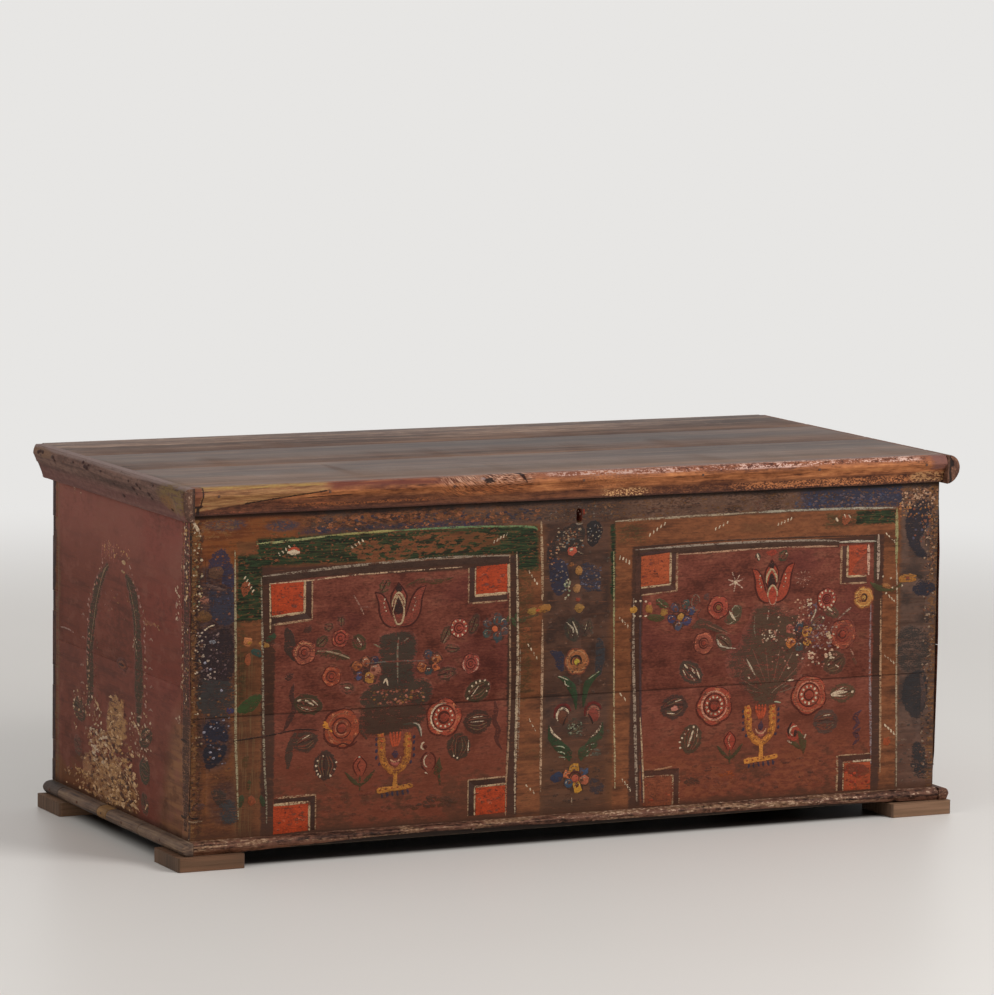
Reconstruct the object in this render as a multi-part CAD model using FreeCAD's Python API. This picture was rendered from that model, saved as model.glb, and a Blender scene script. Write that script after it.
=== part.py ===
import FreeCAD, Part
import math
import os

# A painted pine dowry chest: dovetailed board walls, a nailed board floor with
# a rounded base moulding, four block feet, and a lid of three boards with a
# front moulding and two end battens that hang outside the walls as a lip.
# Lengths are in millimetres. +X runs to the right along the front, +Y to the
# back, +Z up. The origin is on the floor, under the middle of the whole chest.

Vector = FreeCAD.Vector

# Walls, each of two boards edge to edge
BODY_LENGTH = 1250.0
BODY_DEPTH = 556.0
WALL_HEIGHT = 494.0
FRONT_THICKNESS = 26.0
BACK_THICKNESS = 22.0
END_THICKNESS = 24.0
FRONT_SEAM_HEIGHT = 180.0
BACK_SEAM_HEIGHT = 296.0
END_SEAM_HEIGHT = 223.0

# Through dovetails: the tails are on the front and back boards
HALF_TAIL_HEIGHT = 34.0
PIN_WIDTH = 30.0
PIN_PITCH = 116.0
PIN_FLARE_SHARE = 0.2

# Floor boards, nailed up into the walls
BOTTOM_THICKNESS = 19.0
BOTTOM_SEAM_SHARES = (0.0, 0.35, 0.68, 1.0)

# Base moulding, nailed to the edges of the floor boards
BASE_PROJECTION = 18.0
BASE_NOSE_DROP = 9.0
BASE_UNDERCUT = 4.0
BASE_REAR_ROUND = 7.0
LEFT_BASE_NAMES = ("front", "middle", "patch", "rear", "end")
LEFT_BASE_SHARES = (0.0, 0.308, 0.53, 0.596, 0.882, 1.0)
LEFT_BASE_JOINT = 0.4

# Block feet
FOOT_LENGTH = 105.0
FOOT_DEPTH = 96.0
FOOT_HEIGHT = 21.0
FOOT_FRONT_REACH = 25.0
FOOT_LEFT_REACH = 26.0
FOOT_RIGHT_REACH = 18.0
FOOT_BACK_INSET = 3.0
FOOT_CHAMFER = 2.5

# Lid boards and the lip around them
LID_THICKNESS = 26.0
LID_BACK_OVERHANG = 44.0
LID_SEAM_SHARES = (0.0, 0.37, 0.69, 1.0)
LID_EDGE_ROUND = 4.0
LIP_GAP = 1.5
LIP_WIDTH = 18.5
LIP_HEIGHT = 42.0
LIP_NOSE_DROP = 13.0
LIP_NOSE_SET = 4.5
LIP_LEDGE = 5.0
LIP_COVE_SHARE = 0.12
LEFT_BATTEN_WIDTH = 18.5
LEFT_BATTEN_HEIGHT = 52.0
LEFT_BATTEN_LEDGE = 2.0
LEFT_BATTEN_COVE_SHARE = 0.04
RIGHT_BATTEN_WIDTH = 23.0
RIGHT_BATTEN_HEIGHT = 44.0
RIGHT_BATTEN_TOP_FLAT = 8.0
RIGHT_BATTEN_FOOT_FLAT = 5.0
RIGHT_BATTEN_NOSE_DROP = 19.0
BATTEN_BACK_INSET = 8.0

# Strap hinges with their axis just behind the back wall
HINGE_INSET = 232.0
STRAP_WIDTH = 34.0
STRAP_TIP_WIDTH = 20.0
STRAP_THICKNESS = 2.5
LID_STRAP_LENGTH = 330.0
BACK_STRAP_LENGTH = 190.0
KNUCKLE_RADIUS = 5.5
KNUCKLE_GAP = 0.5
KNUCKLE_SIDE_GAP = 0.4
HINGE_PIN_RADIUS = 2.8
HINGE_PIN_CLEARANCE = 0.08
HINGE_PIN_END = 2.0
STRAP_NOTCH_GAP = 1.0

# Keyhole and iron box lock behind it
KEYHOLE_X = 3.0
KEYHOLE_DROP = 42.0
KEYHOLE_WIDTH = 10.0
KEYHOLE_HEIGHT = 22.0
LOCK_TOP_DROP = 4.0
LOCK_LENGTH = 130.0
LOCK_HEIGHT = 86.0
LOCK_PLATE_THICKNESS = 2.0
LOCK_FLANGE = 14.0
LOCK_CASE_DEPTH = 24.0
LOCK_CASE_WALL = 1.5
STAPLE_LENGTH = 28.0
STAPLE_THICKNESS = 5.0
STAPLE_BAR = 4.0
STAPLE_SPREAD = 16.0
STAPLE_PLATE_LENGTH = 56.0
STAPLE_PLATE_THICKNESS = 2.0
STAPLE_CLEARANCE = 2.0
BOLT_LENGTH = 41.0
BOLT_HEIGHT = 9.0
BOLT_THICKNESS = 6.0
BOLT_TRAVEL = 12.0
BOLT_CLEARANCE = 0.4
BOLT_TALON_LENGTH = 4.0
BOLT_TALON_DROP = 9.0
GUIDE_LENGTH = 6.0
GUIDE_START_SHARE = 0.2
GUIDE_WALL = 1.2
SPRING_THICKNESS = 0.8
SPRING_STUD = 4.0

# Open till across the left end
TILL_LENGTH = 150.0
TILL_HEIGHT = 112.0
TILL_THICKNESS = 11.0
TILL_RIM_DROP = 14.0
TILL_GROOVE_DEPTH = 6.0

# Hand-forged nails with square shanks: rose-headed ones, and brads with small
# heads beaten nearly flush in the mouldings
NAIL_SHANK = 2.6
NAIL_HEAD = 6.5
NAIL_HEAD_TOP = 3.4
NAIL_HEAD_HEIGHT = 1.4
BRAD_HEAD = 3.8
BRAD_HEAD_TOP = 3.2
BRAD_HEAD_HEIGHT = 0.4
LONG_NAIL = 46.0
SHORT_NAIL = 12.0
NAIL_POCKET_DEPTH = 4.0
NAIL_POCKET_GAP = 1.0
BATTEN_NAIL_SHARES = (0.06, 0.24, 0.42, 0.6, 0.78, 0.94)
LIP_NAIL_SHARES = (0.03, 0.17, 0.33, 0.5, 0.66, 0.82, 0.97)
BASE_NAIL_SHARES = (0.04, 0.2, 0.36, 0.52, 0.68, 0.83, 0.96)
SIDE_BASE_NAIL_SHARES = (0.12, 0.38, 0.6, 0.92)
LONG_WALL_NAIL_SHARES = (0.0, 0.17, 0.33, 0.5, 0.67, 0.83, 1.0)
END_WALL_NAIL_SHARES = (0.08, 0.28, 0.44, 0.6, 0.76, 0.92)
LID_STRAP_NAIL_SHARES = (0.14, 0.4, 0.66, 0.92)
BACK_STRAP_NAIL_SHARES = (0.2, 0.55, 0.88)
FOOT_NAIL_SHARES = (0.3, 0.7)

# What a cut runs past the surface that it opens
OVERRUN = 5.0

# Places worked out from the sizes above
BASE_REACH = BASE_PROJECTION + BRAD_HEAD_HEIGHT
LIP_REACH = LIP_GAP + BRAD_HEAD_HEIGHT
LEFT_REACH = max(FOOT_LEFT_REACH, LIP_REACH + LEFT_BATTEN_WIDTH, BASE_REACH)
RIGHT_REACH = max(FOOT_RIGHT_REACH, LIP_REACH + RIGHT_BATTEN_WIDTH, BASE_REACH)
FRONT_REACH = max(FOOT_FRONT_REACH, LIP_REACH + LIP_WIDTH, BASE_REACH)
LEFT_X = (LEFT_REACH - RIGHT_REACH - BODY_LENGTH) / 2
RIGHT_X = LEFT_X + BODY_LENGTH
FRONT_Y = (FRONT_REACH - BODY_DEPTH - LID_BACK_OVERHANG) / 2
BACK_Y = FRONT_Y + BODY_DEPTH
WALL_BOTTOM = FOOT_HEIGHT + BOTTOM_THICKNESS
RIM = WALL_BOTTOM + WALL_HEIGHT
LID_TOP = RIM + LID_THICKNESS
FRONT_INNER_Y = FRONT_Y + FRONT_THICKNESS
BACK_INNER_Y = BACK_Y - BACK_THICKNESS
LEFT_INNER_X = LEFT_X + END_THICKNESS
RIGHT_INNER_X = RIGHT_X - END_THICKNESS
MIDDLE_X = (LEFT_X + RIGHT_X) / 2
LID_LEFT_X = LEFT_X - LIP_GAP
LID_RIGHT_X = RIGHT_X + LIP_GAP
LID_FRONT_Y = FRONT_Y - LIP_GAP
LID_BACK_Y = BACK_Y + LID_BACK_OVERHANG
HINGE_AXIS_Y = BACK_Y + KNUCKLE_RADIUS + KNUCKLE_GAP
HINGE_AXIS_Z = RIM - KNUCKLE_RADIUS - KNUCKLE_GAP
HINGE_X = {"left": LEFT_X + HINGE_INSET, "right": RIGHT_X - HINGE_INSET}
KEY_X = MIDDLE_X + KEYHOLE_X
LOCK_TOP = RIM - LOCK_TOP_DROP
PLATE_FACE_Y = FRONT_INNER_Y + LOCK_PLATE_THICKNESS
STAPLE_Y = PLATE_FACE_Y + LOCK_CASE_DEPTH / 2
BOLT_Z = RIM - STAPLE_LENGTH + STAPLE_BAR + STAPLE_CLEARANCE + BOLT_HEIGHT / 2
BOLT_TIP_X = KEY_X + STAPLE_THICKNESS / 2 + STAPLE_CLEARANCE


def block(low_x, low_y, low_z, high_x, high_y, high_z):
    """A box between two corners."""
    corner = Vector(low_x, low_y, low_z)
    return Part.makeBox(high_x - low_x, high_y - low_y, high_z - low_z, corner)


def prism(points, along):
    """A face through the points, drawn out along a vector."""
    wire = Part.makePolygon(list(points) + [points[0]])
    return Part.Face(wire).extrude(along)


def square(half, height):
    """A square wire centred on the Z axis."""
    corners = [(-half, -half), (half, -half), (half, half), (-half, half)]
    points = [Vector(x, y, height) for x, y in corners]
    return Part.makePolygon(points + [points[0]])


def between(low, high, share):
    return low + (high - low) * share


def turned(shape, point, outward):
    """A shape made along +Z, set at a point with +Z turned outward."""
    spin = FreeCAD.Rotation(Vector(0, 0, 1), outward)
    shape.Placement = FreeCAD.Placement(point, spin)
    return shape


def nail_shank(nail):
    point, outward, length, head = nail
    half = NAIL_SHANK / 2
    shank = block(-half, -half, -length, half, half, 0)
    return turned(shank, point, outward)


def nail_solid(nail):
    """A square shank in the wood with a four-sided head on it."""
    point, outward, length, (head_width, head_top, head_height) = nail
    half = NAIL_SHANK / 2
    shank = block(-half, -half, -length, half, half, 0)
    rings = [square(head_width / 2, 0), square(head_top / 2, head_height)]
    head = Part.makeLoft(rings, True, True)
    return turned(shank.fuse(head).removeSplitter(), point, outward)


ROSE = (NAIL_HEAD, NAIL_HEAD_TOP, NAIL_HEAD_HEIGHT)
BRAD = (BRAD_HEAD, BRAD_HEAD_TOP, BRAD_HEAD_HEIGHT)
LEFT = Vector(-1, 0, 0)
RIGHT = Vector(1, 0, 0)
FRONT = Vector(0, -1, 0)
BACK = Vector(0, 1, 0)
DOWN = Vector(0, 0, -1)


def foot_corners():
    """Each foot's low corner in plan."""
    left = LEFT_X - FOOT_LEFT_REACH
    right = RIGHT_X + FOOT_RIGHT_REACH - FOOT_LENGTH
    front = FRONT_Y - FOOT_FRONT_REACH
    back = BACK_Y - FOOT_BACK_INSET - FOOT_DEPTH
    return {
        "front_left_foot": (left, front),
        "front_right_foot": (right, front),
        "back_left_foot": (left, back),
        "back_right_foot": (right, back),
    }


def lid_batten_nails():
    left_level = LID_TOP - LIP_NOSE_DROP
    right_level = LID_TOP - RIGHT_BATTEN_NOSE_DROP
    low = LID_FRONT_Y
    high = LID_BACK_Y - BATTEN_BACK_INSET
    nails = []
    for share in BATTEN_NAIL_SHARES:
        y = between(low, high, share)
        left = Vector(LID_LEFT_X - LEFT_BATTEN_WIDTH, y, left_level)
        right = Vector(LID_RIGHT_X + RIGHT_BATTEN_WIDTH, y, right_level)
        nails.append((left, LEFT, LONG_NAIL, BRAD))
        nails.append((right, RIGHT, LONG_NAIL, BRAD))
    return nails


def lid_moulding_nails():
    level = LID_TOP - LIP_NOSE_DROP
    face = LID_FRONT_Y - LIP_WIDTH
    places = [between(LID_LEFT_X, LID_RIGHT_X, share) for share in LIP_NAIL_SHARES]
    return [(Vector(x, face, level), FRONT, LONG_NAIL, BRAD) for x in places]


def base_moulding_nails():
    level = WALL_BOTTOM - BASE_NOSE_DROP
    face = FRONT_Y - BASE_PROJECTION
    nails = []
    for share in BASE_NAIL_SHARES:
        x = between(LEFT_X, RIGHT_X, share)
        nails.append((Vector(x, face, level), FRONT, LONG_NAIL, BRAD))
    for share in SIDE_BASE_NAIL_SHARES:
        y = between(FRONT_Y, BACK_Y, share)
        nails.append((Vector(RIGHT_X + BASE_PROJECTION, y, level), RIGHT, LONG_NAIL, BRAD))
    shares = LEFT_BASE_SHARES
    for low, high in zip(shares[:-1], shares[1:]):
        y = between(face, BACK_Y, (low + high) / 2)
        nails.append((Vector(LEFT_X - BASE_PROJECTION, y, level), LEFT, LONG_NAIL, BRAD))
    return nails


def bottom_board_nails():
    feet = foot_corners()
    clear = NAIL_HEAD * 2
    low_x = feet["front_left_foot"][0] + FOOT_LENGTH + clear
    high_x = feet["front_right_foot"][0] - clear
    low_y = feet["front_left_foot"][1] + FOOT_DEPTH + clear
    high_y = feet["back_left_foot"][1] - clear
    nails = []
    for share in LONG_WALL_NAIL_SHARES:
        x = between(low_x, high_x, share)
        for y in (FRONT_Y + FRONT_THICKNESS / 2, BACK_Y - BACK_THICKNESS / 2):
            nails.append((Vector(x, y, FOOT_HEIGHT), DOWN, LONG_NAIL, ROSE))
    for share in END_WALL_NAIL_SHARES:
        y = between(low_y, high_y, share)
        for x in (LEFT_X + END_THICKNESS / 2, RIGHT_X - END_THICKNESS / 2):
            nails.append((Vector(x, y, FOOT_HEIGHT), DOWN, LONG_NAIL, ROSE))
    return nails


def foot_nails():
    """Two nails up through each foot, their heads sunk in pockets."""
    length = FOOT_HEIGHT - NAIL_POCKET_DEPTH + BOTTOM_THICKNESS
    nails = []
    for low_x, low_y in foot_corners().values():
        for share in FOOT_NAIL_SHARES:
            x = low_x + FOOT_LENGTH * share
            y = low_y + FOOT_DEPTH * share
            nails.append((Vector(x, y, NAIL_POCKET_DEPTH), DOWN, length, ROSE))
    return nails


def hinge_lid_nails():
    under = RIM - STRAP_THICKNESS
    nails = []
    for x in HINGE_X.values():
        for share in LID_STRAP_NAIL_SHARES:
            run = between(BACK_THICKNESS, LID_STRAP_LENGTH, share)
            nails.append((Vector(x, BACK_Y - run, under), DOWN, SHORT_NAIL, ROSE))
    return nails


def hinge_back_nails():
    face = BACK_Y + STRAP_THICKNESS
    nails = []
    for x in HINGE_X.values():
        for share in BACK_STRAP_NAIL_SHARES:
            level = HINGE_AXIS_Z - BACK_STRAP_LENGTH * share
            nails.append((Vector(x, face, level), BACK, SHORT_NAIL, ROSE))
    return nails


def lock_nails():
    face = PLATE_FACE_Y + LOCK_CASE_WALL
    reach = LOCK_LENGTH / 2 - LOCK_FLANGE / 2
    low = LOCK_TOP - LOCK_HEIGHT + LOCK_FLANGE / 2
    high = LOCK_TOP - LOCK_FLANGE / 2
    nails = []
    for x in (KEY_X - reach, KEY_X + reach):
        for level in (low, high):
            nails.append((Vector(x, face, level), BACK, SHORT_NAIL, ROSE))
    return nails


def staple_nails():
    under = RIM - STAPLE_PLATE_THICKNESS
    reach = STAPLE_PLATE_LENGTH / 2 - NAIL_HEAD
    places = (KEY_X - reach, KEY_X + reach)
    return [(Vector(x, STAPLE_Y, under), DOWN, SHORT_NAIL, ROSE) for x in places]


NAILS = {
    "lid_batten_nails": lid_batten_nails(),
    "lid_moulding_nails": lid_moulding_nails(),
    "base_moulding_nails": base_moulding_nails(),
    "bottom_board_nails": bottom_board_nails(),
    "foot_nails": foot_nails(),
    "hinge_lid_nails": hinge_lid_nails(),
    "hinge_back_nails": hinge_back_nails(),
    "lock_nails": lock_nails(),
    "staple_nails": staple_nails(),
}
SHANKS = [nail_shank(nail) for group in NAILS.values() for nail in group]


def nailed(shape):
    """The shape with a square hole for each nail that runs through it."""
    hits = [shank for shank in SHANKS if shape.BoundBox.intersect(shank.BoundBox)]
    if not hits:
        return shape
    return shape.cut(hits).removeSplitter()


def pin_levels():
    """The lower edge of each dovetail pin at the outer face, above the wall's foot."""
    count = int((WALL_HEIGHT - HALF_TAIL_HEIGHT - PIN_WIDTH) // PIN_PITCH) + 1
    return [HALF_TAIL_HEIGHT + PIN_PITCH * index for index in range(count)]


def dovetail_pins(low_y, high_y):
    """The pins of both end walls, where they pass through one long wall."""
    flare = END_THICKNESS * PIN_FLARE_SHARE
    pins = []
    for level in pin_levels():
        low = WALL_BOTTOM + level
        high = low + PIN_WIDTH
        for outer, inner in ((LEFT_X, LEFT_INNER_X), (RIGHT_X, RIGHT_INNER_X)):
            points = [
                Vector(outer, low_y, low),
                Vector(inner, low_y, low - flare),
                Vector(inner, low_y, high + flare),
                Vector(outer, low_y, high),
            ]
            pins.append(prism(points, Vector(0, high_y - low_y, 0)))
    return pins


def long_wall(low_y, high_y, low_z, high_z):
    slab = block(LEFT_X, low_y, low_z, RIGHT_X, high_y, high_z)
    return slab.cut(dovetail_pins(low_y, high_y))


def till_boards():
    """The till's side and floor, housed in grooves in the long walls."""
    low_y = FRONT_INNER_Y - TILL_GROOVE_DEPTH
    high_y = BACK_INNER_Y + TILL_GROOVE_DEPTH
    top = RIM - TILL_RIM_DROP
    foot = top - TILL_HEIGHT
    side_x = LEFT_INNER_X + TILL_LENGTH
    side = block(side_x, low_y, foot, side_x + TILL_THICKNESS, high_y, top)
    floor = block(LEFT_INNER_X, low_y, foot, side_x, high_y, foot + TILL_THICKNESS)
    return side, floor


def keyhole(low_y, high_y):
    """An upright slot with round ends, through everything between two depths."""
    radius = KEYHOLE_WIDTH / 2
    level = RIM - KEYHOLE_DROP
    straight = KEYHOLE_HEIGHT / 2 - radius
    along = Vector(0, high_y - low_y, 0)
    lower = Vector(KEY_X, low_y, level - straight)
    upper = Vector(KEY_X, low_y, level + straight)
    slot = block(KEY_X - radius, low_y, lower.z, KEY_X + radius, high_y, upper.z)
    for centre in (lower, upper):
        end = Part.makeCylinder(radius, along.Length, centre, along)
        slot = slot.fuse(end)
    return slot.removeSplitter()


def front_boards():
    seam = WALL_BOTTOM + FRONT_SEAM_HEIGHT
    lower = long_wall(FRONT_Y, FRONT_INNER_Y, WALL_BOTTOM, seam)
    upper = long_wall(FRONT_Y, FRONT_INNER_Y, seam, RIM)
    cuts = list(till_boards())
    cuts.append(keyhole(FRONT_Y - OVERRUN, FRONT_INNER_Y + OVERRUN))
    return {"front_lower_board": lower.cut(cuts), "front_upper_board": upper.cut(cuts)}


def strap_notches():
    """Shallow seats in the back rim for the lid straps."""
    half = STRAP_WIDTH / 2 + STRAP_NOTCH_GAP
    low = RIM - STRAP_THICKNESS - KNUCKLE_GAP
    low_y = BACK_INNER_Y - OVERRUN
    high_y = BACK_Y + OVERRUN
    return [block(x - half, low_y, low, x + half, high_y, RIM + OVERRUN) for x in HINGE_X.values()]


def back_boards():
    seam = WALL_BOTTOM + BACK_SEAM_HEIGHT
    lower = long_wall(BACK_INNER_Y, BACK_Y, WALL_BOTTOM, seam)
    upper = long_wall(BACK_INNER_Y, BACK_Y, seam, RIM)
    cuts = list(till_boards()) + strap_notches()
    return {"back_lower_board": lower.cut(cuts), "back_upper_board": upper.cut(cuts)}


def end_boards():
    """End walls whose pins fill the spaces between the tails."""
    tails = [
        long_wall(FRONT_Y, FRONT_INNER_Y, WALL_BOTTOM, RIM),
        long_wall(BACK_INNER_Y, BACK_Y, WALL_BOTTOM, RIM),
    ]
    seam = WALL_BOTTOM + END_SEAM_HEIGHT
    sides = {"left": (LEFT_X, LEFT_INNER_X), "right": (RIGHT_INNER_X, RIGHT_X)}
    boards = {}
    for side, (low_x, high_x) in sides.items():
        lower = block(low_x, FRONT_Y, WALL_BOTTOM, high_x, BACK_Y, seam)
        upper = block(low_x, FRONT_Y, seam, high_x, BACK_Y, RIM)
        boards[side + "_end_lower_board"] = lower.cut(tails)
        boards[side + "_end_upper_board"] = upper.cut(tails)
    return boards


def bottom_boards():
    names = ("front", "middle", "back")
    shares = BOTTOM_SEAM_SHARES
    boards = {}
    for name, low, high in zip(names, shares[:-1], shares[1:]):
        low_y = between(FRONT_Y, BACK_Y, low)
        high_y = between(FRONT_Y, BACK_Y, high)
        board = block(LEFT_X, low_y, FOOT_HEIGHT, RIGHT_X, high_y, WALL_BOTTOM)
        boards["bottom_board_" + name] = board
    return boards


def base_profile(place):
    """The base moulding's section: a round nose over an undercut face.

    place turns (outward, up) into a point in space."""
    nose = BASE_NOSE_DROP
    top = WALL_BOTTOM
    edge = BASE_PROJECTION - nose
    bend = nose * math.sqrt(0.5)
    start = place(0, top)
    shoulder = place(edge, top)
    middle = place(edge + bend, top - nose + bend)
    widest = place(BASE_PROJECTION, top - nose)
    foot = place(BASE_PROJECTION - BASE_UNDERCUT, FOOT_HEIGHT)
    inner = place(0, FOOT_HEIGHT)
    edges = [
        Part.makeLine(start, shoulder),
        Part.Arc(shoulder, middle, widest).toShape(),
        Part.makeLine(widest, foot),
        Part.makeLine(foot, inner),
        Part.makeLine(inner, start),
    ]
    return Part.Face(Part.Wire(edges))


def side_base_piece(wall_x, outward, low_y, high_y):
    section = base_profile(lambda out, up: Vector(wall_x + outward * out, low_y, up))
    return section.extrude(Vector(0, high_y - low_y, 0))


def rounded_rear(piece, wall_x, outward):
    """The rear end of a side moulding, its outer corner rounded off in plan."""
    radius = BASE_REAR_ROUND
    tip_x = wall_x + outward * BASE_PROJECTION
    centre_x = tip_x - outward * radius
    low_x, high_x = sorted((centre_x, tip_x + outward * OVERRUN))
    centre_y = BACK_Y - radius
    low_z = FOOT_HEIGHT - OVERRUN
    high_z = WALL_BOTTOM + OVERRUN
    corner = block(low_x, centre_y, low_z, high_x, BACK_Y + OVERRUN, high_z)
    centre = Vector(centre_x, centre_y, low_z)
    keep = Part.makeCylinder(radius, high_z - low_z, centre)
    return piece.cut(corner.cut(keep))


def base_mouldings():
    face = FRONT_Y - BASE_PROJECTION
    front = base_profile(lambda out, up: Vector(LEFT_X, FRONT_Y - out, up))
    pieces = {"base_moulding_front": front.extrude(Vector(BODY_LENGTH, 0, 0))}
    right = side_base_piece(RIGHT_X, 1, face, BACK_Y)
    pieces["base_moulding_right"] = rounded_rear(right, RIGHT_X, 1)
    shares = LEFT_BASE_SHARES
    for name, low, high in zip(LEFT_BASE_NAMES, shares[:-1], shares[1:]):
        low_y = between(face, BACK_Y, low)
        high_y = between(face, BACK_Y, high)
        if high < 1:
            high_y -= LEFT_BASE_JOINT
        piece = side_base_piece(LEFT_X, -1, low_y, high_y)
        if name == LEFT_BASE_NAMES[-1]:
            piece = rounded_rear(piece, LEFT_X, -1)
        pieces["base_moulding_left_" + name] = piece
    return pieces


def feet():
    """Planed blocks with small chamfers and pockets for the sunk nail heads."""
    pocket = NAIL_HEAD / 2 + NAIL_POCKET_GAP
    blocks = {}
    for name, (x, y) in foot_corners().items():
        foot = block(x, y, 0, x + FOOT_LENGTH, y + FOOT_DEPTH, FOOT_HEIGHT)
        upright = [edge for edge in foot.Edges if abs(edge.tangentAt(0).z) > 0.5]
        foot = foot.makeChamfer(FOOT_CHAMFER, upright)
        for share in FOOT_NAIL_SHARES:
            nail_x = x + FOOT_LENGTH * share
            nail_y = y + FOOT_DEPTH * share
            low = (nail_x - pocket, nail_y - pocket, -OVERRUN)
            high = (nail_x + pocket, nail_y + pocket, NAIL_POCKET_DEPTH)
            foot = foot.cut(block(*low, *high))
        blocks[name] = foot
    return blocks


def lid_boards():
    """Three boards side by side, the rear one eased along its back edge."""
    names = ("front", "middle", "back")
    shares = LID_SEAM_SHARES
    boards = {}
    for name, low, high in zip(names, shares[:-1], shares[1:]):
        low_y = between(LID_FRONT_Y, LID_BACK_Y, low)
        high_y = between(LID_FRONT_Y, LID_BACK_Y, high)
        boards["lid_board_" + name] = block(LID_LEFT_X, low_y, RIM, LID_RIGHT_X, high_y, LID_TOP)
    rear = boards["lid_board_back"]
    boxes = [(edge, edge.BoundBox) for edge in rear.Edges]
    along = [edge for edge, box in boxes if box.YMin > LID_BACK_Y - OVERRUN and box.XLength > OVERRUN]
    boards["lid_board_back"] = rear.makeFillet(LID_EDGE_ROUND, along)
    return boards


def round_bend(width, setback, drop):
    """The middle of a round that starts at the widest point and draws in by setback over drop.

    It is given as how far out it lies and how far above or below the widest point."""
    radius = (setback ** 2 + drop ** 2) / (2 * setback)
    half_turn = math.atan2(drop, radius - setback) / 2
    return width - radius + radius * math.cos(half_turn), radius * math.sin(half_turn)


def lip_profile(place, width, height, ledge, cove_share):
    """The lid moulding's section: a round nose, then a hollow face down to a ledge.

    place turns (outward, up) into a point in space."""
    top = LID_TOP
    foot = LID_TOP - height
    widest = top - LIP_NOSE_DROP
    nose_out, nose_rise = round_bend(width, LIP_NOSE_SET, LIP_NOSE_DROP)
    hollow_out = (width + ledge) / 2 - cove_share * width
    hollow_up = (widest + foot + ledge) / 2
    points = {
        "top": place(0, top),
        "edge": place(width - LIP_NOSE_SET, top),
        "nose": place(nose_out, widest + nose_rise),
        "widest": place(width, widest),
        "hollow": place(hollow_out, hollow_up),
        "ledge": place(ledge, foot + ledge),
        "ledge_foot": place(ledge, foot),
        "inner": place(0, foot),
    }
    edges = [
        Part.makeLine(points["top"], points["edge"]),
        Part.Arc(points["edge"], points["nose"], points["widest"]).toShape(),
        Part.Arc(points["widest"], points["hollow"], points["ledge"]).toShape(),
        Part.makeLine(points["ledge"], points["ledge_foot"]),
        Part.makeLine(points["ledge_foot"], points["inner"]),
        Part.makeLine(points["inner"], points["top"]),
    ]
    return Part.Face(Part.Wire(edges))


def round_batten_profile(place):
    """The right batten's section: rounded from a flat top over to a narrow foot.

    place turns (outward, up) into a point in space."""
    width = RIGHT_BATTEN_WIDTH
    foot = LID_TOP - RIGHT_BATTEN_HEIGHT
    widest = LID_TOP - RIGHT_BATTEN_NOSE_DROP
    edge = place(RIGHT_BATTEN_TOP_FLAT, LID_TOP)
    nose = place(width, widest)
    heel = place(RIGHT_BATTEN_FOOT_FLAT, foot)
    out, rise = round_bend(width, width - RIGHT_BATTEN_TOP_FLAT, RIGHT_BATTEN_NOSE_DROP)
    upper_bend = place(out, widest + rise)
    out, fall = round_bend(width, width - RIGHT_BATTEN_FOOT_FLAT, widest - foot)
    lower_bend = place(out, widest - fall)
    edges = [
        Part.makeLine(place(0, LID_TOP), edge),
        Part.Arc(edge, upper_bend, nose).toShape(),
        Part.Arc(nose, lower_bend, heel).toShape(),
        Part.makeLine(heel, place(0, foot)),
        Part.makeLine(place(0, foot), place(0, LID_TOP)),
    ]
    return Part.Face(Part.Wire(edges))


def lid_mouldings():
    """The front lip between two end battens whose end grain shows at the front."""
    low_y = LID_FRONT_Y - LIP_WIDTH
    high_y = LID_BACK_Y - BATTEN_BACK_INSET
    run = Vector(0, high_y - low_y, 0)
    front = lip_profile(
        lambda out, up: Vector(LID_LEFT_X, LID_FRONT_Y - out, up),
        LIP_WIDTH, LIP_HEIGHT, LIP_LEDGE, LIP_COVE_SHARE)
    left = lip_profile(
        lambda out, up: Vector(LID_LEFT_X - out, low_y, up),
        LEFT_BATTEN_WIDTH, LEFT_BATTEN_HEIGHT, LEFT_BATTEN_LEDGE, LEFT_BATTEN_COVE_SHARE)
    right = round_batten_profile(lambda out, up: Vector(LID_RIGHT_X + out, low_y, up))
    return {
        "lid_front_moulding": front.extrude(Vector(LID_RIGHT_X - LID_LEFT_X, 0, 0)),
        "left_lid_batten": left.extrude(run),
        "right_lid_batten": right.extrude(run),
    }


def strap_outline(place, length):
    """A strap that narrows from its knuckle end to a round tip.

    place turns (across, along) into a point in space."""
    wide = STRAP_WIDTH / 2
    slim = STRAP_TIP_WIDTH / 2
    neck = length - slim
    edges = [
        Part.makeLine(place(-slim, neck), place(-wide, 0)),
        Part.makeLine(place(-wide, 0), place(wide, 0)),
        Part.makeLine(place(wide, 0), place(slim, neck)),
        Part.Arc(place(slim, neck), place(0, length), place(-slim, neck)).toShape(),
    ]
    return Part.Face(Part.Wire(edges))


def knuckle_ring(low_x, high_x):
    centre = Vector(low_x, HINGE_AXIS_Y, HINGE_AXIS_Z)
    length = high_x - low_x
    bore = HINGE_PIN_RADIUS + HINGE_PIN_CLEARANCE
    outer = Part.makeCylinder(KNUCKLE_RADIUS, length, centre, RIGHT)
    inner = Part.makeCylinder(bore, length, centre, RIGHT)
    return outer, inner


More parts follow.
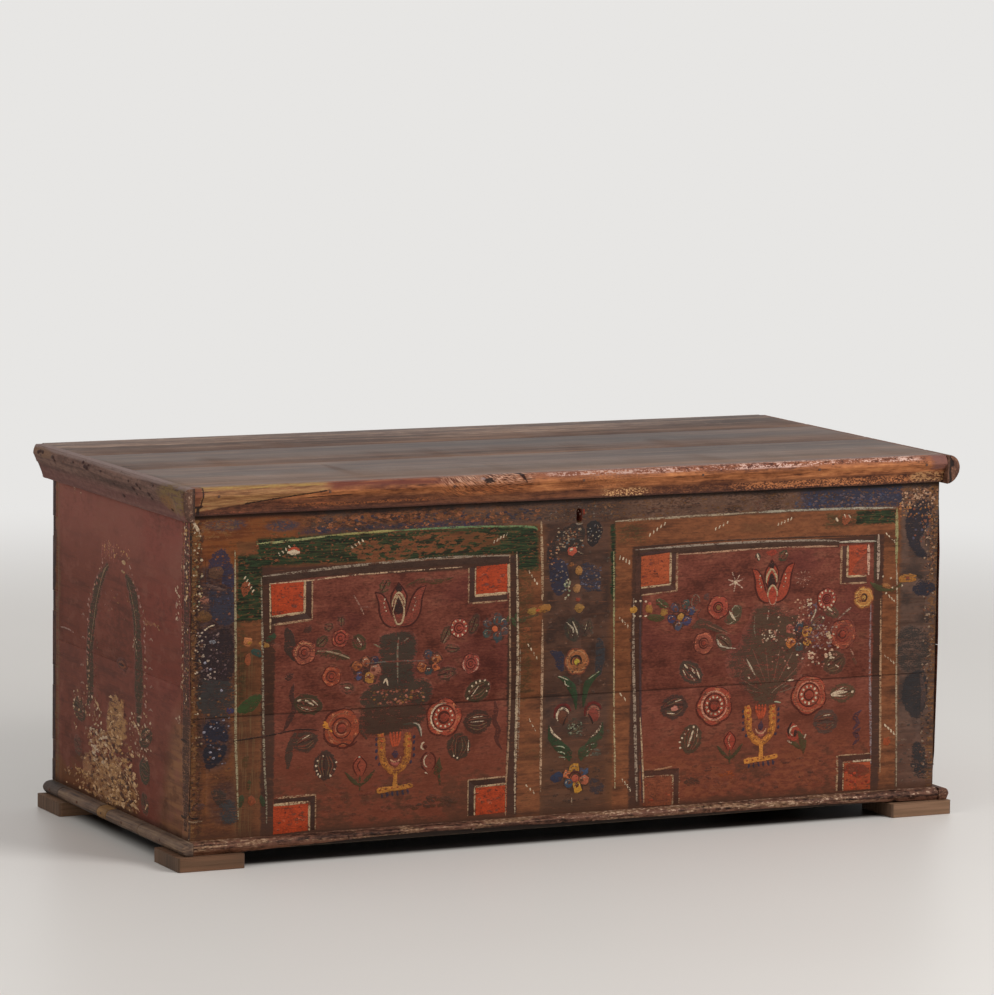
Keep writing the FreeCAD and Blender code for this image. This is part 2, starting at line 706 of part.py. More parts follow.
def hinge_parts(side):
    """A lid strap with two knuckles, a back strap with one, and their pin."""
    x = HINGE_X[side]
    third = STRAP_WIDTH / 3
    low = x - STRAP_WIDTH / 2
    stops = [low, low + third, low + 2 * third, low + STRAP_WIDTH]
    rings = {"back": [(stops[1] + KNUCKLE_SIDE_GAP / 2, stops[2] - KNUCKLE_SIDE_GAP / 2)]}
    rings["lid"] = [(stops[0], stops[1] - KNUCKLE_SIDE_GAP / 2), (stops[2] + KNUCKLE_SIDE_GAP / 2, stops[3])]
    under = RIM - STRAP_THICKNESS
    clear = KNUCKLE_RADIUS + 2 * KNUCKLE_GAP
    lid_leaf = strap_outline(
        lambda across, along: Vector(x + across, BACK_Y - along, under), LID_STRAP_LENGTH)
    lid_strap = lid_leaf.extrude(Vector(0, 0, STRAP_THICKNESS))
    face_z = HINGE_AXIS_Z - clear
    back_leaf = strap_outline(
        lambda across, along: Vector(x + across, BACK_Y, face_z - along), BACK_STRAP_LENGTH)
    back_strap = back_leaf.extrude(Vector(0, STRAP_THICKNESS, 0))
    bores = []
    for low_x, high_x in rings["lid"]:
        ring, bore = knuckle_ring(low_x, high_x)
        bridge = block(low_x, BACK_Y - OVERRUN, under, high_x, HINGE_AXIS_Y, RIM)
        lid_strap = lid_strap.fuse([ring, bridge])
        bores.append(bore)
    for low_x, high_x in rings["back"]:
        ring, bore = knuckle_ring(low_x, high_x)
        bridge = block(low_x, BACK_Y, face_z - OVERRUN, high_x, BACK_Y + STRAP_THICKNESS, HINGE_AXIS_Z)
        back_strap = back_strap.fuse([ring, bridge])
        bores.append(bore)
    pin_start = Vector(low - HINGE_PIN_END, HINGE_AXIS_Y, HINGE_AXIS_Z)
    pin = Part.makeCylinder(HINGE_PIN_RADIUS, STRAP_WIDTH + 2 * HINGE_PIN_END, pin_start, RIGHT)
    return {
        side + "_hinge_lid_strap": lid_strap.cut(bores).removeSplitter(),
        side + "_hinge_back_strap": back_strap.cut(bores).removeSplitter(),
        side + "_hinge_pin": pin,
    }


def guide_stops():
    """Where the two bolt guides start along X, measured from the bolt's tip."""
    first = BOLT_LENGTH * GUIDE_START_SHARE
    second = BOLT_LENGTH - GUIDE_LENGTH - STAPLE_CLEARANCE
    return (BOLT_TIP_X + first, BOLT_TIP_X + second)


def bolt_body(grow):
    half_y = BOLT_THICKNESS / 2 + grow
    half_z = BOLT_HEIGHT / 2 + grow
    high_x = BOLT_TIP_X + BOLT_LENGTH
    return block(BOLT_TIP_X, STAPLE_Y - half_y, BOLT_Z - half_z, high_x, STAPLE_Y + half_y, BOLT_Z + half_z)


def lock_plate():
    """The plate against the wood, with two bridges that guide the bolt."""
    half = LOCK_LENGTH / 2
    plate = block(KEY_X - half, FRONT_INNER_Y, LOCK_TOP - LOCK_HEIGHT, KEY_X + half, PLATE_FACE_Y, LOCK_TOP)
    reach_z = BOLT_HEIGHT / 2 + BOLT_CLEARANCE + GUIDE_WALL
    far_y = STAPLE_Y + BOLT_THICKNESS / 2 + BOLT_CLEARANCE + GUIDE_WALL
    for low_x in guide_stops():
        guide = block(low_x, PLATE_FACE_Y, BOLT_Z - reach_z, low_x + GUIDE_LENGTH, far_y, BOLT_Z + reach_z)
        plate = plate.fuse(guide.cut(bolt_body(BOLT_CLEARANCE)))
    plate = plate.cut(keyhole(FRONT_INNER_Y - OVERRUN, PLATE_FACE_Y + OVERRUN))
    return plate.removeSplitter()


def lock_case():
    """The box over the works, with side and lower flanges and a slot for the staple."""
    half = LOCK_LENGTH / 2
    wall = LOCK_CASE_WALL
    low_z = LOCK_TOP - LOCK_HEIGHT
    box_low_z = low_z + LOCK_FLANGE
    box_half = half - LOCK_FLANGE
    far_y = PLATE_FACE_Y + LOCK_CASE_DEPTH
    flange = block(KEY_X - half, PLATE_FACE_Y, low_z, KEY_X + half, PLATE_FACE_Y + wall, LOCK_TOP)
    box = block(KEY_X - box_half, PLATE_FACE_Y, box_low_z, KEY_X + box_half, far_y, LOCK_TOP)
    inner_half = box_half - wall
    low = (KEY_X - inner_half, PLATE_FACE_Y - OVERRUN, box_low_z + wall)
    high = (KEY_X + inner_half, far_y - wall, LOCK_TOP - wall)
    slot_x = STAPLE_THICKNESS / 2 + STAPLE_CLEARANCE
    slot_y = STAPLE_SPREAD / 2 + STAPLE_CLEARANCE
    slot_low = (KEY_X - slot_x, STAPLE_Y - slot_y, LOCK_TOP - wall - OVERRUN)
    slot_high = (KEY_X + slot_x, STAPLE_Y + slot_y, LOCK_TOP + OVERRUN)
    return box.fuse(flange).cut([block(*low, *high), block(*slot_low, *slot_high)]).removeSplitter()


def lock_bolt():
    """A flat bar with a talon below it for the key to push."""
    talon_x = guide_stops()[1] - BOLT_CLEARANCE - BOLT_TALON_LENGTH
    low_z = BOLT_Z - BOLT_HEIGHT / 2 - BOLT_TALON_DROP
    half_y = BOLT_THICKNESS / 2
    talon = block(
        talon_x, STAPLE_Y - half_y, low_z, talon_x + BOLT_TALON_LENGTH, STAPLE_Y + half_y, BOLT_Z)
    return bolt_body(0).fuse(talon).removeSplitter()


def lock_spring():
    """A leaf that leans from a stud by the end wall onto the top of the bolt."""
    inner_x = KEY_X + LOCK_LENGTH / 2 - LOCK_FLANGE - LOCK_CASE_WALL
    roof = LOCK_TOP - LOCK_CASE_WALL
    rest = BOLT_Z + BOLT_HEIGHT / 2 + BOLT_CLEARANCE
    guide_top = rest + GUIDE_WALL
    stud_low = guide_top + BOLT_CLEARANCE
    half_y = BOLT_THICKNESS / 2
    stud_x = inner_x - SPRING_STUD
    stud = block(stud_x, PLATE_FACE_Y, stud_low, inner_x, STAPLE_Y + half_y, roof)
    low_x = guide_stops()[0] + GUIDE_LENGTH + STAPLE_CLEARANCE
    knee_x = guide_stops()[1] - STAPLE_CLEARANCE
    thick = SPRING_THICKNESS
    low_y = STAPLE_Y - half_y
    points = [
        Vector(stud_x, low_y, stud_low),
        Vector(knee_x, low_y, stud_low),
        Vector(low_x, low_y, rest),
        Vector(low_x, low_y, rest + thick),
        Vector(knee_x, low_y, stud_low + thick),
        Vector(stud_x, low_y, stud_low + thick),
    ]
    return prism(points, Vector(0, BOLT_THICKNESS, 0)).fuse(stud).removeSplitter()


def lid_staple():
    """A plate under the lid with a loop that drops into the lock."""
    half = STAPLE_PLATE_LENGTH / 2
    half_y = STAPLE_SPREAD / 2 + STAPLE_CLEARANCE
    low = RIM - STAPLE_LENGTH
    plate = block(
        KEY_X - half, STAPLE_Y - half_y, RIM - STAPLE_PLATE_THICKNESS, KEY_X + half, STAPLE_Y + half_y, RIM)
    half_x = STAPLE_THICKNESS / 2
    outer = STAPLE_SPREAD / 2
    inner = outer - STAPLE_BAR
    loop = block(KEY_X - half_x, STAPLE_Y - outer, low, KEY_X + half_x, STAPLE_Y + outer, RIM)
    eye_top = BOLT_Z + BOLT_HEIGHT / 2 + STAPLE_CLEARANCE
    eye = block(
        KEY_X - OVERRUN, STAPLE_Y - inner, low + STAPLE_BAR, KEY_X + OVERRUN, STAPLE_Y + inner, eye_top)
    return plate.fuse(loop.cut(eye)).removeSplitter()


def sub_parts():
    parts = {}
    parts.update(front_boards())
    parts.update(back_boards())
    parts.update(end_boards())
    parts.update(bottom_boards())
    parts.update(base_mouldings())
    parts.update(feet())
    side, floor = till_boards()
    parts["till_side_board"] = side
    parts["till_floor_board"] = floor
    parts.update(lid_boards())
    parts.update(lid_mouldings())
    parts.update(hinge_parts("left"))
    parts.update(hinge_parts("right"))
    parts["lock_plate"] = lock_plate()
    parts["lock_case"] = lock_case()
    parts["lock_bolt"] = lock_bolt()
    parts["lock_spring"] = lock_spring()
    parts["lid_staple"] = lid_staple()
    parts = {name: nailed(shape) for name, shape in parts.items()}
    for name, nails in NAILS.items():
        parts[name] = Part.makeCompound([nail_solid(nail) for nail in nails])
    return parts


os.makedirs("parts", exist_ok=True)
for name, shape in sub_parts().items():
    shape.exportStep("parts/" + name + ".step")
    bounds = shape.BoundBox
    size = (bounds.XLength, bounds.YLength, bounds.ZLength)
    print(name, shape.isValid(), len(shape.Solids), [round(value, 1) for value in size])
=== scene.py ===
import math
import random

import bmesh
import bpy
from mathutils import Matrix, Vector, noise
from mathutils.geometry import tessellate_polygon


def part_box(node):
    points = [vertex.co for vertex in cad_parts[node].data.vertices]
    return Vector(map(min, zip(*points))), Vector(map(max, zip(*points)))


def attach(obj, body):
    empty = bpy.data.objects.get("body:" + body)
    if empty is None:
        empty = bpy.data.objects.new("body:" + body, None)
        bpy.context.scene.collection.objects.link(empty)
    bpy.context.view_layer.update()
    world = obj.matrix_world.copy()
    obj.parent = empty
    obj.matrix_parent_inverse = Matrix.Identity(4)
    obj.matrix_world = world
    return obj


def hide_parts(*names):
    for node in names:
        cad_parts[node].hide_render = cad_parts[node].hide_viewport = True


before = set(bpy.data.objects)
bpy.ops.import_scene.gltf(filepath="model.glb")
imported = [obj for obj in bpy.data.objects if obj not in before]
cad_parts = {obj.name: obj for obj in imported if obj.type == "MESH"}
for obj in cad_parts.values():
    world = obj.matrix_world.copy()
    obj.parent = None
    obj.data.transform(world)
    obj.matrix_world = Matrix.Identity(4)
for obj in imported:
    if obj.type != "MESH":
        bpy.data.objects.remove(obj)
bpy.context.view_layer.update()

MM = 0.001


# The studio: a pale floor without an edge, a large soft lamp from the front right
# and an even white surround. The camera stands where the photograph was taken.
CAMERA_PLACE = (-3.5655, -7.434, 1.507)
CAMERA_YAW = 0.4477
CAMERA_PITCH = 0.1233
CAMERA_ROLL = 0.0128
CAMERA_LENS = 194.74
CAMERA_SENSOR = 36
CAMERA_REACH = 60
LAMP_AIM = (0, 0, 0.3)
WINDOW_LAMP = {"place": (2.6, -4.0, 3.2), "width": 2.2, "power": 190}
LEFT_LAMP = {"place": (-4.6, -1.2, 2.0), "width": 2.4, "power": 42}
SURROUND_LIGHT = (1.0, 0.99, 0.975, 1)
SURROUND_STRENGTH = 0.5
SURROUND_SEEN = (0.80, 0.79, 0.775, 1)
FLOOR_WIDTH = 60.0
FLOOR_DROP = 0.0004
FLOOR_FADE_START = 1.5
FLOOR_FADE_END = 3.8

forward = Vector((
    math.sin(CAMERA_YAW) * math.cos(CAMERA_PITCH),
    math.cos(CAMERA_YAW) * math.cos(CAMERA_PITCH),
    -math.sin(CAMERA_PITCH),
))
level = Vector((math.cos(CAMERA_YAW), -math.sin(CAMERA_YAW), 0))
upright = level.cross(forward)
right = level * math.cos(CAMERA_ROLL) + upright * math.sin(CAMERA_ROLL)
upward = upright * math.cos(CAMERA_ROLL) - level * math.sin(CAMERA_ROLL)
camera_data = bpy.data.cameras.new("studio_camera")
camera_data.lens = CAMERA_LENS
camera_data.sensor_width = CAMERA_SENSOR
camera_data.clip_end = CAMERA_REACH
camera = bpy.data.objects.new("studio_camera", camera_data)
turn = Matrix((right, upward, -forward)).transposed().to_4x4()
camera.matrix_world = Matrix.Translation(CAMERA_PLACE) @ turn
bpy.context.scene.collection.objects.link(camera)
bpy.context.scene.camera = camera
bpy.context.scene.view_settings.view_transform = "Standard"


def soft_lamp(name, place, width, power):
    """A square lamp that faces the chest."""
    lamp = bpy.data.lights.new(name, "AREA")
    lamp.shape = "SQUARE"
    lamp.size = width
    lamp.energy = power
    thing = bpy.data.objects.new(name, lamp)
    thing.location = place
    thing.rotation_euler = (Vector(LAMP_AIM) - Vector(place)).to_track_quat("-Z", "Y").to_euler()
    bpy.context.scene.collection.objects.link(thing)


soft_lamp("window_lamp", **WINDOW_LAMP)
soft_lamp("left_fill_lamp", **LEFT_LAMP)


def linear(code):
    """A colour written as on paint charts, #rrggbb, in the shader's own scale."""
    channels = [int(code[place:place + 2], 16) / 255 for place in (1, 3, 5)]
    return tuple(c / 12.92 if c <= 0.04045 else ((c + 0.055) / 1.055) ** 2.4 for c in channels)


class Tone:
    """A number, colour or place inside a finish. Maths on numbers adds Math nodes."""

    def __init__(self, finish, socket):
        self.finish = finish
        self.socket = socket

    def maths(self, operation, first, second, clamp=False):
        settings = {"operation": operation, "use_clamp": clamp}
        return self.finish.node("Math", settings, {0: first, 1: second})

    def __add__(self, other):
        return self.maths("ADD", self, other)

    __radd__ = __add__

    def __sub__(self, other):
        return self.maths("SUBTRACT", self, other)

    def __rsub__(self, other):
        return self.maths("SUBTRACT", other, self)

    def __mul__(self, other):
        return self.maths("MULTIPLY", self, other)

    __rmul__ = __mul__

    def __truediv__(self, other):
        return self.maths("DIVIDE", self, other)

    def __abs__(self):
        return self.maths("ABSOLUTE", self, 0)

    def __pow__(self, other):
        return self.maths("POWER", self, other)

    def least(self, other):
        return self.maths("MINIMUM", self, other)

    def most(self, other):
        return self.maths("MAXIMUM", self, other)

    def wave(self):
        """Runs up and down between 0 and 1, once for each whole number."""
        return abs(self.maths("FRACT", self, 0) - 0.5) * 2

    def held(self):
        """Kept between 0 and 1."""
        return self.maths("ADD", self, 0, clamp=True)

    def rise(self, low, high):
        """0 below low, 1 above high and smooth between them. It falls where low is the higher."""
        settings = {"interpolation_type": "SMOOTHSTEP"}
        flip = low > high
        low, high = sorted((low, high))
        risen = self.finish.node("MapRange", settings, {"Value": self, "From Min": low, "From Max": high})
        return 1 - risen if flip else risen


class Finish:
    """One material. node adds any shader node, settings first, then sockets."""

    def __init__(self, name):
        self.material = bpy.data.materials.new(name)
        self.material.use_nodes = True
        self.tree = self.material.node_tree
        self.tree.nodes.clear()
        place = self.node("TexCoord", {}, {}, "Object")
        self.place = self.node("VectorMath", {"operation": "SCALE"}, {0: place, "Scale": 1 / MM})
        self.x, self.y, self.z = [self.node("SeparateXYZ", {}, {0: self.place}, axis) for axis in "XYZ"]

    def node(self, kind, settings, sockets, output=0):
        made = self.tree.nodes.new("ShaderNode" + kind)
        for key, value in settings.items():
            if key == "stops":
                while len(made.color_ramp.elements) < len(value):
                    made.color_ramp.elements.new(0.5)
                for stop, (share, code) in zip(made.color_ramp.elements, value):
                    stop.position = share
                    stop.color = (*linear(code), 1)
            else:
                setattr(made, key, value)
        for key, value in sockets.items():
            if isinstance(value, Tone):
                self.tree.links.new(value.socket, made.inputs[key])
            elif isinstance(value, str):
                made.inputs[key].default_value = (*linear(value), 1)
            else:
                made.inputs[key].default_value = value
        return Tone(self, made.outputs[output])

    def mix(self, first, second, share):
        """Colour: the first where share is 0, the second where it is 1."""
        return self.node("Mix", {"data_type": "RGBA"}, {0: share, 6: first, 7: second}, 2)

    def coats(self, colour, *coats):
        """Colour under further coats, each a colour and its share, the last on top."""
        for code, share in coats:
            colour = self.mix(colour, code, share)
        return colour

    def under(self, colour, varnish):
        """Colour seen through a tinted varnish: the two multiplied."""
        settings = {"data_type": "RGBA", "blend_type": "MULTIPLY"}
        return self.node("Mix", settings, {0: 1.0, 6: colour, 7: varnish}, 2)

    def shade(self, colour, strength):
        """Colour darkened or lightened by a number around 1."""
        grey = self.node("CombineXYZ", {}, {0: strength, 1: strength, 2: strength})
        return self.under(colour, grey)

    def ramp(self, value, stops):
        return self.node("ValToRGB", {"stops": stops}, {0: value})

    def cloud(self, size, seed, detail=3.0, rough=0.55):
        """Soft noise around 0.5, its lumps this long, in mm, along X, Y and Z."""
        spread = [1 / length for length in size]
        shift = (seed * 7.31, seed * 3.17, seed * 5.77)
        place = self.node("VectorMath", {"operation": "MULTIPLY_ADD"}, {0: self.place, 1: spread, 2: shift})
        sockets = {"Vector": place, "Scale": 1.0, "Detail": detail, "Roughness": rough}
        return self.node("TexNoise", {}, sockets)

    def surface(self, colour, roughness, height, depth=0.4, shine=0.5, metal=0.0):
        """Ends the finish: depth is how deep the height's whole range is, in mm."""
        bump = self.node("Bump", {}, {"Height": height, "Distance": depth * MM, "Strength": 1.0})
        sockets = {
            "Base Color": colour,
            "Roughness": roughness,
            "Normal": bump,
            "Specular IOR Level": shine,
            "Metallic": metal,
        }
        self.end(self.node("BsdfPrincipled", {}, sockets))
        return self.material

    def end(self, shader):
        out = self.tree.nodes.new("ShaderNodeOutputMaterial")
        self.tree.links.new(shader.socket, out.inputs["Surface"])


floor_mesh = bmesh.new()
bmesh.ops.create_grid(floor_mesh, x_segments=2, y_segments=2, size=FLOOR_WIDTH / 2)
floor_data = bpy.data.meshes.new("studio_floor")
floor_mesh.to_mesh(floor_data)
floor_mesh.free()
floor = bpy.data.objects.new("studio_floor", floor_data)
floor.location.z = -FLOOR_DROP
bpy.context.scene.collection.objects.link(floor)
floor_finish = Finish("pale_floor")
floor_tone = floor_finish.cloud((900, 900, 900), 2)
floor_colour = floor_finish.mix("#dfdad5", "#e5e1dc", floor_tone)
# Painted shadow: the floor is darkened to near black over the chest's footprint, so that the gap under the
# chest looks dark.
across_chest = abs(floor_finish.x).rise(640, 600)
behind_front = (floor_finish.y + 12).rise(-292, -262)
before_back = floor_finish.y.rise(290, 250)
painted_shadow_under_chest = (across_chest * behind_front * before_back).held()
floor_colour = floor_finish.mix(floor_colour, "#2a2320", painted_shadow_under_chest)
floor_sockets = {"Base Color": floor_colour, "Roughness": 0.42, "Specular IOR Level": 0.35}
floor_shader = floor_finish.node("BsdfPrincipled", {}, floor_sockets)
far_glow = floor_finish.node("Emission", {}, {"Color": SURROUND_SEEN, "Strength": 1.0})
away = (floor_finish.x * MM) ** 2 + (floor_finish.y * MM) ** 2
fade = away.rise(FLOOR_FADE_START ** 2, FLOOR_FADE_END ** 2)
floor_finish.end(floor_finish.node("MixShader", {}, {0: fade, 1: floor_shader, 2: far_glow}))
floor_data.materials.append(floor_finish.material)

world = bpy.data.worlds.new("studio_surround")
world.use_nodes = True
bpy.context.scene.world = world
surround = world.node_tree
lit = surround.nodes["Background"]
lit.inputs["Color"].default_value = SURROUND_LIGHT
lit.inputs["Strength"].default_value = SURROUND_STRENGTH
seen = surround.nodes.new("ShaderNodeBackground")
seen.inputs["Color"].default_value = SURROUND_SEEN
rays = surround.nodes.new("ShaderNodeLightPath")
seen_rays = rays.outputs["Is Camera Ray"]
for kind in ("Is Glossy Ray", "Is Transmission Ray"):
    either = surround.nodes.new("ShaderNodeMath")
    either.operation = "MAXIMUM"
    surround.links.new(seen_rays, either.inputs[0])
    surround.links.new(rays.outputs[kind], either.inputs[1])
    seen_rays = either.outputs[0]
chooser = surround.nodes.new("ShaderNodeMixShader")
surround.links.new(seen_rays, chooser.inputs[0])
surround.links.new(lit.outputs[0], chooser.inputs[1])
surround.links.new(seen.outputs[0], chooser.inputs[2])
surround.links.new(chooser.outputs[0], surround.nodes["World Output"].inputs["Surface"])


# Floor and till boards: hand-planed pine that was never painted. It has gone
# brown and dusty, and the arrises are rubbed round.
ARRIS = 0.8 * MM
ARRIS_STEP = 9 * MM
NAIL_HOLE_EDGE = 4 * MM
CORNER_ROUND = 2.6 * MM
SHARP_ANGLE = 32
RUB_SCALE = 45
NICK_SCALE = 120
ON_FACE, ON_ARRIS, ON_CORNER = 0, 1, 2
FACING = 0.7
SKIN_DEPTH = 4 * MM

body_low_x, body_front_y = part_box("bottom_board_front")[0].xy
body_high_x, body_back_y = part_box("bottom_board_back")[1].xy
wall_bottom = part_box("front_lower_board")[0].z


def is_sharp(edge):
    return edge.is_manifold and edge.calc_face_angle(0) > math.radians(SHARP_ANGLE)


def no_corner(middle):
    return False


def worn_copy(node, name, along, finishes, pick, arris=ARRIS, step=ARRIS_STEP, chip=1.0, seed=1,
              corner=no_corner):
    """A board with the CAD piece's shape, its arrises rubbed round and chipped.

    pick takes a face's middle, its normal and its kind, which is ON_FACE, ON_ARRIS or ON_CORNER,
    and returns the finish's number. corner says by its middle whether an edge is one of the
    chest's own corners, which are rounder. step is the spacing of the cuts along the board."""
    board = bmesh.new()
    board.from_mesh(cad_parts[node].data)
    bmesh.ops.remove_doubles(board, verts=board.verts, dist=1e-6)
    bmesh.ops.dissolve_limit(board, angle_limit=math.radians(0.5), verts=board.verts, edges=board.edges)
    for face in board.faces:
        face.material_index = ON_FACE
    for round_size, wanted in ((CORNER_ROUND, True), (arris, False)):
        sharp = [edge for edge in board.edges if is_sharp(edge)]
        small = {end for edge in sharp if edge.calc_length() < NAIL_HOLE_EDGE for end in edge.verts}
        chosen = []
        for edge in sharp:
            middle = (edge.verts[0].co + edge.verts[1].co) / 2
            worn = any(face.material_index for face in edge.link_faces)
            if corner(middle) == wanted and not worn and not small.intersection(edge.verts):
                chosen.append(edge)
        if not chosen:
            continue
        made = bmesh.ops.bevel(
            board, geom=chosen, offset=round_size, offset_type="OFFSET", segments=3 if wanted else 2,
            profile=0.55, affect="EDGES", clamp_overlap=True)
        for face in made["faces"]:
            face.material_index = ON_CORNER if wanted else ON_ARRIS
    low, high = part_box(node)
    axis = "XYZ".index(along)
    normal = Vector([float(place == axis) for place in range(3)])
    count = int((high[axis] - low[axis]) / step)
    for turn_number in range(1, count):
        point = low + normal * ((high[axis] - low[axis]) * turn_number / count)
        geometry = board.verts[:] + board.edges[:] + board.faces[:]
        bmesh.ops.bisect_plane(board, geom=geometry, dist=1e-7, plane_co=point, plane_no=normal)
    board.normal_update()
    moves = {}
    for end in board.verts:
        around = end.link_faces
        kind = max(face.material_index for face in around)
        if not kind:
            continue
        size = CORNER_ROUND * 0.55 if kind == ON_CORNER else arris
        rub = 0.5 + 0.5 * noise.noise(end.co * RUB_SCALE + Vector((seed, 0, 0)))
        nick = max(0.0, noise.noise(end.co * NICK_SCALE + Vector((0, seed, 3))) - 0.32) * 4 * chip
        move = -end.normal * size * (0.8 * rub + nick)
        for face in around:
            if not face.material_index:
                move -= face.normal * move.dot(face.normal)
        moves[end] = move
    for end, move in moves.items():
        end.co += move
    for face in board.faces:
        kind = face.material_index
        face.smooth = bool(kind)
        face.material_index = pick(face.calc_center_median(), face.normal, kind)
    return finished(board, name, finishes)


def finished(shape, name, finishes, crease=40):
    """The mesh as an object with its finishes, its edges past the crease angle left sharp."""
    data = bpy.data.meshes.new(name)
    shape.to_mesh(data)
    shape.free()
    for finish in finishes:
        data.materials.append(finish)
    data.set_sharp_from_angle(angle=math.radians(crease))
    thing = bpy.data.objects.new(name, data)
    bpy.context.scene.collection.objects.link(thing)
    return thing


def stand_for(piece, node, body):
    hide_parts(node)
    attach(piece, body)


def along_sizes(axis, length, across):
    """Lump sizes of a grain that runs along an axis."""
    return [length if name == axis else across for name in "XYZ"]


def pine_finish(name, axis, pale, middle, dark, seed, grime=0.5):
    """Plain-sawn pine: long bands of grain, fine fibres, knots and dirt."""
    finish = Finish(name)
    band = finish.cloud(along_sizes(axis, 900, 26), seed, 1.0)
    late = (band * 9).wave()
    fibre = finish.cloud(along_sizes(axis, 70, 1.3), seed + 1, 3.0)
    stain = finish.cloud(along_sizes(axis, 260, 120), seed + 2, 3.0)
    spread = [1 / size for size in along_sizes(axis, 240, 130)]
    place = finish.node("VectorMath", {"operation": "MULTIPLY"}, {0: finish.place, 1: spread})
    knot = finish.node("TexVoronoi", {}, {"Vector": place, "Scale": 1.0}, "Distance").rise(0.11, 0.05)
    colour = finish.mix(pale, middle, late.rise(0.1, 1.0) * 0.8)
    colour = finish.coats(
        colour,
        (dark, fibre.rise(0.5, 0.75) * 0.55),
        (dark, knot * 0.85),
        (dark, stain.rise(0.45, 0.75) * grime))
    height = late * 0.25 + fibre * 0.6 - knot * 0.2
    return finish.surface(colour, 0.62 + fibre * 0.25, height, depth=0.6, shine=0.3)


inner_pine_x = pine_finish("inner_pine_long", "X", "#8a6843", "#76552f", "#4d3722", 11)
inner_pine_y = pine_finish("inner_pine_cross", "Y", "#8a6843", "#76552f", "#4d3722", 14)
grey_pine_x = pine_finish("weathered_pine", "X", "#6f5f4e", "#5b4a39", "#3b2f25", 17, grime=0.7)
pine_end_grain = pine_finish("pine_end_grain", "Z", "#7d6040", "#5f4529", "#3b2a1b", 19, grime=0.8)

# Painted shade: the floor boards' long edges, seen in the gap under the base mouldings, are coloured near
# black.
bottom_edge = pine_finish("painted_shade_bottom_edge", "X", "#33251c", "#2a1d16", "#1c130f", 29, grime=0.8)


def pick_floor(middle, normal, kind):
    """0 the top, 1 the underside, 2 end grain, 3 the long edges under the mouldings, painted near black as
    shade.
    """
    if abs(normal.x) > FACING:
        return 2
    if abs(normal.y) > FACING:
        return 3
    return 0 if normal.z > 0 else 1


def pick_first(middle, normal, kind):
    return 0


for node in ("bottom_board_front", "bottom_board_middle", "bottom_board_back"):
    board = worn_copy(node, "pine_" + node, "X",
            [inner_pine_x, grey_pine_x, pine_end_grain, bottom_edge], pick_floor, seed=5)
    stand_for(board, node, "body")
for node in ("till_side_board", "till_floor_board"):
    board = worn_copy(node, "pine_" + node, "Y", [inner_pine_y], pick_first, arris=1.3 * MM, seed=7)
    stand_for(board, node, "body")


# End walls: two boards each, painted a dull red-brown that is scraped to the wood
# in places. Their pins show at the corners between the tails of the long walls.
THROUGH = 400
END_VARNISH = "#fbe9dc"


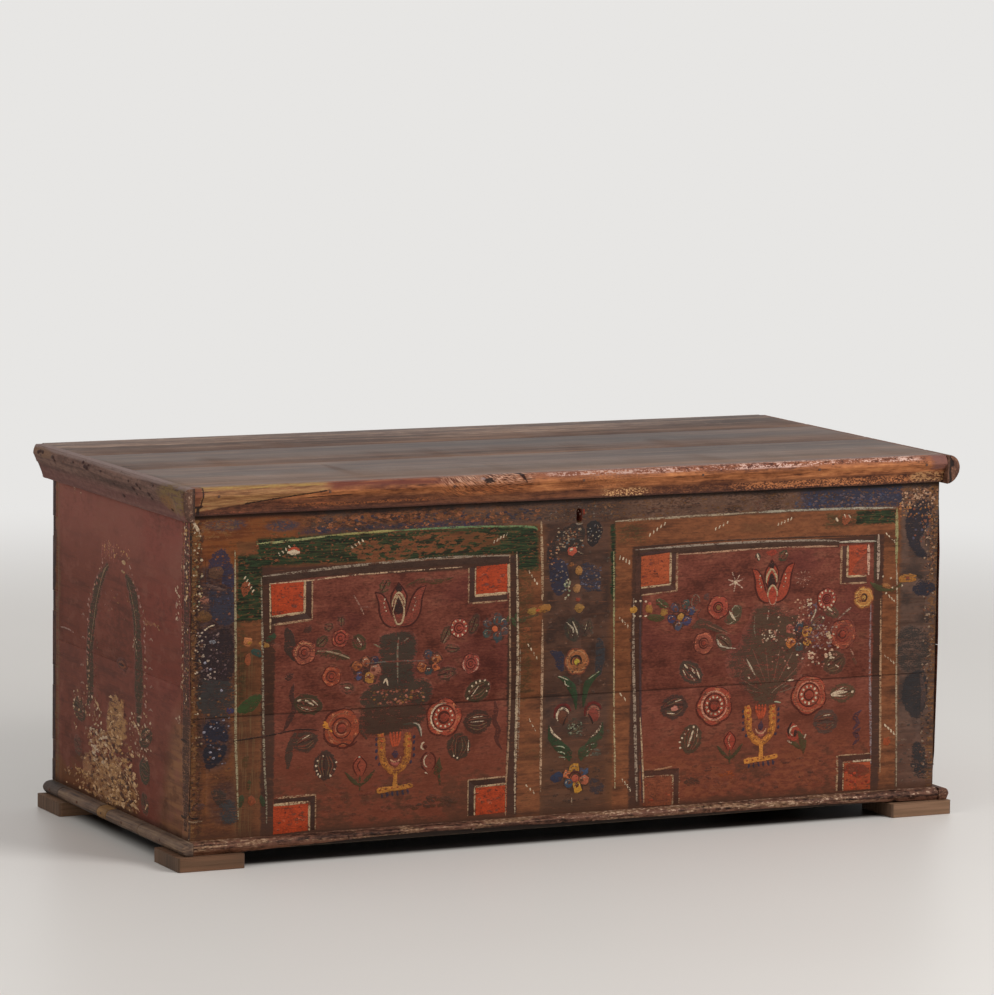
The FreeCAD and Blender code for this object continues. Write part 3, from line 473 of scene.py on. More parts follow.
def end_ground(finish):
    """The ends' paint without its tree: colour, how bare it is, fine streaks, height and varnish.

    Its lumps run THROUGH the board in mm, so that the paint doesn't change with depth."""
    y, z = finish.y, finish.z
    streak = finish.cloud((THROUGH, 150, 14), 21, 4.0, 0.6)
    fine = finish.cloud((THROUGH, 26, 1.6), 22, 3.0, 0.6)
    broad = finish.cloud((THROUGH, 220, 120), 23, 1.0)
    colour = finish.mix("#61382e", "#6f4036", broad.rise(0.3, 0.7))
    colour = finish.mix(colour, "#4d2e26", streak.rise(0.48, 0.66) * 0.65)
    colour = finish.mix(colour, "#7a4d3e", fine.rise(0.52, 0.68) * 0.45)
    low_brown = (y + (z - 40) * 0.33 + (streak - 0.5) * 60).rise(-150, -196) * z.rise(280, 170)
    colour = finish.mix(colour, finish.mix("#654a3a", "#826146", streak.rise(0.4, 0.6)), low_brown * 0.85)
    colour = finish.mix(colour, "#82544c", z.rise(360, 500) * 0.75)
    part = y.rise(-60, -130) * broad.rise(0.4, 0.6) * (1 - low_brown) * 0.35
    colour = finish.mix(colour, "#74352f", part)
    blotch = finish.cloud((THROUGH, 40, 26), 27, 4.0, 0.62)
    colour = finish.mix(colour, "#7c5348", blotch.rise(0.52, 0.64) * 0.4)
    colour = finish.mix(colour, "#44281f", blotch.rise(0.47, 0.36) * (0.16 + z.rise(300, 180) * 0.3))
    part = (z + (blotch - 0.5) * 90).rise(92, 64) * y.rise(-110, -70) * 0.6
    colour = finish.mix(colour, "#6c4a2c", part)
    flake = finish.cloud((THROUGH, 13, 7), 24, 4.0, 0.68)
    reach = ((y - 22) / 118) ** 2 + ((z - 76) / 50) ** 2
    upper = ((y + 4) / 42) ** 2 + ((z - 172) / 46) ** 2
    scraped = (1.2 - reach.least(upper)).held()
    rough = finish.cloud((THROUGH, 24, 15), 28, 4.0, 0.66)
    bare = (rough * 0.6 + flake * 0.4 + scraped * 0.16).rise(0.56, 0.66) * scraped.rise(0.0, 0.3)
    tan = finish.ramp(fine * 0.3 + flake * 0.4 + rough * 0.3,
            [(0.4, "#4a3124"), (0.48, "#85644a"), (0.56, "#9c7b56"), (0.64, "#c0a27c")])
    colour = finish.mix(colour, tan, bare * 0.92)
    part = (flake * 0.6 + rough * 0.4).rise(0.49, 0.41) * scraped.rise(0.1, 0.5) * 0.75
    colour = finish.mix(colour, "#2c1b14", part)
    specks = finish.cloud((THROUGH, 5, 3), 25, 2.0, 0.6).rise(0.73, 0.77) * 0.6
    colour = finish.mix(colour, "#94806c", specks)
    grime = (flake * 0.5 + broad * 0.5).rise(0.52, 0.7) * 0.4
    colour = finish.mix(colour, "#32251f", grime)
    ragged = finish.cloud((THROUGH, 30, 26), 26, 3.0, 0.6)
    rear = (y + (ragged - 0.5) * 22).rise(250, 257)
    colour = finish.mix(colour, finish.mix("#1f191d", "#43342f", ragged.rise(0.45, 0.62)), rear * 0.9)
    olive = (y + (ragged - 0.5) * 22).rise(234, 243) * (1 - rear) * fine.rise(0.4, 0.55)
    colour = finish.mix(colour, "#675a41", olive * 0.6)
    colour = finish.mix(colour, "#30251f", z.rise(52, 42) * 0.6)
    height = streak * 0.4 + fine * 0.4 - bare * 0.45 - flake * 0.15 + scraped * (rough + flake) * 0.8
    return colour, bare, fine, height, END_VARNISH


def end_paint_finish(name):
    finish = Finish(name)
    colour, bare, fine, height, varnish = end_ground(finish)
    colour = finish.under(colour, varnish)
    return finish.surface(colour, 0.56 + fine * 0.2 + bare * 0.15, height, depth=0.8, shine=0.12)


end_paint = end_paint_finish("painted_end_boards")


def pick_end(middle, normal, kind):
    """0 the painted outside, 1 the bare inside, 2 the back's end grain, 3 the front's, 4 a corner."""
    if kind == ON_CORNER and middle.y < 0:
        return 4
    if abs(normal.y) > FACING:
        return 3 if middle.y < body_front_y + SKIN_DEPTH else 2
    outside = min(abs(middle.x - body_low_x), abs(middle.x - body_high_x)) < SKIN_DEPTH
    return 0 if outside else 1


def at_chest_corner(middle):
    """An upright edge where a long wall meets an end wall on the outside."""
    beside = min(abs(middle.x - body_low_x), abs(middle.x - body_high_x)) < 0.1 * MM
    before = min(abs(middle.y - body_front_y), abs(middle.y - body_back_y)) < 0.1 * MM
    return beside and before


# Back wall: two boards of the same pine, grey outside and brown inside. The tails
# that show on the ends wear the ends' paint.
def pick_back(middle, normal, kind):
    """0 inside, 1 outside, 2 on end grain."""
    if abs(normal.x) > FACING:
        return 2
    return 1 if middle.y > body_back_y - SKIN_DEPTH else 0


for node in ("back_lower_board", "back_upper_board"):
    board = worn_copy(node, "pine_" + node, "X", [inner_pine_x, grey_pine_x, end_paint], pick_back, seed=3)
    stand_for(board, node, "body")


# Front wall: two boards painted with two framed panels between plain zones. The
# ground is a brown glaze over red, rubbed and flaked, with a crack at the seam.
LEFT_FIELD = (-491.0, -113.0, 2.0, 379.0)
RIGHT_FIELD = (112.0, 511.0, 2.0, 387.0)
LEFT_FRAME = (-512, -96, -20, 396)
RIGHT_FRAME = (93, 527, -20, 399)
LEFT_BAND = (-551, -57, -20, 437)
RIGHT_BAND = (66, 555, -20, 441)
MIDDLE_STRIP = (-57, 61, -20, 520)
GREEN_REMAINS = [
    (-552, -510, 318, 418, 7, 1.0), (-104, -62, 372, 430, 9, 1.0), (476, 547, 416, 438, 4, 1.0),
    (57, 65, 322, 438, 3, 1.0), (424, 480, 414, 436, 8, 0.62), (67, 116, 404, 438, 14, 0.5),
    (-97, -72, 190, 380, 8, 0.45), (-551, -536, 190, 330, 8, 0.5)]
FRONT_VARNISH = "#f0e2d6"
SEAM_LEVEL = (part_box("front_upper_board")[0].z - wall_bottom) / MM
WALL_FOOT = wall_bottom / MM
WALL_MIDDLE = (body_low_x + body_high_x) / 2 / MM


def patch(x, z, left, right, low, high, soft=2.0):
    """1 inside an upright rectangle on the front, 0 outside it."""
    across = abs(x - (left + right) / 2) - (right - left) / 2
    up = abs(z - (low + high) / 2) - (high - low) / 2
    return (0.5 - across.most(up) / soft).held()


def oval(x, z, middle_x, middle_z, half_x, half_z, soft=0.25):
    """1 inside an upright oval, falling to 0 at its edge."""
    reach = ((x - middle_x) / half_x) ** 2 + ((z - middle_z) / half_z) ** 2
    return reach.rise(1 + soft, 1 - soft)


def front_ground(finish):
    """The front's paint without its flowers: colour, how bare it is, fine streaks, height and varnish."""
    streak = finish.cloud((170, THROUGH, 9), 31, 4.0, 0.62)
    fine = finish.cloud((30, THROUGH, 1.5), 32, 3.0, 0.6)
    broad = finish.cloud((190, THROUGH, 90), 33, 1.0)
    flake = finish.cloud((15, THROUGH, 6), 34, 4.0, 0.66)
    chip = finish.cloud((5, THROUGH, 2.4), 35, 2.0, 0.6)
    blotch = finish.cloud((48, THROUGH, 30), 36, 4.0, 0.6)
    sway = (broad - 0.5) * 6 + (flake - 0.5) * 12
    x = finish.x - WALL_MIDDLE + sway
    z = finish.z - WALL_FOOT + (streak - 0.5) * 8
    colour = finish.mix("#5f4330", "#6c472e", broad.rise(0.35, 0.65))
    # plain zones: the left end, the middle strip and the right end
    middle_strip = patch(x, z, *MIDDLE_STRIP, 20) * (0.6 + (z + (blotch - 0.5) * 90).rise(70, 150) * 0.4)
    tone = finish.mix("#352926", "#533d34", blotch.rise(0.4, 0.6))
    colour = finish.mix(colour, tone, middle_strip * 0.92)
    left_end = x.rise(-550, -560)
    tone = finish.mix("#482c1f", "#754a2d", (streak * 0.4 + blotch * 0.3 + flake * 0.3).rise(0.4, 0.58))
    colour = finish.mix(colour, tone, left_end * 0.92)
    blots = oval(x, z, -588, 306, 36, 124, 0.4).most(oval(x, z, -586, 148, 28, 44, 0.5))
    blots = blots.most(oval(x, z, -568, 52, 26, 30, 0.7) * 0.7)
    blot_colour = finish.mix("#221d24", "#43373a", (chip * 0.5 + flake * 0.5).rise(0.42, 0.58))
    colour = finish.mix(colour, blot_colour, blots * (flake * 0.5 + blotch * 0.5).rise(0.38, 0.48) * 0.85)
    right_end = x.rise(554, 562)
    tone = finish.mix("#383130", "#5f4d46", blotch.rise(0.38, 0.62))
    colour = finish.mix(colour, tone, right_end * 0.92)
    colour = finish.mix(colour, "#6e4a3b", right_end * z.rise(130, 50) * 0.35)
    # the strip above the panels turns from blue and orange to grey-brown and back to blue
    top_strip = z.rise(439, 446)
    tone = finish.mix("#40342f", "#5d483f", (streak * 0.5 + chip * 0.5).rise(0.4, 0.58))
    colour = finish.mix(colour, tone, top_strip * 0.85)
    rusty = x.rise(-90, -160) * z.rise(449, 455) * (blotch * 0.5 + flake * 0.3 + chip * 0.2).rise(0.45, 0.51)
    colour = finish.mix(colour, finish.mix("#4c2e20", "#7d4d30", flake.rise(0.42, 0.56)), rusty * 0.8)
    blue_left = x.rise(-120, -180) * x.rise(-540, -480) * z.rise(441, 444) * z.rise(457, 450)
    blue_left = blue_left * (streak * 0.3 + chip * 0.4 + flake * 0.3).rise(0.46, 0.52)
    colour = finish.mix(colour, "#2b2c46", blue_left * 0.85)
    part = top_strip * (blotch * 0.4 + chip * 0.6).rise(0.51, 0.57) * 0.75
    colour = finish.mix(colour, "#2a1f1c", part)
    part = top_strip * x.rise(60, 120) * (chip * 0.6 + streak * 0.4).rise(0.49, 0.43) * 0.5
    colour = finish.mix(colour, "#7d6152", part)
    plain_left = x.rise(-430, -470) * z.rise(396, 410)
    tone = finish.mix("#5f341c", "#7c4b28", (streak * 0.5 + blotch * 0.5).rise(0.4, 0.58))
    colour = finish.mix(colour, tone, plain_left * 0.9)
    dusky = oval(x, z, -570, 462, 32, 9, 0.6).most(oval(x, z, -480, 458, 26, 9, 0.6))
    colour = finish.mix(colour, "#383a48", dusky * (chip * 0.5 + flake * 0.5).rise(0.42, 0.5) * 0.9)
    blue_right = x.rise(366, 396) * x.rise(560, 556) * top_strip * (chip * 0.5 + streak * 0.5).rise(0.56, 0.5)
    colour = finish.mix(colour, "#2c3145", blue_right * 0.92)
    corner_dirt = (x.rise(-602, -610).most(x.rise(606, 614) * 0.6)
                   * (flake * 0.5 + chip * 0.5).rise(0.42, 0.52))
    colour = finish.mix(colour, "#33231b", corner_dirt * 0.75)
    # bands round the panels
    band = patch(x, z, *LEFT_BAND, 3).most(patch(x, z, *RIGHT_BAND, 3))
    band_colour = finish.ramp(streak * 0.4 + flake * 0.3 + blotch * 0.3,
            [(0.38, "#412a1e"), (0.48, "#69412b"), (0.56, "#865538"), (0.65, "#9c6a46")])
    part = (flake * 0.5 + broad * 0.5).rise(0.5, 0.6) * x.rise(0, -60) * 0.6
    band_colour = finish.mix(band_colour, "#513d26", part)
    band_colour = finish.mix(band_colour, "#3c2a1c", x.rise(-500, -530) * z.rise(330, 250) * 0.55)
    scored = finish.cloud((1.6, THROUGH, 46), 37, 3.0, 0.6)
    part = scored.rise(0.54, 0.62) * x.rise(-505, -525) * z.rise(330, 250) * 0.5
    band_colour = finish.mix(band_colour, "#6c5a3e", part)
    colour = finish.mix(colour, band_colour, band * 0.9)
    bald = oval(x, z, -215, 421, 92, 15).most(oval(x, z, -318, 409, 42, 13))
    bald = bald.most(oval(x, z, -345, 420, 26, 10))
    green = patch(x, z, -519, -66, 398, 441, 5) * (1 - bald * (flake * 0.7 + blotch * 0.3).rise(0.55, 0.49))
    for left, right_side, low, high, soft, share in GREEN_REMAINS:
        green = green.most(patch(x, z, left, right_side, low, high, soft) * share)
    green = green * (flake * 0.5 + chip * 0.4 + green * 0.1 + fine * 0.1).rise(0.51, 0.56)
    colour = finish.mix(colour, finish.mix("#101c14", "#28422a", fine.rise(0.4, 0.62)), green * 0.95)
    # dark frames, then the red fields inside them
    frames = patch(x, z, *LEFT_FRAME, 3).most(patch(x, z, *RIGHT_FRAME, 3))
    colour = finish.mix(colour, "#3b2a25", frames * 0.88)
    field = patch(x, z, *LEFT_FIELD, 2.5).most(patch(x, z, *RIGHT_FIELD, 2.5))
    red_share = streak * 0.12 + blotch * 0.5 + fine * 0.13 + chip * 0.25
    red = finish.ramp(red_share, [(0.4, "#4c2821"), (0.47, "#65372d"), (0.54, "#764338"), (0.61, "#8b5646")])
    red = finish.coats(
        red,
        ("#5f3030", broad.rise(0.52, 0.62) * z.rise(150, 300) * 0.4),
        ("#6e3a26", z.rise(230, 40) * 0.6),
        ("#3e231b", (flake * 0.6 + blotch * 0.4).rise(0.53, 0.62) * 0.5))
    low_field = z.rise(110, 50) * (1 - x.rise(-100, 50) * 0.2)
    part = low_field * (blotch * 0.5 + broad * 0.2 + flake * 0.3).rise(0.48, 0.55) * 0.65
    red = finish.mix(red, "#4a3123", part)
    part = low_field * x.rise(-50, 50) * (flake * 0.6 + blotch * 0.4).rise(0.49, 0.43) * 0.5
    red = finish.mix(red, "#8a5238", part)
    colour = finish.mix(colour, red, field * 0.97)
    # flakes, rubbed fibres, dirt
    worn_zone = top_strip * 0.3 + left_end * 0.2 + right_end * 0.1 + band * 0.05 + 0.1
    worn_zone = worn_zone + x.rise(-604, -622) * 0.45 + x.rise(598, 614) * 0.4 - field * 0.08
    bare = (flake * 0.5 + chip * 0.5 + worn_zone * 0.3).rise(0.66, 0.73)
    wood = finish.ramp(fine, [(0.3, "#5b3f29"), (0.5, "#805b3a"), (0.72, "#a08058")])
    colour = finish.mix(colour, wood, bare * 0.7)
    part = (fine * 0.7 + chip * 0.3).rise(0.55, 0.68) * (0.45 - field * 0.2)
    colour = finish.mix(colour, "#8e5a40", part)
    part = (streak * 0.5 + blotch * 0.5).rise(0.52, 0.64) * (0.5 - field * 0.3)
    colour = finish.mix(colour, "#2b1e19", part)
    part = (flake * 0.4 + fine * 0.3 + chip * 0.3).rise(0.54, 0.62) * (0.5 - field * 0.3)
    colour = finish.mix(colour, "#1d1512", part)
    # the shadow line under the lid, the seam's rim and the foot
    colour = finish.mix(colour, "#1b1513", z.rise(468, 474) * 0.85)
    seam = abs(finish.z - (WALL_FOOT + SEAM_LEVEL)).rise(2.2, 0.6)
    colour = finish.mix(colour, "#241813", seam * 0.5)
    colour = finish.mix(colour, "#4a3226", z.rise(14, 2) * 0.6)
    height = streak * 0.35 + fine * 0.35 - bare * 0.4
    return colour, bare, fine, height, FRONT_VARNISH


def front_paint_finish(name):
    finish = Finish(name)
    colour, bare, fine, height, varnish = front_ground(finish)
    colour = finish.under(colour, varnish)
    return finish.surface(colour, 0.52 + fine * 0.2 + bare * 0.15, height, depth=0.7, shine=0.12)


front_paint = front_paint_finish("painted_front_boards")


def corner_finish(name):
    """The upright corners, rubbed through brown paint to the wood in chips."""
    finish = Finish(name)
    ragged = finish.cloud((8, 8, 16), 43, 4.0, 0.65)
    chip = finish.cloud((3, 3, 5), 44, 3.0, 0.6)
    colour = finish.mix("#211712", "#4a3022", ragged.rise(0.42, 0.6))
    colour = finish.mix(colour, "#7a5434", (ragged * 0.4 + chip * 0.6).rise(0.56, 0.62) * 0.7)
    colour = finish.mix(colour, "#b5a385", chip.rise(0.66, 0.71) * 0.75)
    return finish.surface(colour, 0.6 + chip * 0.2, ragged + chip, depth=0.9, shine=0.3)


corner_wood = corner_finish("rubbed_corner_wood")


def pick_front(middle, normal, kind):
    """0 the painted face, 1 the bare inside, 2 end grain, 3 a corner of the chest."""
    if kind == ON_CORNER:
        return 3
    if abs(normal.x) > FACING:
        return 2
    return 0 if middle.y < body_front_y + SKIN_DEPTH else 1


for node in ("front_lower_board", "front_upper_board"):
    finishes = [front_paint, inner_pine_x, end_paint, corner_wood]
    board = worn_copy(
        node, "painted_" + node, "X", finishes, pick_front, arris=0.6 * MM, seed=9, corner=at_chest_corner)
    stand_for(board, node, "body")

for side in ("left", "right"):
    for half in ("lower", "upper"):
        node = side + "_end_" + half + "_board"
        finishes = [end_paint, inner_pine_y, pine_end_grain, front_paint, corner_wood]
        board = worn_copy(
            node, "painted_" + node, "Y", finishes, pick_end, arris=0.6 * MM, seed=9, corner=at_chest_corner)
        stand_for(board, node, "body")


# Painted ornament on the front: roses, tulips, urns and lines laid over the glaze
# with a full brush. Each stroke is a low mound of paint that thins out to a rim.
PAINT_RIM = 0.02
PAINT_STEP = 0.06
STROKE_STEP = 0.0023
STROKE_ROUND = 25
STROKE_HALF = 0.45
UNEVEN_HAND = (0.82, 1.18)
SEAM_HALF_GAP = 0.35
SEAM_STRIP = 0.34
CREAM = "#ac997c"
BONE = "#bfb29c"
OLD_CREAM = "#9c8469"
DARK = "#352620"
FADED = "#442d25"
UMBER = "#3a2f27"
WINE = "#44190f"
BRICK = "#84392a"
ORANGE = "#a03d1c"
YELLOW = "#bd8d33"
LEAF = "#26402a"
NAVY = "#25293c"


def curve_through(points, closed, steps=4):
    """More points on a soft curve through these, which may carry a width."""
    count = len(points)
    made = []
    for place in range(count if closed else count - 1):
        near = [points[(place + shift) % count] if closed else points[min(max(place + shift, 0), count - 1)]
                for shift in (-1, 0, 1, 2)]
        for step in range(steps):
            t = step / steps
            weights = (-t + 2 * t ** 2 - t ** 3, 2 - 5 * t ** 2 + 3 * t ** 3,
                       t + 4 * t ** 2 - 3 * t ** 3, t ** 3 - t ** 2)
            made.append(tuple(
                sum(weight * point[axis] for weight, point in zip(weights, near)) / 2
                for axis in range(len(points[0]))))
    if not closed:
        made.append(tuple(points[-1]))
    return made


def round_from(x, z, reach, angle):
    """The point this far from a place, at an angle in radians."""
    return x + reach * math.cos(angle), z + reach * math.sin(angle)


def leaning(x, z, far, wide, lean):
    """The point far along a line that leans from a place, and wide to the line's left."""
    return (x + far * math.cos(lean) - wide * math.sin(lean),
            z + far * math.sin(lean) + wide * math.cos(lean))


def arc_points(x, z, radius, start, end, squeeze=1.0, count=None):
    """Points round an arc, its angles in degrees."""
    count = count or max(4, int(abs(end - start) / 18))
    angles = [math.radians(start + (end - start) * step / count) for step in range(count + 1)]
    return [(x + radius * math.cos(angle), z + radius * math.sin(angle) * squeeze) for angle in angles]


def beside(points, reach, closed=True):
    """The points moved to their left by reach."""
    count = len(points)
    moved = []
    for place, point in enumerate(points):
        before = points[(place - 1) % count] if closed else points[max(place - 1, 0)]
        after = points[(place + 1) % count] if closed else points[min(place + 1, count - 1)]
        run, climb = after[0] - before[0], after[1] - before[1]
        length = math.hypot(run, climb) or 1.0
        far = reach[place] if isinstance(reach, list) else reach
        moved.append((point[0] - climb / length * far, point[1] + run / length * far))
    return moved


def meet(spans, others):
    """Whether two strokes' upright rectangles touch."""
    return all(one[0] <= other[1] and one[1] >= other[0] for one, other in zip(spans, others))


class Brush:
    """Lays strokes on a wall, in mm across and above its foot.

    seat turns (across, up, proud) into a place. In each stroke code is its colour, layer runs from 0,
    the lowest, to 7, hold says how much of the paint is left, from 0 to 1, and rim is its sloping edge."""

    def __init__(self, name, seat, outward, seed):
        self.name = name
        self.seat = seat
        self.outward = Vector(outward)
        self.shake = random.Random(seed)
        self.strokes = 0
        self.laid = {}
        self.skin = bmesh.new()
        self.paint = self.skin.verts.layers.float_vector.new("paint")
        self.hold = self.skin.verts.layers.float.new("hold")

    def ring(self, points, proud, code, hold):
        made = []
        for across, up in points:
            spot = self.skin.verts.new(self.seat(across, up, proud))
            spot[self.paint] = linear(code)
            spot[self.hold] = hold
            made.append(spot)
        return made

    def free_level(self, outline, layer):
        """The next level of a layer on which no stroke lies yet at this place."""
        spans = [(min(values), max(values)) for values in zip(*outline)]
        for turn in range(self.strokes, self.strokes + STROKE_ROUND):
            laid = self.laid.setdefault((layer, turn % STROKE_ROUND), [])
            if not any(meet(spans, other) for other in laid):
                break
        laid.append(spans)
        return turn % STROKE_ROUND

    def mound(self, outline, faces, code, layer, hold, rim_width):
        """One stroke: its faces, by their numbers in the outline, and a rim that slopes to the wood.

        Each lies a hair above the one before, so that no two share a level."""
        self.strokes += 1
        level = self.free_level(outline, layer)
        proud = 2 * PAINT_STEP + layer * PAINT_STEP + level * STROKE_STEP
        area = sum(a[0] * b[1] - b[0] * a[1] for a, b in zip(outline, outline[1:] + outline[:1]))
        outside = beside(outline, -rim_width if area > 0 else rim_width)
        inner = self.ring(outline, proud, code, hold)
        outer = self.ring(outside, PAINT_RIM, code, 0.0)
        count = len(outline)
        for place in range(count):
            after = (place + 1) % count
            self.skin.faces.new((inner[place], inner[after], outer[after], outer[place]))
        for face in faces:
            self.skin.faces.new([inner[number] for number in face])

    def fill(self, points, code, layer=1, hold=1.0, rim=1.6, shaky=0.9, curved=True):
        """A patch of paint inside an outline."""
        if curved:
            points = curve_through(points, closed=True)
        wander = self.shake.gauss
        points = [(across + wander(0, shaky / 2), up + wander(0, shaky / 2)) for across, up in points]
        flat = [Vector((across, up, 0)) for across, up in points]
        self.mound(points, tessellate_polygon([flat]), code, layer, hold, rim)

    def line(self, points, width, code, layer=2, hold=0.85, rim=0.7, ends=0.35):
        """A stroke along points. width is one size or one for each point, ends its share at the tips."""
        widths = width if isinstance(width, (list, tuple)) else [width] * len(points)
        points = [(*point, wide) for point, wide in zip(points, widths)]
        if len(points) > 2:
            points = curve_through(points, closed=False)
        else:
            points = [tuple(a + (b - a) * step / 6 for a, b in zip(one, two)) for one,
                      two in zip(points, points[1:]) for step in range(6)] + [points[-1]]
        count = len(points)
        halves = []
        for place, point in enumerate(points):
            tip = min(1.0, ends + 3.0 * min(place, count - 1 - place) / (count - 1))
            halves.append(point[2] * STROKE_HALF * tip * self.shake.uniform(*UNEVEN_HAND))
        middle = [point[:2] for point in points]
        left = beside(middle, halves, closed=False)
        right_side = beside(middle, [-half for half in halves], closed=False)
        outline = left + right_side[::-1]
        last = 2 * count - 1
        faces = [(place, place + 1, last - place - 1, last - place) for place in range(count - 1)]
        self.mound(outline, faces, code, layer, hold, rim)

    def dab(self, across, up, length, width, angle, code, layer=3, hold=0.9, rim=0.7):
        """One touch of the brush: a small oval."""
        lean = math.radians(angle)
        points = []
        for step in range(8):
            bend = math.pi * step / 4
            far, wide = math.cos(bend) * length / 2, math.sin(bend) * width / 2
            points.append(leaning(across, up, far, wide, lean))
        self.fill(points, code, layer, hold, rim, shaky=0.14 * width, curved=False)

    def crumbs(self, left, right_end, low, high, codes, count, size=(1.0, 2.6), layer=4, hold=0.85, flat=1.5):
        """Small chips scattered over a patch."""
        for _ in range(count):
            across, up = self.shake.uniform(left, right_end), self.shake.uniform(low, high)
            wide = self.shake.uniform(*size)
            angle = self.shake.uniform(-25, 25)
            self.dab(across, up, wide * flat, wide, angle, self.shake.choice(codes), layer, hold)

    def dashes(self, first, last, count, length=5.4, width=1.7, angle=-60, hold=0.8):
        """A row of short comma strokes from one place to another."""
        for number in range(count):
            share = number / max(1, count - 1)
            across = first[0] + (last[0] - first[0]) * share
            up = first[1] + (last[1] - first[1]) * share
            self.dab(across, up, length, width, angle + self.shake.uniform(-8, 8), BONE, 3, hold)

    def done(self, finish, slot_name, seams=(), body="body"):
        """The strokes as one piece, parted where a seam between boards crosses them."""
        level_axis = Vector((0, 0, 1))
        for seam in seams:
            for height in (seam - SEAM_HALF_GAP, seam + SEAM_HALF_GAP):
                geometry = self.skin.verts[:] + self.skin.edges[:] + self.skin.faces[:]
                point = Vector((0, 0, wall_bottom + height * MM))
                bmesh.ops.bisect_plane(self.skin, geom=geometry, dist=1e-8,
                        plane_co=point, plane_no=level_axis)
            gone = [face for face in self.skin.faces
                    if abs(face.calc_center_median().z - wall_bottom - seam * MM) < SEAM_STRIP * MM]
            bmesh.ops.delete(self.skin, geom=gone, context="FACES")
        self.skin.normal_update()
        for face in self.skin.faces:
            if face.normal.dot(self.outward) < 0:
                face.normal_flip()
        piece = finished(self.skin, self.name, [finish])
        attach(piece, body)
        return piece


def laid_paint_finish(name, ground):
    """Thick old paint that has flaked off here and there down to the ground's colour."""
    finish = Finish(name)
    colour, _, fine, height, varnish = ground(finish)
    laid = finish.node("Attribute", {"attribute_name": "paint"}, {}, "Color")
    hold = finish.node("Attribute", {"attribute_name": "hold"}, {}, "Fac")
    lumps = finish.cloud((11, 11, 5), 51, 3.0, 0.62)
    grains = finish.cloud((2.8, 2.8, 1.5), 52, 3.0, 0.62)
    kept = (hold * 0.95 + (lumps - 0.5) * 1.6 + (grains - 0.5) * 2.3 + (fine - 0.5) * 1.6).rise(0.38, 0.6)
    shade = (1.0 + (lumps - 0.5) * 2.0 + (grains - 0.5) * 1.7 + (fine - 0.5) * 0.8).most(0.45).least(1.4)
    laid = finish.mix(finish.shade(laid, shade), "#20140f", (lumps * 0.4 + fine * 0.6).rise(0.5, 0.62) * 0.4)
    colour = finish.under(finish.mix(colour, laid, kept * (0.75 + grains * 0.3).held()), varnish)
    height = height + kept * 0.35 + grains * 0.3
    return finish.surface(colour, 0.5 + fine * 0.2, height, depth=0.7, shine=0.14)


front_strokes = laid_paint_finish("front_ornament_paint", front_ground)


def front_seat(across, up, proud):
    return Vector(((WALL_MIDDLE + across) * MM, body_front_y - proud * MM, (WALL_FOOT + up) * MM))


def front_brush(name, seed):
    return Brush(name, front_seat, (0, -1, 0), seed)


def corner_square(brush, left, right_side, low, high, side, end, lean=0.0, red=ORANGE, hold=1.0,
                  inner=(3.4, 3.4, 0.9), outer=(2.4, 2.4, 0.7), dark=10.0, shadow=DARK):
    """An orange square in a panel's corner. An L of dark and two cream lines frames its two free edges.

    side is 1 where the L stands on the right and -1 on the left, end is 1 above and -1 below. inner and
    outer give the widths of their upright and level line and how well they have held."""
    def at(across, up):
        return across, up + lean * (across - left)

    brush.fill([at(left, low), at(right_side, low), at(right_side, high), at(left, high)], red, 1,
               hold, 1.2, curved=False)
    brush.crumbs(left + 2, right_side - 2, low + 2, high - 2, ["#7c3420", "#8c3a22", "#b4583c"], 16,
                 (1.6, 4.6), 1, 0.5, 2.2)
    free, shut = (right_side, left) if side > 0 else (left, right_side)
    edge, base = (high, low) if end > 0 else (low, high)
    near, far = free + side * 2, free + side * (4 + dark)
    level_near, level_far = edge + end * 2, edge + end * (4 + dark)
    brush.fill([at(near, base), at(near, level_near), at(far, level_far), at(far, base)], shadow,
               0, 1.0, 1.0, curved=False)
    brush.fill([at(shut, level_near), at(near, level_near), at(far, level_far), at(shut, level_far)], shadow,
               0, 1.0, 1.0, curved=False)
    upright_width, level_width, kept = inner
    brush.line([at(near, base), at(near, level_near)], upright_width, CREAM, 3, kept * 0.82, ends=0.8)
    brush.line([at(shut, level_near), at(near, level_near)], level_width, CREAM, 4, kept * 0.82, ends=0.8)
    upright_width, level_width, kept = outer
    brush.line([at(far, base), at(far, level_far)], upright_width, OLD_CREAM, 3, kept * 0.85, ends=0.7)
    brush.line([at(shut, level_far), at(far, level_far)], level_width, OLD_CREAM, 4, kept * 0.85, ends=0.7)


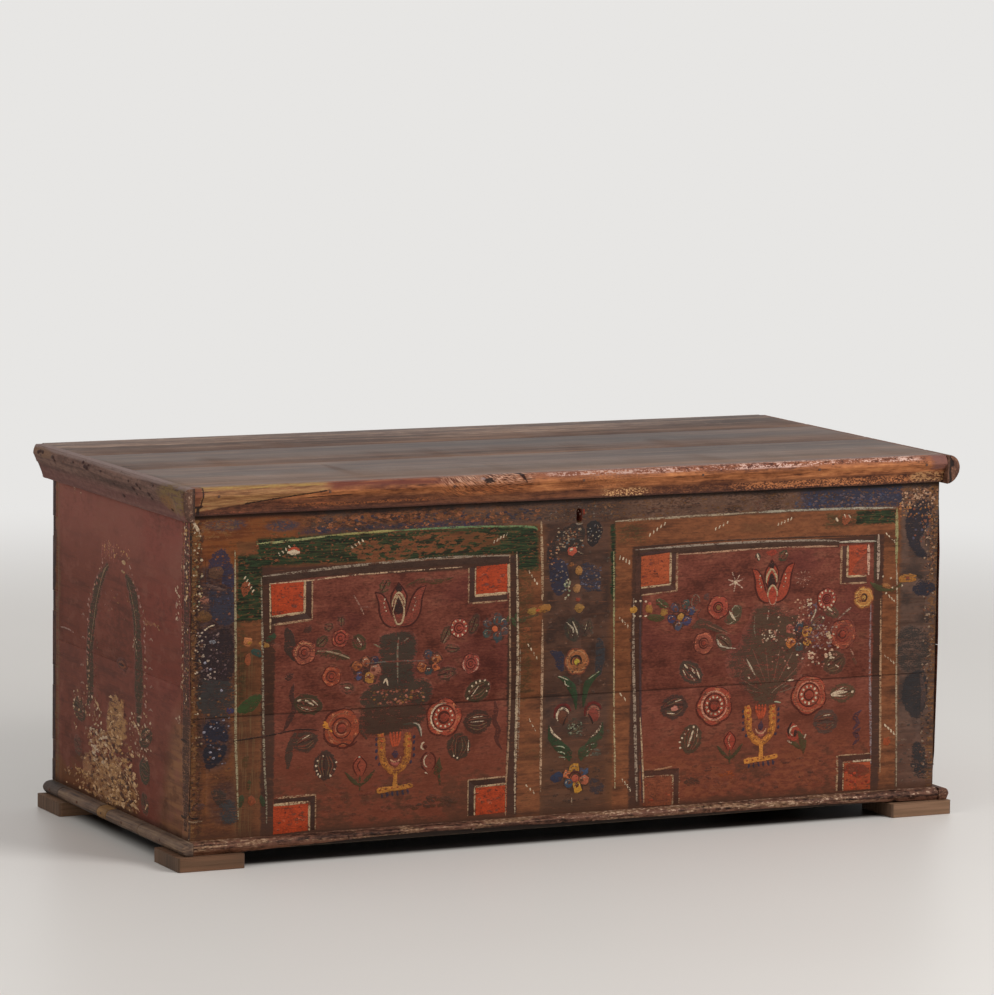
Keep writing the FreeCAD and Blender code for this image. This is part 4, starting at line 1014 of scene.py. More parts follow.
def rosette(brush, x, z, radius, body, rings=(), dots=None, heart=BRICK, edge=WINE, hold=0.8, lobes=5):
    """A rose seen from above. rings are (share, width, colour, start, end), dots (number, share, size)."""
    scallop = []
    for step in range(36):
        angle = math.tau * step / 36
        reach = radius * (0.9 + 0.1 * abs(math.sin(lobes * angle / 2 + radius)))
        scallop.append(round_from(x, z, reach, angle))
    brush.fill(scallop, body, 1, hold, 1.2, curved=False)
    brush.line(scallop[4:] + scallop[:3], 0.09 * radius, edge, 2, hold * 0.95)
    for step in range(7):
        angle = math.tau * step / 7 + radius
        touch = round_from(x, z, radius * 0.82, angle)
        brush.dab(*touch, radius * 0.3, radius * 0.12, math.degrees(angle) + 90, "#b3714e", 2, 0.5)
    for share, width, code, start, end in rings:
        brush.line(arc_points(x, z, radius * share, start, end), width, code, 3, 0.75)
    brush.dab(x, z, radius * 0.42, radius * 0.4, 20, heart, 3, 0.8)
    brush.line(arc_points(x, z, radius * 0.25, 30, 350), 0.06 * radius + 0.4, edge, 4, 0.75)
    if dots:
        number, share, size = dots
        for step in range(number):
            angle = math.tau * (step + 0.3) / number
            brush.dab(*round_from(x, z, radius * share, angle), size * 1.2, size,
                      math.degrees(angle), BONE, 5, 0.9)


def posy(brush, x, z, petals, heart, heart_size=8.0, hold=0.9):
    """An open flower of touches in several colours: (across, up, size, colour) from its heart."""
    for across, up, size, _ in petals:
        brush.dab(x + across * 0.9, z + up * 0.9, size * 1.5, size * 1.3, 0, "#38271f", 1, hold * 0.7, 2.4)
    for across, up, size, code in petals:
        lean = math.degrees(math.atan2(up, across))
        brush.dab(x + across, z + up, size * 1.15, size, lean, code, 2, hold, 0.8)
        brush.dab(x + across * 0.8, z + up * 0.8, size * 0.5, size * 0.32, lean, "#5a3324", 3, 0.5)
        brush.line(arc_points(x + across, z + up, size * 0.34, 40, 190), 1.0, BONE, 4, 0.32)
    brush.dab(x, z, heart_size, heart_size * 0.9, 0, heart, 4, 0.95)
    brush.line(arc_points(x, z, heart_size * 0.52, -20, 190), 1.6, DARK, 5, 0.8)


def leaf(brush, x, z, length, width, angle, code=UMBER, strokes=(), dots=(), hold=0.85):
    """A dark leaf. Its strokes are (start, end, width) and its dots (along, across, size).

    Places on it are shares of its length and width from the middle."""
    lean = math.radians(angle)

    def at(along, across):
        return leaning(x, z, along * length, across * width, lean)

    shares = [(-0.5, 0), (-0.34, 0.34), (-0.04, 0.5), (0.3, 0.38), (0.5, 0), (0.3, -0.36),
              (-0.04, -0.5), (-0.34, -0.34)]
    brush.fill([at(*share) for share in shares], code, 1, hold, 3.0)
    brush.line([at(-0.45, 0), at(0, 0.06), at(0.4, 0)], 1.4, "#1f1612", 2, 0.7)
    for across in (-0.3, -0.15, 0.13, 0.27):
        brush.line([at(-0.36, across * 0.6), at(0, across * 1.2), at(0.34, across * 0.7 + 0.05)],
                   1.2, "#60573f", 3, 0.42)
    for start, end, thick in strokes:
        brush.line([at(*start), at(*end)], thick, BONE, 3, 0.72)
    for along, across, size in dots:
        dot_lean = angle + math.degrees(math.atan2(across, along))
        brush.dab(*at(along, across), size * 1.3, size, dot_lean, BONE, 4, 0.9)


def tulip(brush, x, foot, petals, petal_hold, spread=1.0, outline="#36150f"):
    """A large tulip of three petals, its heart a dark drop with a cream rim."""
    def at(across, up):
        return x + across * spread, foot + up

    flank = [(-34, 55), (-24, 52), (-17, 42), (-13, 31), (-9, 17), (-2, 2), (-11, 2),
             (-21, 9), (-27, 23), (-29, 40)]
    for side_way in (1, -1):
        reach = 1.0 if side_way > 0 else 1.18
        lift = 0 if side_way > 0 else 6
        shape = [at(side_way * across * reach, up + lift * max(0, up - 20) / 35) for across, up in flank]
        brush.fill(shape, petals, 1, petal_hold, 0.8)
        brush.line(shape[5:] + shape[:1], 2.6, outline, 3, 0.92)
        brush.line(shape[:5], 2.4, outline, 3, 0.92)
        for across, up in ((-20, 44), (-21, 38), (-20, 32), (-18, 26)):
            brush.dab(*at(side_way * across * reach, up), 3.0, 1.9, 80, BONE, 4, 0.62)
    core = [(0, 68), (-6, 58), (-11, 47), (-9, 32), (-4, 20), (0, 14), (4, 20), (9, 32), (12, 47), (7, 58)]
    brush.fill([at(*point) for point in core], petals, 2, petal_hold, 0.8)
    brush.line([at(*point) for point in core[:5]], 2.6, outline, 4, 0.92)
    brush.line([at(*point) for point in (core[0], core[9], core[8], core[7], core[6])], 2.6, outline, 4, 0.92)
    brush.fill([at(0, 66), at(-4.5, 58), at(0, 54), at(4.5, 58)], "#211816", 4, 0.95)
    brush.line([at(-9, 32), at(-8, 42), at(0, 53), at(8, 42), at(9, 32)], 3.2, CREAM, 5, 0.85)
    brush.fill([at(0, 46), at(-6, 33), at(-3, 22), at(4, 22), at(6, 33)], "#241a17", 4, 0.95)


def bud(brush, x, z, width, height, body, green):
    """A small closed tulip on a stalk between two narrow leaves."""
    wide = width / 2
    tall = height / 2
    brush.fill([(x, z + tall), (x - wide, z + 2), (x - wide * 0.5, z - tall), (x + wide * 0.5, z - tall),
                (x + wide, z + 2)], body, 1, 0.85, 0.7)
    for flip in (-1, 1):
        brush.line([(x, z + tall), (x + flip * wide, z + 1), (x + flip * wide * 0.4, z - tall)], 1.6, WINE, 3,
                   0.8)
    brush.line([(x + 1, z + tall * 0.5), (x - wide * 0.35, z), (x + 1, z - tall * 0.6)], 1.8, WINE, 3, 0.7)
    foot = z - tall
    for flip in (-1, 1):
        brush.line([(x + flip * width * 1.1, foot + 7), (x + flip * width * 0.6, foot - 5), (x, foot - 16)],
                   (2, 6, 3), green, 2, 0.8)
    brush.line([(x, foot), (x, foot - 22)], 3.0, green, 2, 0.7)


def urn(brush, x, foot, lean, ochre, yellow):
    """A yellow urn: two arms in a U, a stalk and a bar, with drops of blue round it and a tassel inside."""
    def at(across, up):
        return x + across + lean * up, foot + up

    arms = [(-24, 83), (-22, 66), (-21, 50), (-16, 36), (-6, 27), (0, 25), (6, 27), (15, 36),
            (20, 50), (20, 66), (20, 82)]
    brush.line([at(*point) for point in arms], (13, 13, 12, 12, 11, 10, 11, 12, 12, 13, 13),
               ochre, 2, 0.9, ends=0.8)
    brush.line([at(*point) for point in arms], (6, 6, 5, 6, 5, 4, 5, 6, 5, 6, 6), yellow, 3, 0.7, ends=0.8)
    for side_way in (-1, 1):
        for up in (80, 72, 62, 52, 42):
            across = side_way * (22 if up > 45 else 17)
            brush.dab(*at(across, up), 4.5, 5.0, 80, "#a3512a" if up > 58 else "#8a5a26", 4, 0.75)
            brush.dab(*at(across - side_way * 7.5, up - 4), 3.0, 2.0, 80, "#5f2a1f", 4, 0.5)
            brush.dab(*at(across + side_way * 8.5, up - 5), 5.5, 3.6, 70, NAVY, 1, 0.85)
    brush.line([at(0, 26), at(0.5, 14), at(0, 2)], (8, 6, 8), yellow, 2, 0.93, ends=0.9)
    brush.line([at(-29, -3), at(-10, -1), at(10, 0), at(29, 3)], (9, 8, 8, 8), yellow, 3, 0.93, ends=0.7)
    for number in range(6):
        brush.dab(*at(-24 + number * 9.5, -2 + number), 3.0, 2.2, 10, "#7c3420", 4, 0.8)
        brush.dab(*at(-21 + number * 8.5, -10 + number * 0.6), 3.2, 7.5, 8, NAVY, 1, 0.85)
    for number in range(4):
        across = -8.5 + number * 5.6
        brush.line([at(across, 84), at(across * 0.8, 72), at(across * 0.4, 62)],
                   (3.8, 3.4, 2), "#a4492c", 3, 0.85)
    brush.dab(*at(0, 51), 13, 10, 90, "#372b3c", 3, 0.85)
    brush.line(arc_points(*at(0, 48), 9, 190, 350), 2.4, "#b0876a", 4, 0.7)
    brush.dab(*at(0, 38), 12, 8, 0, "#95544a", 3, 0.8)


def left_panel():
    """The left panel: a worn green band, a frame, four corner squares and flowers round an urn."""
    brush = front_brush("left_panel_painting", 61)
    line, dab, fill, crumbs, dashes = brush.line, brush.dab, brush.fill, brush.crumbs, brush.dashes
    # border lines
    line([(-555, 425), (-554, 340), (-552.5, 250), (-552, 150), (-549.5, 90), (-547, 28)],
         3.4, "#918b72", 3, 0.72)
    line([(-521, 432.6), (-460, 435.5), (-400, 440)], 3.0, "#8f9468", 4, 0.78)
    line([(-402, 440), (-350, 441.5), (-300, 442.5)], 3.2, "#8f8c5a", 4, 0.85)
    line([(-302, 442.5), (-190, 442.5), (-85, 439), (-66, 433)], 3.0, "#64805a", 4, 0.74)
    line([(-60.5, 447), (-58.5, 400), (-57, 350), (-57, 326)], 4.0, "#a18d74", 3, 0.68)
    line([(-56, 297), (-55.6, 200), (-56, 120), (-55.6, 36)], 3.8, "#ab927a", 3, 0.62)
    line([(-511, 378), (-400, 386), (-300, 390.5), (-200, 392), (-104, 390)], 12, "#3b2a22", 0, 1.0, ends=1.0)
    line([(-511, 384.5), (-400, 391.5), (-300, 396.2), (-200, 398.2), (-112, 397)], 3.6, "#8b8174", 3, 0.66)
    line([(-500, 372.8), (-430, 375.6), (-350, 380), (-190, 383)], 1.8, "#b39a80", 3, 0.6)
    line([(-513.5, 383), (-511, 300), (-509, 200), (-506.5, 110), (-503, 60), (-502, 18)], 3.2, "#8b8574", 3,
         0.6)
    line([(-499.5, 374), (-498.5, 330), (-498.5, 300)], 2.4, CREAM, 3, 0.7)
    line([(-112, 398), (-110.5, 300), (-108.5, 200), (-110, 120), (-113, 60), (-113.5, 4)],
         3.0, "#957b63", 3, 0.62)
    line([(-100.5, 402), (-98, 330), (-96.5, 250), (-97.5, 150), (-98.5, 60), (-98, 6)],
         (4, 4, 4, 4, 3, 3), "#ab9c86", 4, 0.68)
    line([(-92.5, 255), (-93, 180), (-94, 90)], 2.4, "#86776a", 3, 0.5)
    # corner squares
    corner_square(brush, -496, -446, 326, 372, 1, -1, 0.08, inner=(3.4, 3.6, 0.9), outer=(2.2, 3.0, 0.82))
    corner_square(brush, -166, -115, 341, 382, -1, -1, 0.03, dark=9, inner=(2.0, 4.0, 0.85))
    line([(-113.5, 384), (-112.5, 341)], 4.4, CREAM, 5, 0.9, ends=0.8)
    corner_square(brush, -491, -436, 2, 43, 1, 1, 0.02, inner=(3.0, 4.0, 0.8), outer=(1.6, 2.8, 0.7), dark=8)
    corner_square(brush, -163, -112, 8, 49, -1, 1, 0.02, inner=(2.0, 3.4, 0.9), outer=(1.4, 2.4, 0.8), dark=9)
    for left, low in ((-490, 335), (-160, 346), (-485, 8), (-157, 14)):
        crumbs(left, left + 42, low, low + 34, ["#5f2117", "#7c2f1c"], 9, (0.8, 2.0), 5, 0.75)
    # dashes on the band
    dashes((-485, 416), (-469, 426), 4, angle=125)
    fill([(-472, 418), (-462, 414), (-453, 418), (-462, 421)], BONE, 4, 0.95)
    fill([(-471, 421), (-462, 419), (-453, 421), (-462, 426)], "#a4452c", 3, 0.9)
    dashes((-369, 421), (-352, 430), 4, angle=125, hold=0.7)
    dashes((-539, 384), (-526, 364), 5, angle=60)
    dab(-538, 368, 22, 12, 80, "#7c4229", 2, 0.8, 1.2)
    dashes((-138, 418), (-117, 429), 5, angle=65)
    dashes((-79, 370), (-66, 352), 4, angle=-75)
    dashes((-79, 260), (-65, 240), 4, angle=-75)
    dashes((-75, 146), (-66, 130), 3, angle=-65, hold=0.65)
    dashes((-79, 47), (-67, 36), 3, angle=-70, hold=0.7)
    # flower garland across the left band
    dab(-534, 290, 15, 13, 30, "#a56b45", 3, 0.9)
    dab(-531, 287, 7, 5, 0, YELLOW, 4, 0.9)
    dab(-508, 284, 19, 8, -20, "#8f6a35", 3, 0.85)
    dab(-490, 281, 16, 9, -20, "#6c3e31", 3, 0.6)
    dab(-533, 262, 10, 19, 5, "#82472c", 3, 0.9)
    dab(-519, 272, 20, 11, -25, "#213f3b", 2, 0.9)
    dab(-497, 293, 18, 9, 20, LEAF, 2, 0.7)
    fill([(-549, 190), (-530, 208), (-511, 209), (-520, 192), (-538, 184)], "#27401f", 2, 0.9)
    dab(-526, 54, 13, 13, 0, "#7c422a", 3, 0.85)
    dab(-543, 54, 20, 9, 75, "#2d3b26", 2, 0.8)
    dab(-509, 53, 18, 9, 105, "#2d3b26", 2, 0.8)
    dab(-531, 78, 16, 7, 85, "#33391f", 2, 0.6)
    dab(-536, 113, 22, 10, 80, "#48391f", 2, 0.4)
    # tulip at the top
    tulip(brush, -293, 297, "#7b3c30", 0.7, spread=1.12)
    line([(-302, 322), (-296, 342), (-292, 343), (-284, 326), (-287, 306), (-296, 304), (-302, 322)], 2.8,
         CREAM, 6, 0.82)
    leaf(brush, -316, 361, 22, 15, 60, "#36341f", hold=0.6)
    line([(-281, 358), (-255, 366), (-230, 363), (-203, 369)], (5, 8, 7, 3), "#42361f", 2, 0.55)
    line([(-366, 350), (-356, 334), (-349, 320)], 2.0, "#8c6d60", 3, 0.6)
    line([(-358, 332), (-338, 330)], 1.4, "#84655a", 3, 0.4)
    # the dark stem, its garland and the band below it
    fill([(-318, 284), (-300, 287), (-272, 284), (-268, 262), (-272, 232), (-270, 208), (-318, 208),
          (-316, 240), (-319, 262)], "#302e26", 1, 0.82, 7)
    line([(-292, 283), (-294, 262), (-293, 215)], 2.6, "#6f6e60", 3, 0.6)
    line([(-345, 247), (-300, 248), (-250, 246)], 1.4, "#5f6a66", 3, 0.45)
    fill([(-340, 206), (-322, 215), (-300, 207), (-270, 214), (-248, 214), (-240, 200), (-252, 184),
          (-282, 188), (-312, 181), (-342, 183), (-350, 196)], "#322e25", 2, 0.85, 6)
    crumbs(-338, -250, 185, 208, ["#7c5a2c", "#8d5a48", "#a06a58", "#5c4527"], 60, (1.4, 4.0), 4, 0.7)
    fill([(-346, 178), (-300, 179), (-252, 177), (-252, 160), (-268, 150), (-300, 144), (-338, 143),
          (-348, 160)], "#36291f", 1, 0.86, 7)
    line([(-284, 152), (-266, 153), (-257, 145), (-254, 132)], (2, 5, 5, 3), "#33392f", 2, 0.8)
    line([(-268, 154), (-259, 151), (-254.5, 141), (-254, 133)], (1.2, 2.2, 2.6, 1.6), "#9f9c8e", 5, 0.75)
    line([(-345, 178), (-352, 165), (-352, 148), (-342, 134)], 5, "#3b2c22", 2, 0.7)
    urn(brush, -296, 58, 0.0, "#915d2c", "#a57031")
    # roses
    rosette(brush, -444, 269, 19, "#91503e",
            rings=((0.72, 1.8, "#ab7a5a", 20, 200), (0.5, 1.6, WINE, 0, 340)), hold=0.62)
    rosette(brush, -386.5, 286.5, 14, "#8f4134", rings=((0.62, 1.6, WINE, 0, 345),), hold=0.75)
    rosette(brush, -400, 231, 15.5, "#863d27",
            rings=((0.72, 1.4, "#a5583c", 40, 300), (0.5, 1.8, WINE, 0, 345)))
    rosette(brush, -383, 153, 30, "#8a422b",
            rings=((0.72, 1.8, "#8f5a3f", 60, 260), (0.5, 2.0, WINE, 0, 345),
                   (0.34, 1.6, "#a06a50", 20, 330)))
    fill([(-412, 158), (-402, 151), (-398, 148), (-404, 156), (-410, 164)], "#b87c30", 5, 0.85)
    line([(-412, 140), (-402, 129), (-392, 127), (-380, 130), (-368, 126), (-358, 132)], 2.2, WINE, 4, 0.85)
    rosette(brush, -194, 292, 15, "#8d4136", rings=((0.5, 1.8, WINE, 0, 345),),
            dots=(10, 0.78, 2.3), hold=0.75)
    rosette(brush, -174, 237, 15.5, "#8a4137",
            rings=((0.8, 2.2, "#b08a7a", 150, 230), (0.8, 2.2, "#b08a7a", -70, 40), (0.5, 1.8, WINE, 0, 345)),
            hold=0.75)
    rosette(brush, -217, 159, 29.5, "#954431",
            rings=((0.72, 2.4, BONE, 80, 265), (0.72, 1.6, "#a5604a", 270, 430), (0.62, 2.0, WINE, 0, 350),
                   (0.31, 1.8, WINE, 0, 345)), dots=(12, 0.47, 2.6))
    # open flowers in several colours
    posy(brush, -345, 236, [(-14, 8, 15, "#9a5c34"), (0, 13, 14, "#88533b"), (14, 15, 12, NAVY),
            (15, 1, 16, "#905f4d"), (6, -11, 15, "#a07538"), (-11, -7, 11, "#3a4568")], DARK, 7)
    posy(brush, -240, 242, [(-4, 13, 12, "#303b48"), (10, 6, 14, "#995f37"), (-15, -5, 13, "#945932"),
            (-3, -12, 12, "#243a3c"), (9, -7, 11, "#a85f38")], DARK, 6, 0.8)
    posy(brush, -135, 288, [(4, 15, 15, "#30464a"), (-13, 8, 12, "#3f464b"), (-12, -7, 12, "#374a48"),
            (5, -12, 14, "#2c4248"), (16, -4, 13, "#3e4043"), (15, 9, 13, "#2f3f48")], "#ac5a38", 10, 0.72)
    for across, up, length, lean in ((-112, 302, 14, 60), (-104, 296, 16, 120),
            (-99, 306, 12, 70), (-90, 298, 14, 10)):
        dab(across, up, length, 6, lean, "#35432a", 3, 0.75)
    dab(-73, 311, 16, 11, 20, "#866c36", 4, 0.85)
    dab(-54, 314, 25, 13, 8, "#8f6431", 5, 0.92)
    dab(-64, 312, 8, 4, 10, "#a04c28", 6, 0.8)
    line([(-96, 300), (-80, 302), (-62, 305)], 3, "#3f3a24", 3, 0.6)
    dab(-83, 284, 15, 7, 10, "#8a4b2c", 2, 0.6)
    # leaves
    leaf(brush, -438, 191, 46, 28, -12, "#33301f",
         strokes=(((-0.38, 0.1), (-0.26, 0.22), 3.4), ((-0.12, 0.22), (0.22, 0.02), 3.0),
                  ((0.1, 0.3), (0.36, 0.06), 2.0), ((-0.2, -0.2), (0.2, -0.26), 1.2)))
    leaf(brush, -441, 136, 37, 28, 15, strokes=(((-0.1, 0.2), (0.25, 0.28), 1.2),))
    line([(-457, 150), (-466, 128), (-469, 98)], (7, 11, 8), UMBER, 1, 0.85, 1.4)
    leaf(brush, -409, 99, 42, 34, 90, "#332a24", dots=(
        (-0.38, 0.24, 2.6), (-0.3, 0.34, 2.6), (-0.18, 0.4, 2.6), (0.0, 0.43, 2.8),
        (0.18, 0.36, 2.2), (0.34, 0.1, 1.8),
        (0.08, -0.52, 2.4), (-0.16, -0.44, 2.0), (-0.38, -0.24, 3.0)))
    leaf(brush, -162, 196, 42, 29, 25, "#33301f", dots=(
        (-0.46, -0.1, 2.4), (-0.3, 0.2, 2.4), (-0.12, 0.36, 2.6), (0.06, 0.42, 2.4),
        (0.22, 0.4, 2.4), (0.4, 0.3, 3.0),
        (0.48, 0.0, 2.6), (0.3, -0.26, 2.0)), strokes=(((-0.3, -0.1), (0.1, 0.2), 1.0),))
    leaf(brush, -161, 149, 44, 34, 0, "#35271f",
         strokes=(((-0.2, 0.2), (0.2, 0.24), 0.9), ((-0.3, 0.0), (0.24, 0.02), 0.9)))
    leaf(brush, -192, 114, 38, 36, 80, "#342c22", strokes=(((0.3, -0.4), (-0.2, -0.46), 1.8),),
         dots=((-0.4, 0.16, 2.2), (-0.46, -0.02, 2.2)))
    line([(-134, 180), (-131, 165), (-134, 150), (-127, 134), (-130, 120), (-120, 104)],
         (6, 9, 7, 9, 7, 4), "#47261f", 1, 0.75)
    line([(-473, 306), (-468, 292), (-466, 276), (-458, 258)], (10, 16, 18, 10), "#2f2620", 1, 0.85, 1.5)
    dab(-438, 303, 16, 12, 50, "#3f2a22", 1, 0.7)
    line([(-460, 224), (-464, 206), (-459, 188), (-468, 168), (-476, 154)],
         (6, 9, 8, 9, 4), "#38241f", 1, 0.75)
    dab(-468, 234, 16, 12, 30, "#35251f", 1, 0.7)
    line([(-426, 268), (-398, 264), (-372, 256)], (12, 14, 8), "#38321f", 1, 0.6, 2)
    line([(-423, 269.5), (-405, 268), (-388, 263), (-371, 256)], 2.4, "#8d8069", 4, 0.75)
    leaf(brush, -356, 279, 24, 18, -50, "#3a3a24", strokes=(((-0.3, 0.1), (0.25, 0.0), 2.8),))
    leaf(brush, -416, 283, 20, 13, 40, "#393322", hold=0.7)
    leaf(brush, -405, 305, 12, 11, 0, "#3b2b21", hold=0.7)
    leaf(brush, -385, 312, 14, 10, 90, "#3f2d22", hold=0.6)
    leaf(brush, -375, 212, 22, 15, -20, "#3a2f24", hold=0.6, strokes=(((-0.2, 0), (0.2, 0.1), 1.4),))
    leaf(brush, -215, 283, 26, 14, 65, "#3f2f22", hold=0.7)
    leaf(brush, -170, 296, 30, 15, 70, "#3a2c22", hold=0.65)
    leaf(brush, -205, 262, 22, 12, -10, "#372c22", hold=0.6)
    leaf(brush, -213, 225, 30, 18, 10, "#3a2b21", hold=0.65)
    line([(-322, 270), (-334, 276)], 1.6, "#7c7a64", 4, 0.5)
    line([(-284, 276), (-276, 282)], 2.2, "#7c8070", 4, 0.6)
    line([(-212, 282), (-220, 270)], 1.4, "#8a7a66", 4, 0.5)
    line([(-316, 216), (-312, 222), (-309, 212)], 2.4, BONE, 5, 0.8)
    # small tulip, bud and the sprig beside the urn
    bud(brush, -353, 95, 22, 30, "#84402f", "#35361f")
    dab(-354, 108, 3, 2, 0, "#a9ae9c", 5, 0.8)
    fill([(-242, 107), (-253, 96), (-247, 82), (-236, 82), (-231, 96)], "#743a2c", 1, 0.85)
    line(arc_points(-242, 94, 11, 100, 250, 1.25), 2.6, WINE, 3, 0.85)
    line(arc_points(-241, 94, 11, -60, 80, 1.25), 2.2, WINE, 3, 0.85)
    line(arc_points(-241, 95, 8, 95, 250, 1.2), 2.0, "#b5a48e", 4, 0.82)
    line([(-247, 78), (-243, 75)], 2.0, BONE, 4, 0.7)
    dab(-224, 84, 10, 30, -15, "#3a381f", 2, 0.8)
    line([(-226, 92), (-224, 70), (-222, 58)], 4, "#31361f", 2, 0.8)
    line(arc_points(-248, 118, 5.5, 100, 260), 2.6, "#b5a48e", 4, 0.9)
    dab(-247, 117, 6, 5, 0, WINE, 3, 0.8)
    crumbs(-265, -198, 26, 40, ["#3f2c22", "#46301f"], 26, (3, 7), 1, 0.55, 2.4)
    crumbs(-420, -230, 20, 70, ["#6a3426", "#5a3024"], 40, (2, 6), 0, 0.4, 2.6)
    # the crack that runs on from the seam's left end
    line([(-556, 144), (-500, 149), (-452, 155), (-420, 152)], 1.6, "#1f1512", 6, 0.8)
    return brush.done(front_strokes, "painted_front_wood", (SEAM_LEVEL,))


def right_panel():
    """The right panel, wider than the left one, with its flowers round a spread of dark leaves."""
    brush = front_brush("right_panel_painting", 62)
    line, dab, fill, crumbs, dashes = brush.line, brush.dab, brush.fill, brush.crumbs, brush.dashes
    # border lines
    line([(63, 440), (140, 441.5), (306, 443.5)], 3.0, "#968b78", 3, 0.7)
    line([(306, 443.5), (430, 443), (549, 440)], 3.4, "#98978a", 3, 0.78)
    line([(61.5, 395), (62.6, 350), (64.3, 250)], 2.4, "#8a8a66", 3, 0.68)
    line([(64.3, 250), (66, 150), (68.5, 80), (69.6, 33)], 2.8, "#a39878", 3, 0.68)
    line([(549, 441), (550, 400), (550.5, 352)], 4.6, "#888863", 3, 0.78)
    line([(550.5, 352), (553, 300), (554.5, 180), (557, 80), (558.7, 4)], 3.0, "#948976", 3, 0.76)
    line([(97, 389.5), (200, 391.5), (310, 392.5), (400, 390), (449, 387)], 8.5, "#402d23", 1, 1.0, ends=1.0)
    line([(95, 399), (200, 402), (310, 402.5), (512, 399)], 1.8, DARK, 2, 0.85)
    line([(97, 395.3), (200, 397.6), (310, 398.2), (400, 396.2), (449, 392.5)], 3.0, "#8d8378", 3, 0.74)
    line([(171, 385), (240, 386), (310, 387.4), (400, 386.5), (446, 385)], 2.4, "#a5866f", 3, 0.68)
    line([(96.5, 322), (97, 245), (101, 150), (104.5, 70), (107, 10)],
         (3, 3.6, 4.6, 5, 4.4), "#95887a", 3, 0.62)
    line([(108, 324), (108.5, 245), (111, 150), (114.5, 60), (116.5, 8)], 3.2, "#3e2f33", 2, 0.85)
    line([(110.5, 140), (113.5, 100), (117, 50), (119, 8)], 2.6, CREAM, 4, 0.72)
    line([(517.5, 400.6), (518.4, 366), (518, 328)], 5.0, "#a08f82", 4, 0.74)
    line([(506.5, 293), (507, 200), (510, 120), (512.5, 42)], 3.6, "#857a80", 3, 0.55)
    line([(524, 300), (525, 245), (526.5, 160), (528, 90), (529, 28)],
         (2.2, 2.6, 3.4, 3.8, 3.4), "#a2876c", 4, 0.72)
    line([(512, 398), (513, 330)], 4.5, "#3b3427", 2, 0.8)
    # corner squares
    corner_square(brush, 109, 156, 339, 385, 1, -1, 0.06, "#9a4c2c", inner=(3.6, 2.6, 0.9),
                  outer=(3.6, 2.2, 0.75), dark=9, shadow=FADED)
    line([(104, 388), (158, 391)], 4, "#3d2a2a", 3, 0.8)
    line([(103, 388), (103, 328)], 8, "#4a3027", 0, 1.0, ends=1.0)
    corner_square(brush, 118, 166, 2, 45, 1, 1, 0.0, "#78422c", 0.75, inner=(2.4, 2.0, 0.42),
                  outer=(1.4, 1.6, 0.2), dark=9, shadow=FADED)
    line([(135, 57), (150, 58), (166, 60.5)], 2.2, "#a07a5c", 6, 0.8)
    corner_square(brush, 466, 498, 339, 385, -1, -1, 0.0, "#98442a", 1.0, (3.6, 2.8, 0.9),
                  (3.6, 2.6, 0.8), 9, FADED)
    fill([(482, 340), (498, 340), (498, 372), (474, 348)], "#83422f", 3, 0.7, 1.5)
    line([(500.5, 386), (501.5, 338)], 4.6, "#bda08e", 4, 0.7)
    line([(449, 391), (480, 391), (514, 389.5)], 3.2, "#a9a497", 5, 0.82)
    corner_square(brush, 466, 512, 4, 46, -1, 1, 0.0, "#924428", 0.95, (1.6, 2.6, 0.6),
                  (3.6, 1.6, 0.75), 9, FADED)
    line([(479, 48.5), (513, 48.8)], 3.0, BONE, 6, 0.9)
    fill([(470, 44), (498, 42), (510, 30), (490, 24), (474, 30)], "#6c3020", 3, 0.6, 1.5)
    crumbs(468, 510, 6, 42, ["#6f2a1a", "#b1442a", "#7d2c1c"], 30, (1.5, 4), 4, 0.7)
    crumbs(114, 152, 343, 382, ["#8a4a2e", "#7a3a26"], 16, (1, 3), 4, 0.6)
    # dashes on the band
    dashes((122, 417), (147, 433), 5, angle=70)
    dashes((234, 421), (254, 430), 4, angle=70)
    dashes((342, 423), (364, 431), 5, angle=75, hold=0.7)
    dab(444, 426, 7, 4, -50, BONE, 4, 0.9)
    fill([(453, 428), (460, 433), (468, 428), (462, 419), (455, 420)], "#844a32", 3, 0.85)
    dashes((458, 431), (466, 430), 2, 7, 2.0, 120)
    dashes((72, 385), (88, 377), 4, 7, 2.2, 80)
    dashes((73, 293), (87, 280), 4, 6, 1.8, 100, hold=0.6)
    dashes((77, 176), (84, 169), 2, 7, 2.0, 110)
    dashes((82, 45), (95, 30), 4, 6, 1.8, 105, hold=0.6)
    dashes((532, 400), (546, 388), 4, 5.0, 1.6, 118)
    dashes((539, 303), (548, 295), 3, 6, 1.6, 116)
    dashes((534, 210), (549, 199), 4, 5.4, 1.7, 118)
    dab(540, 76, 13, 12, 0, "#8f4426", 2, 0.7, 1.5)
    dashes((537, 101), (552, 88), 4, 6.0, 2.2, 118, hold=0.9)
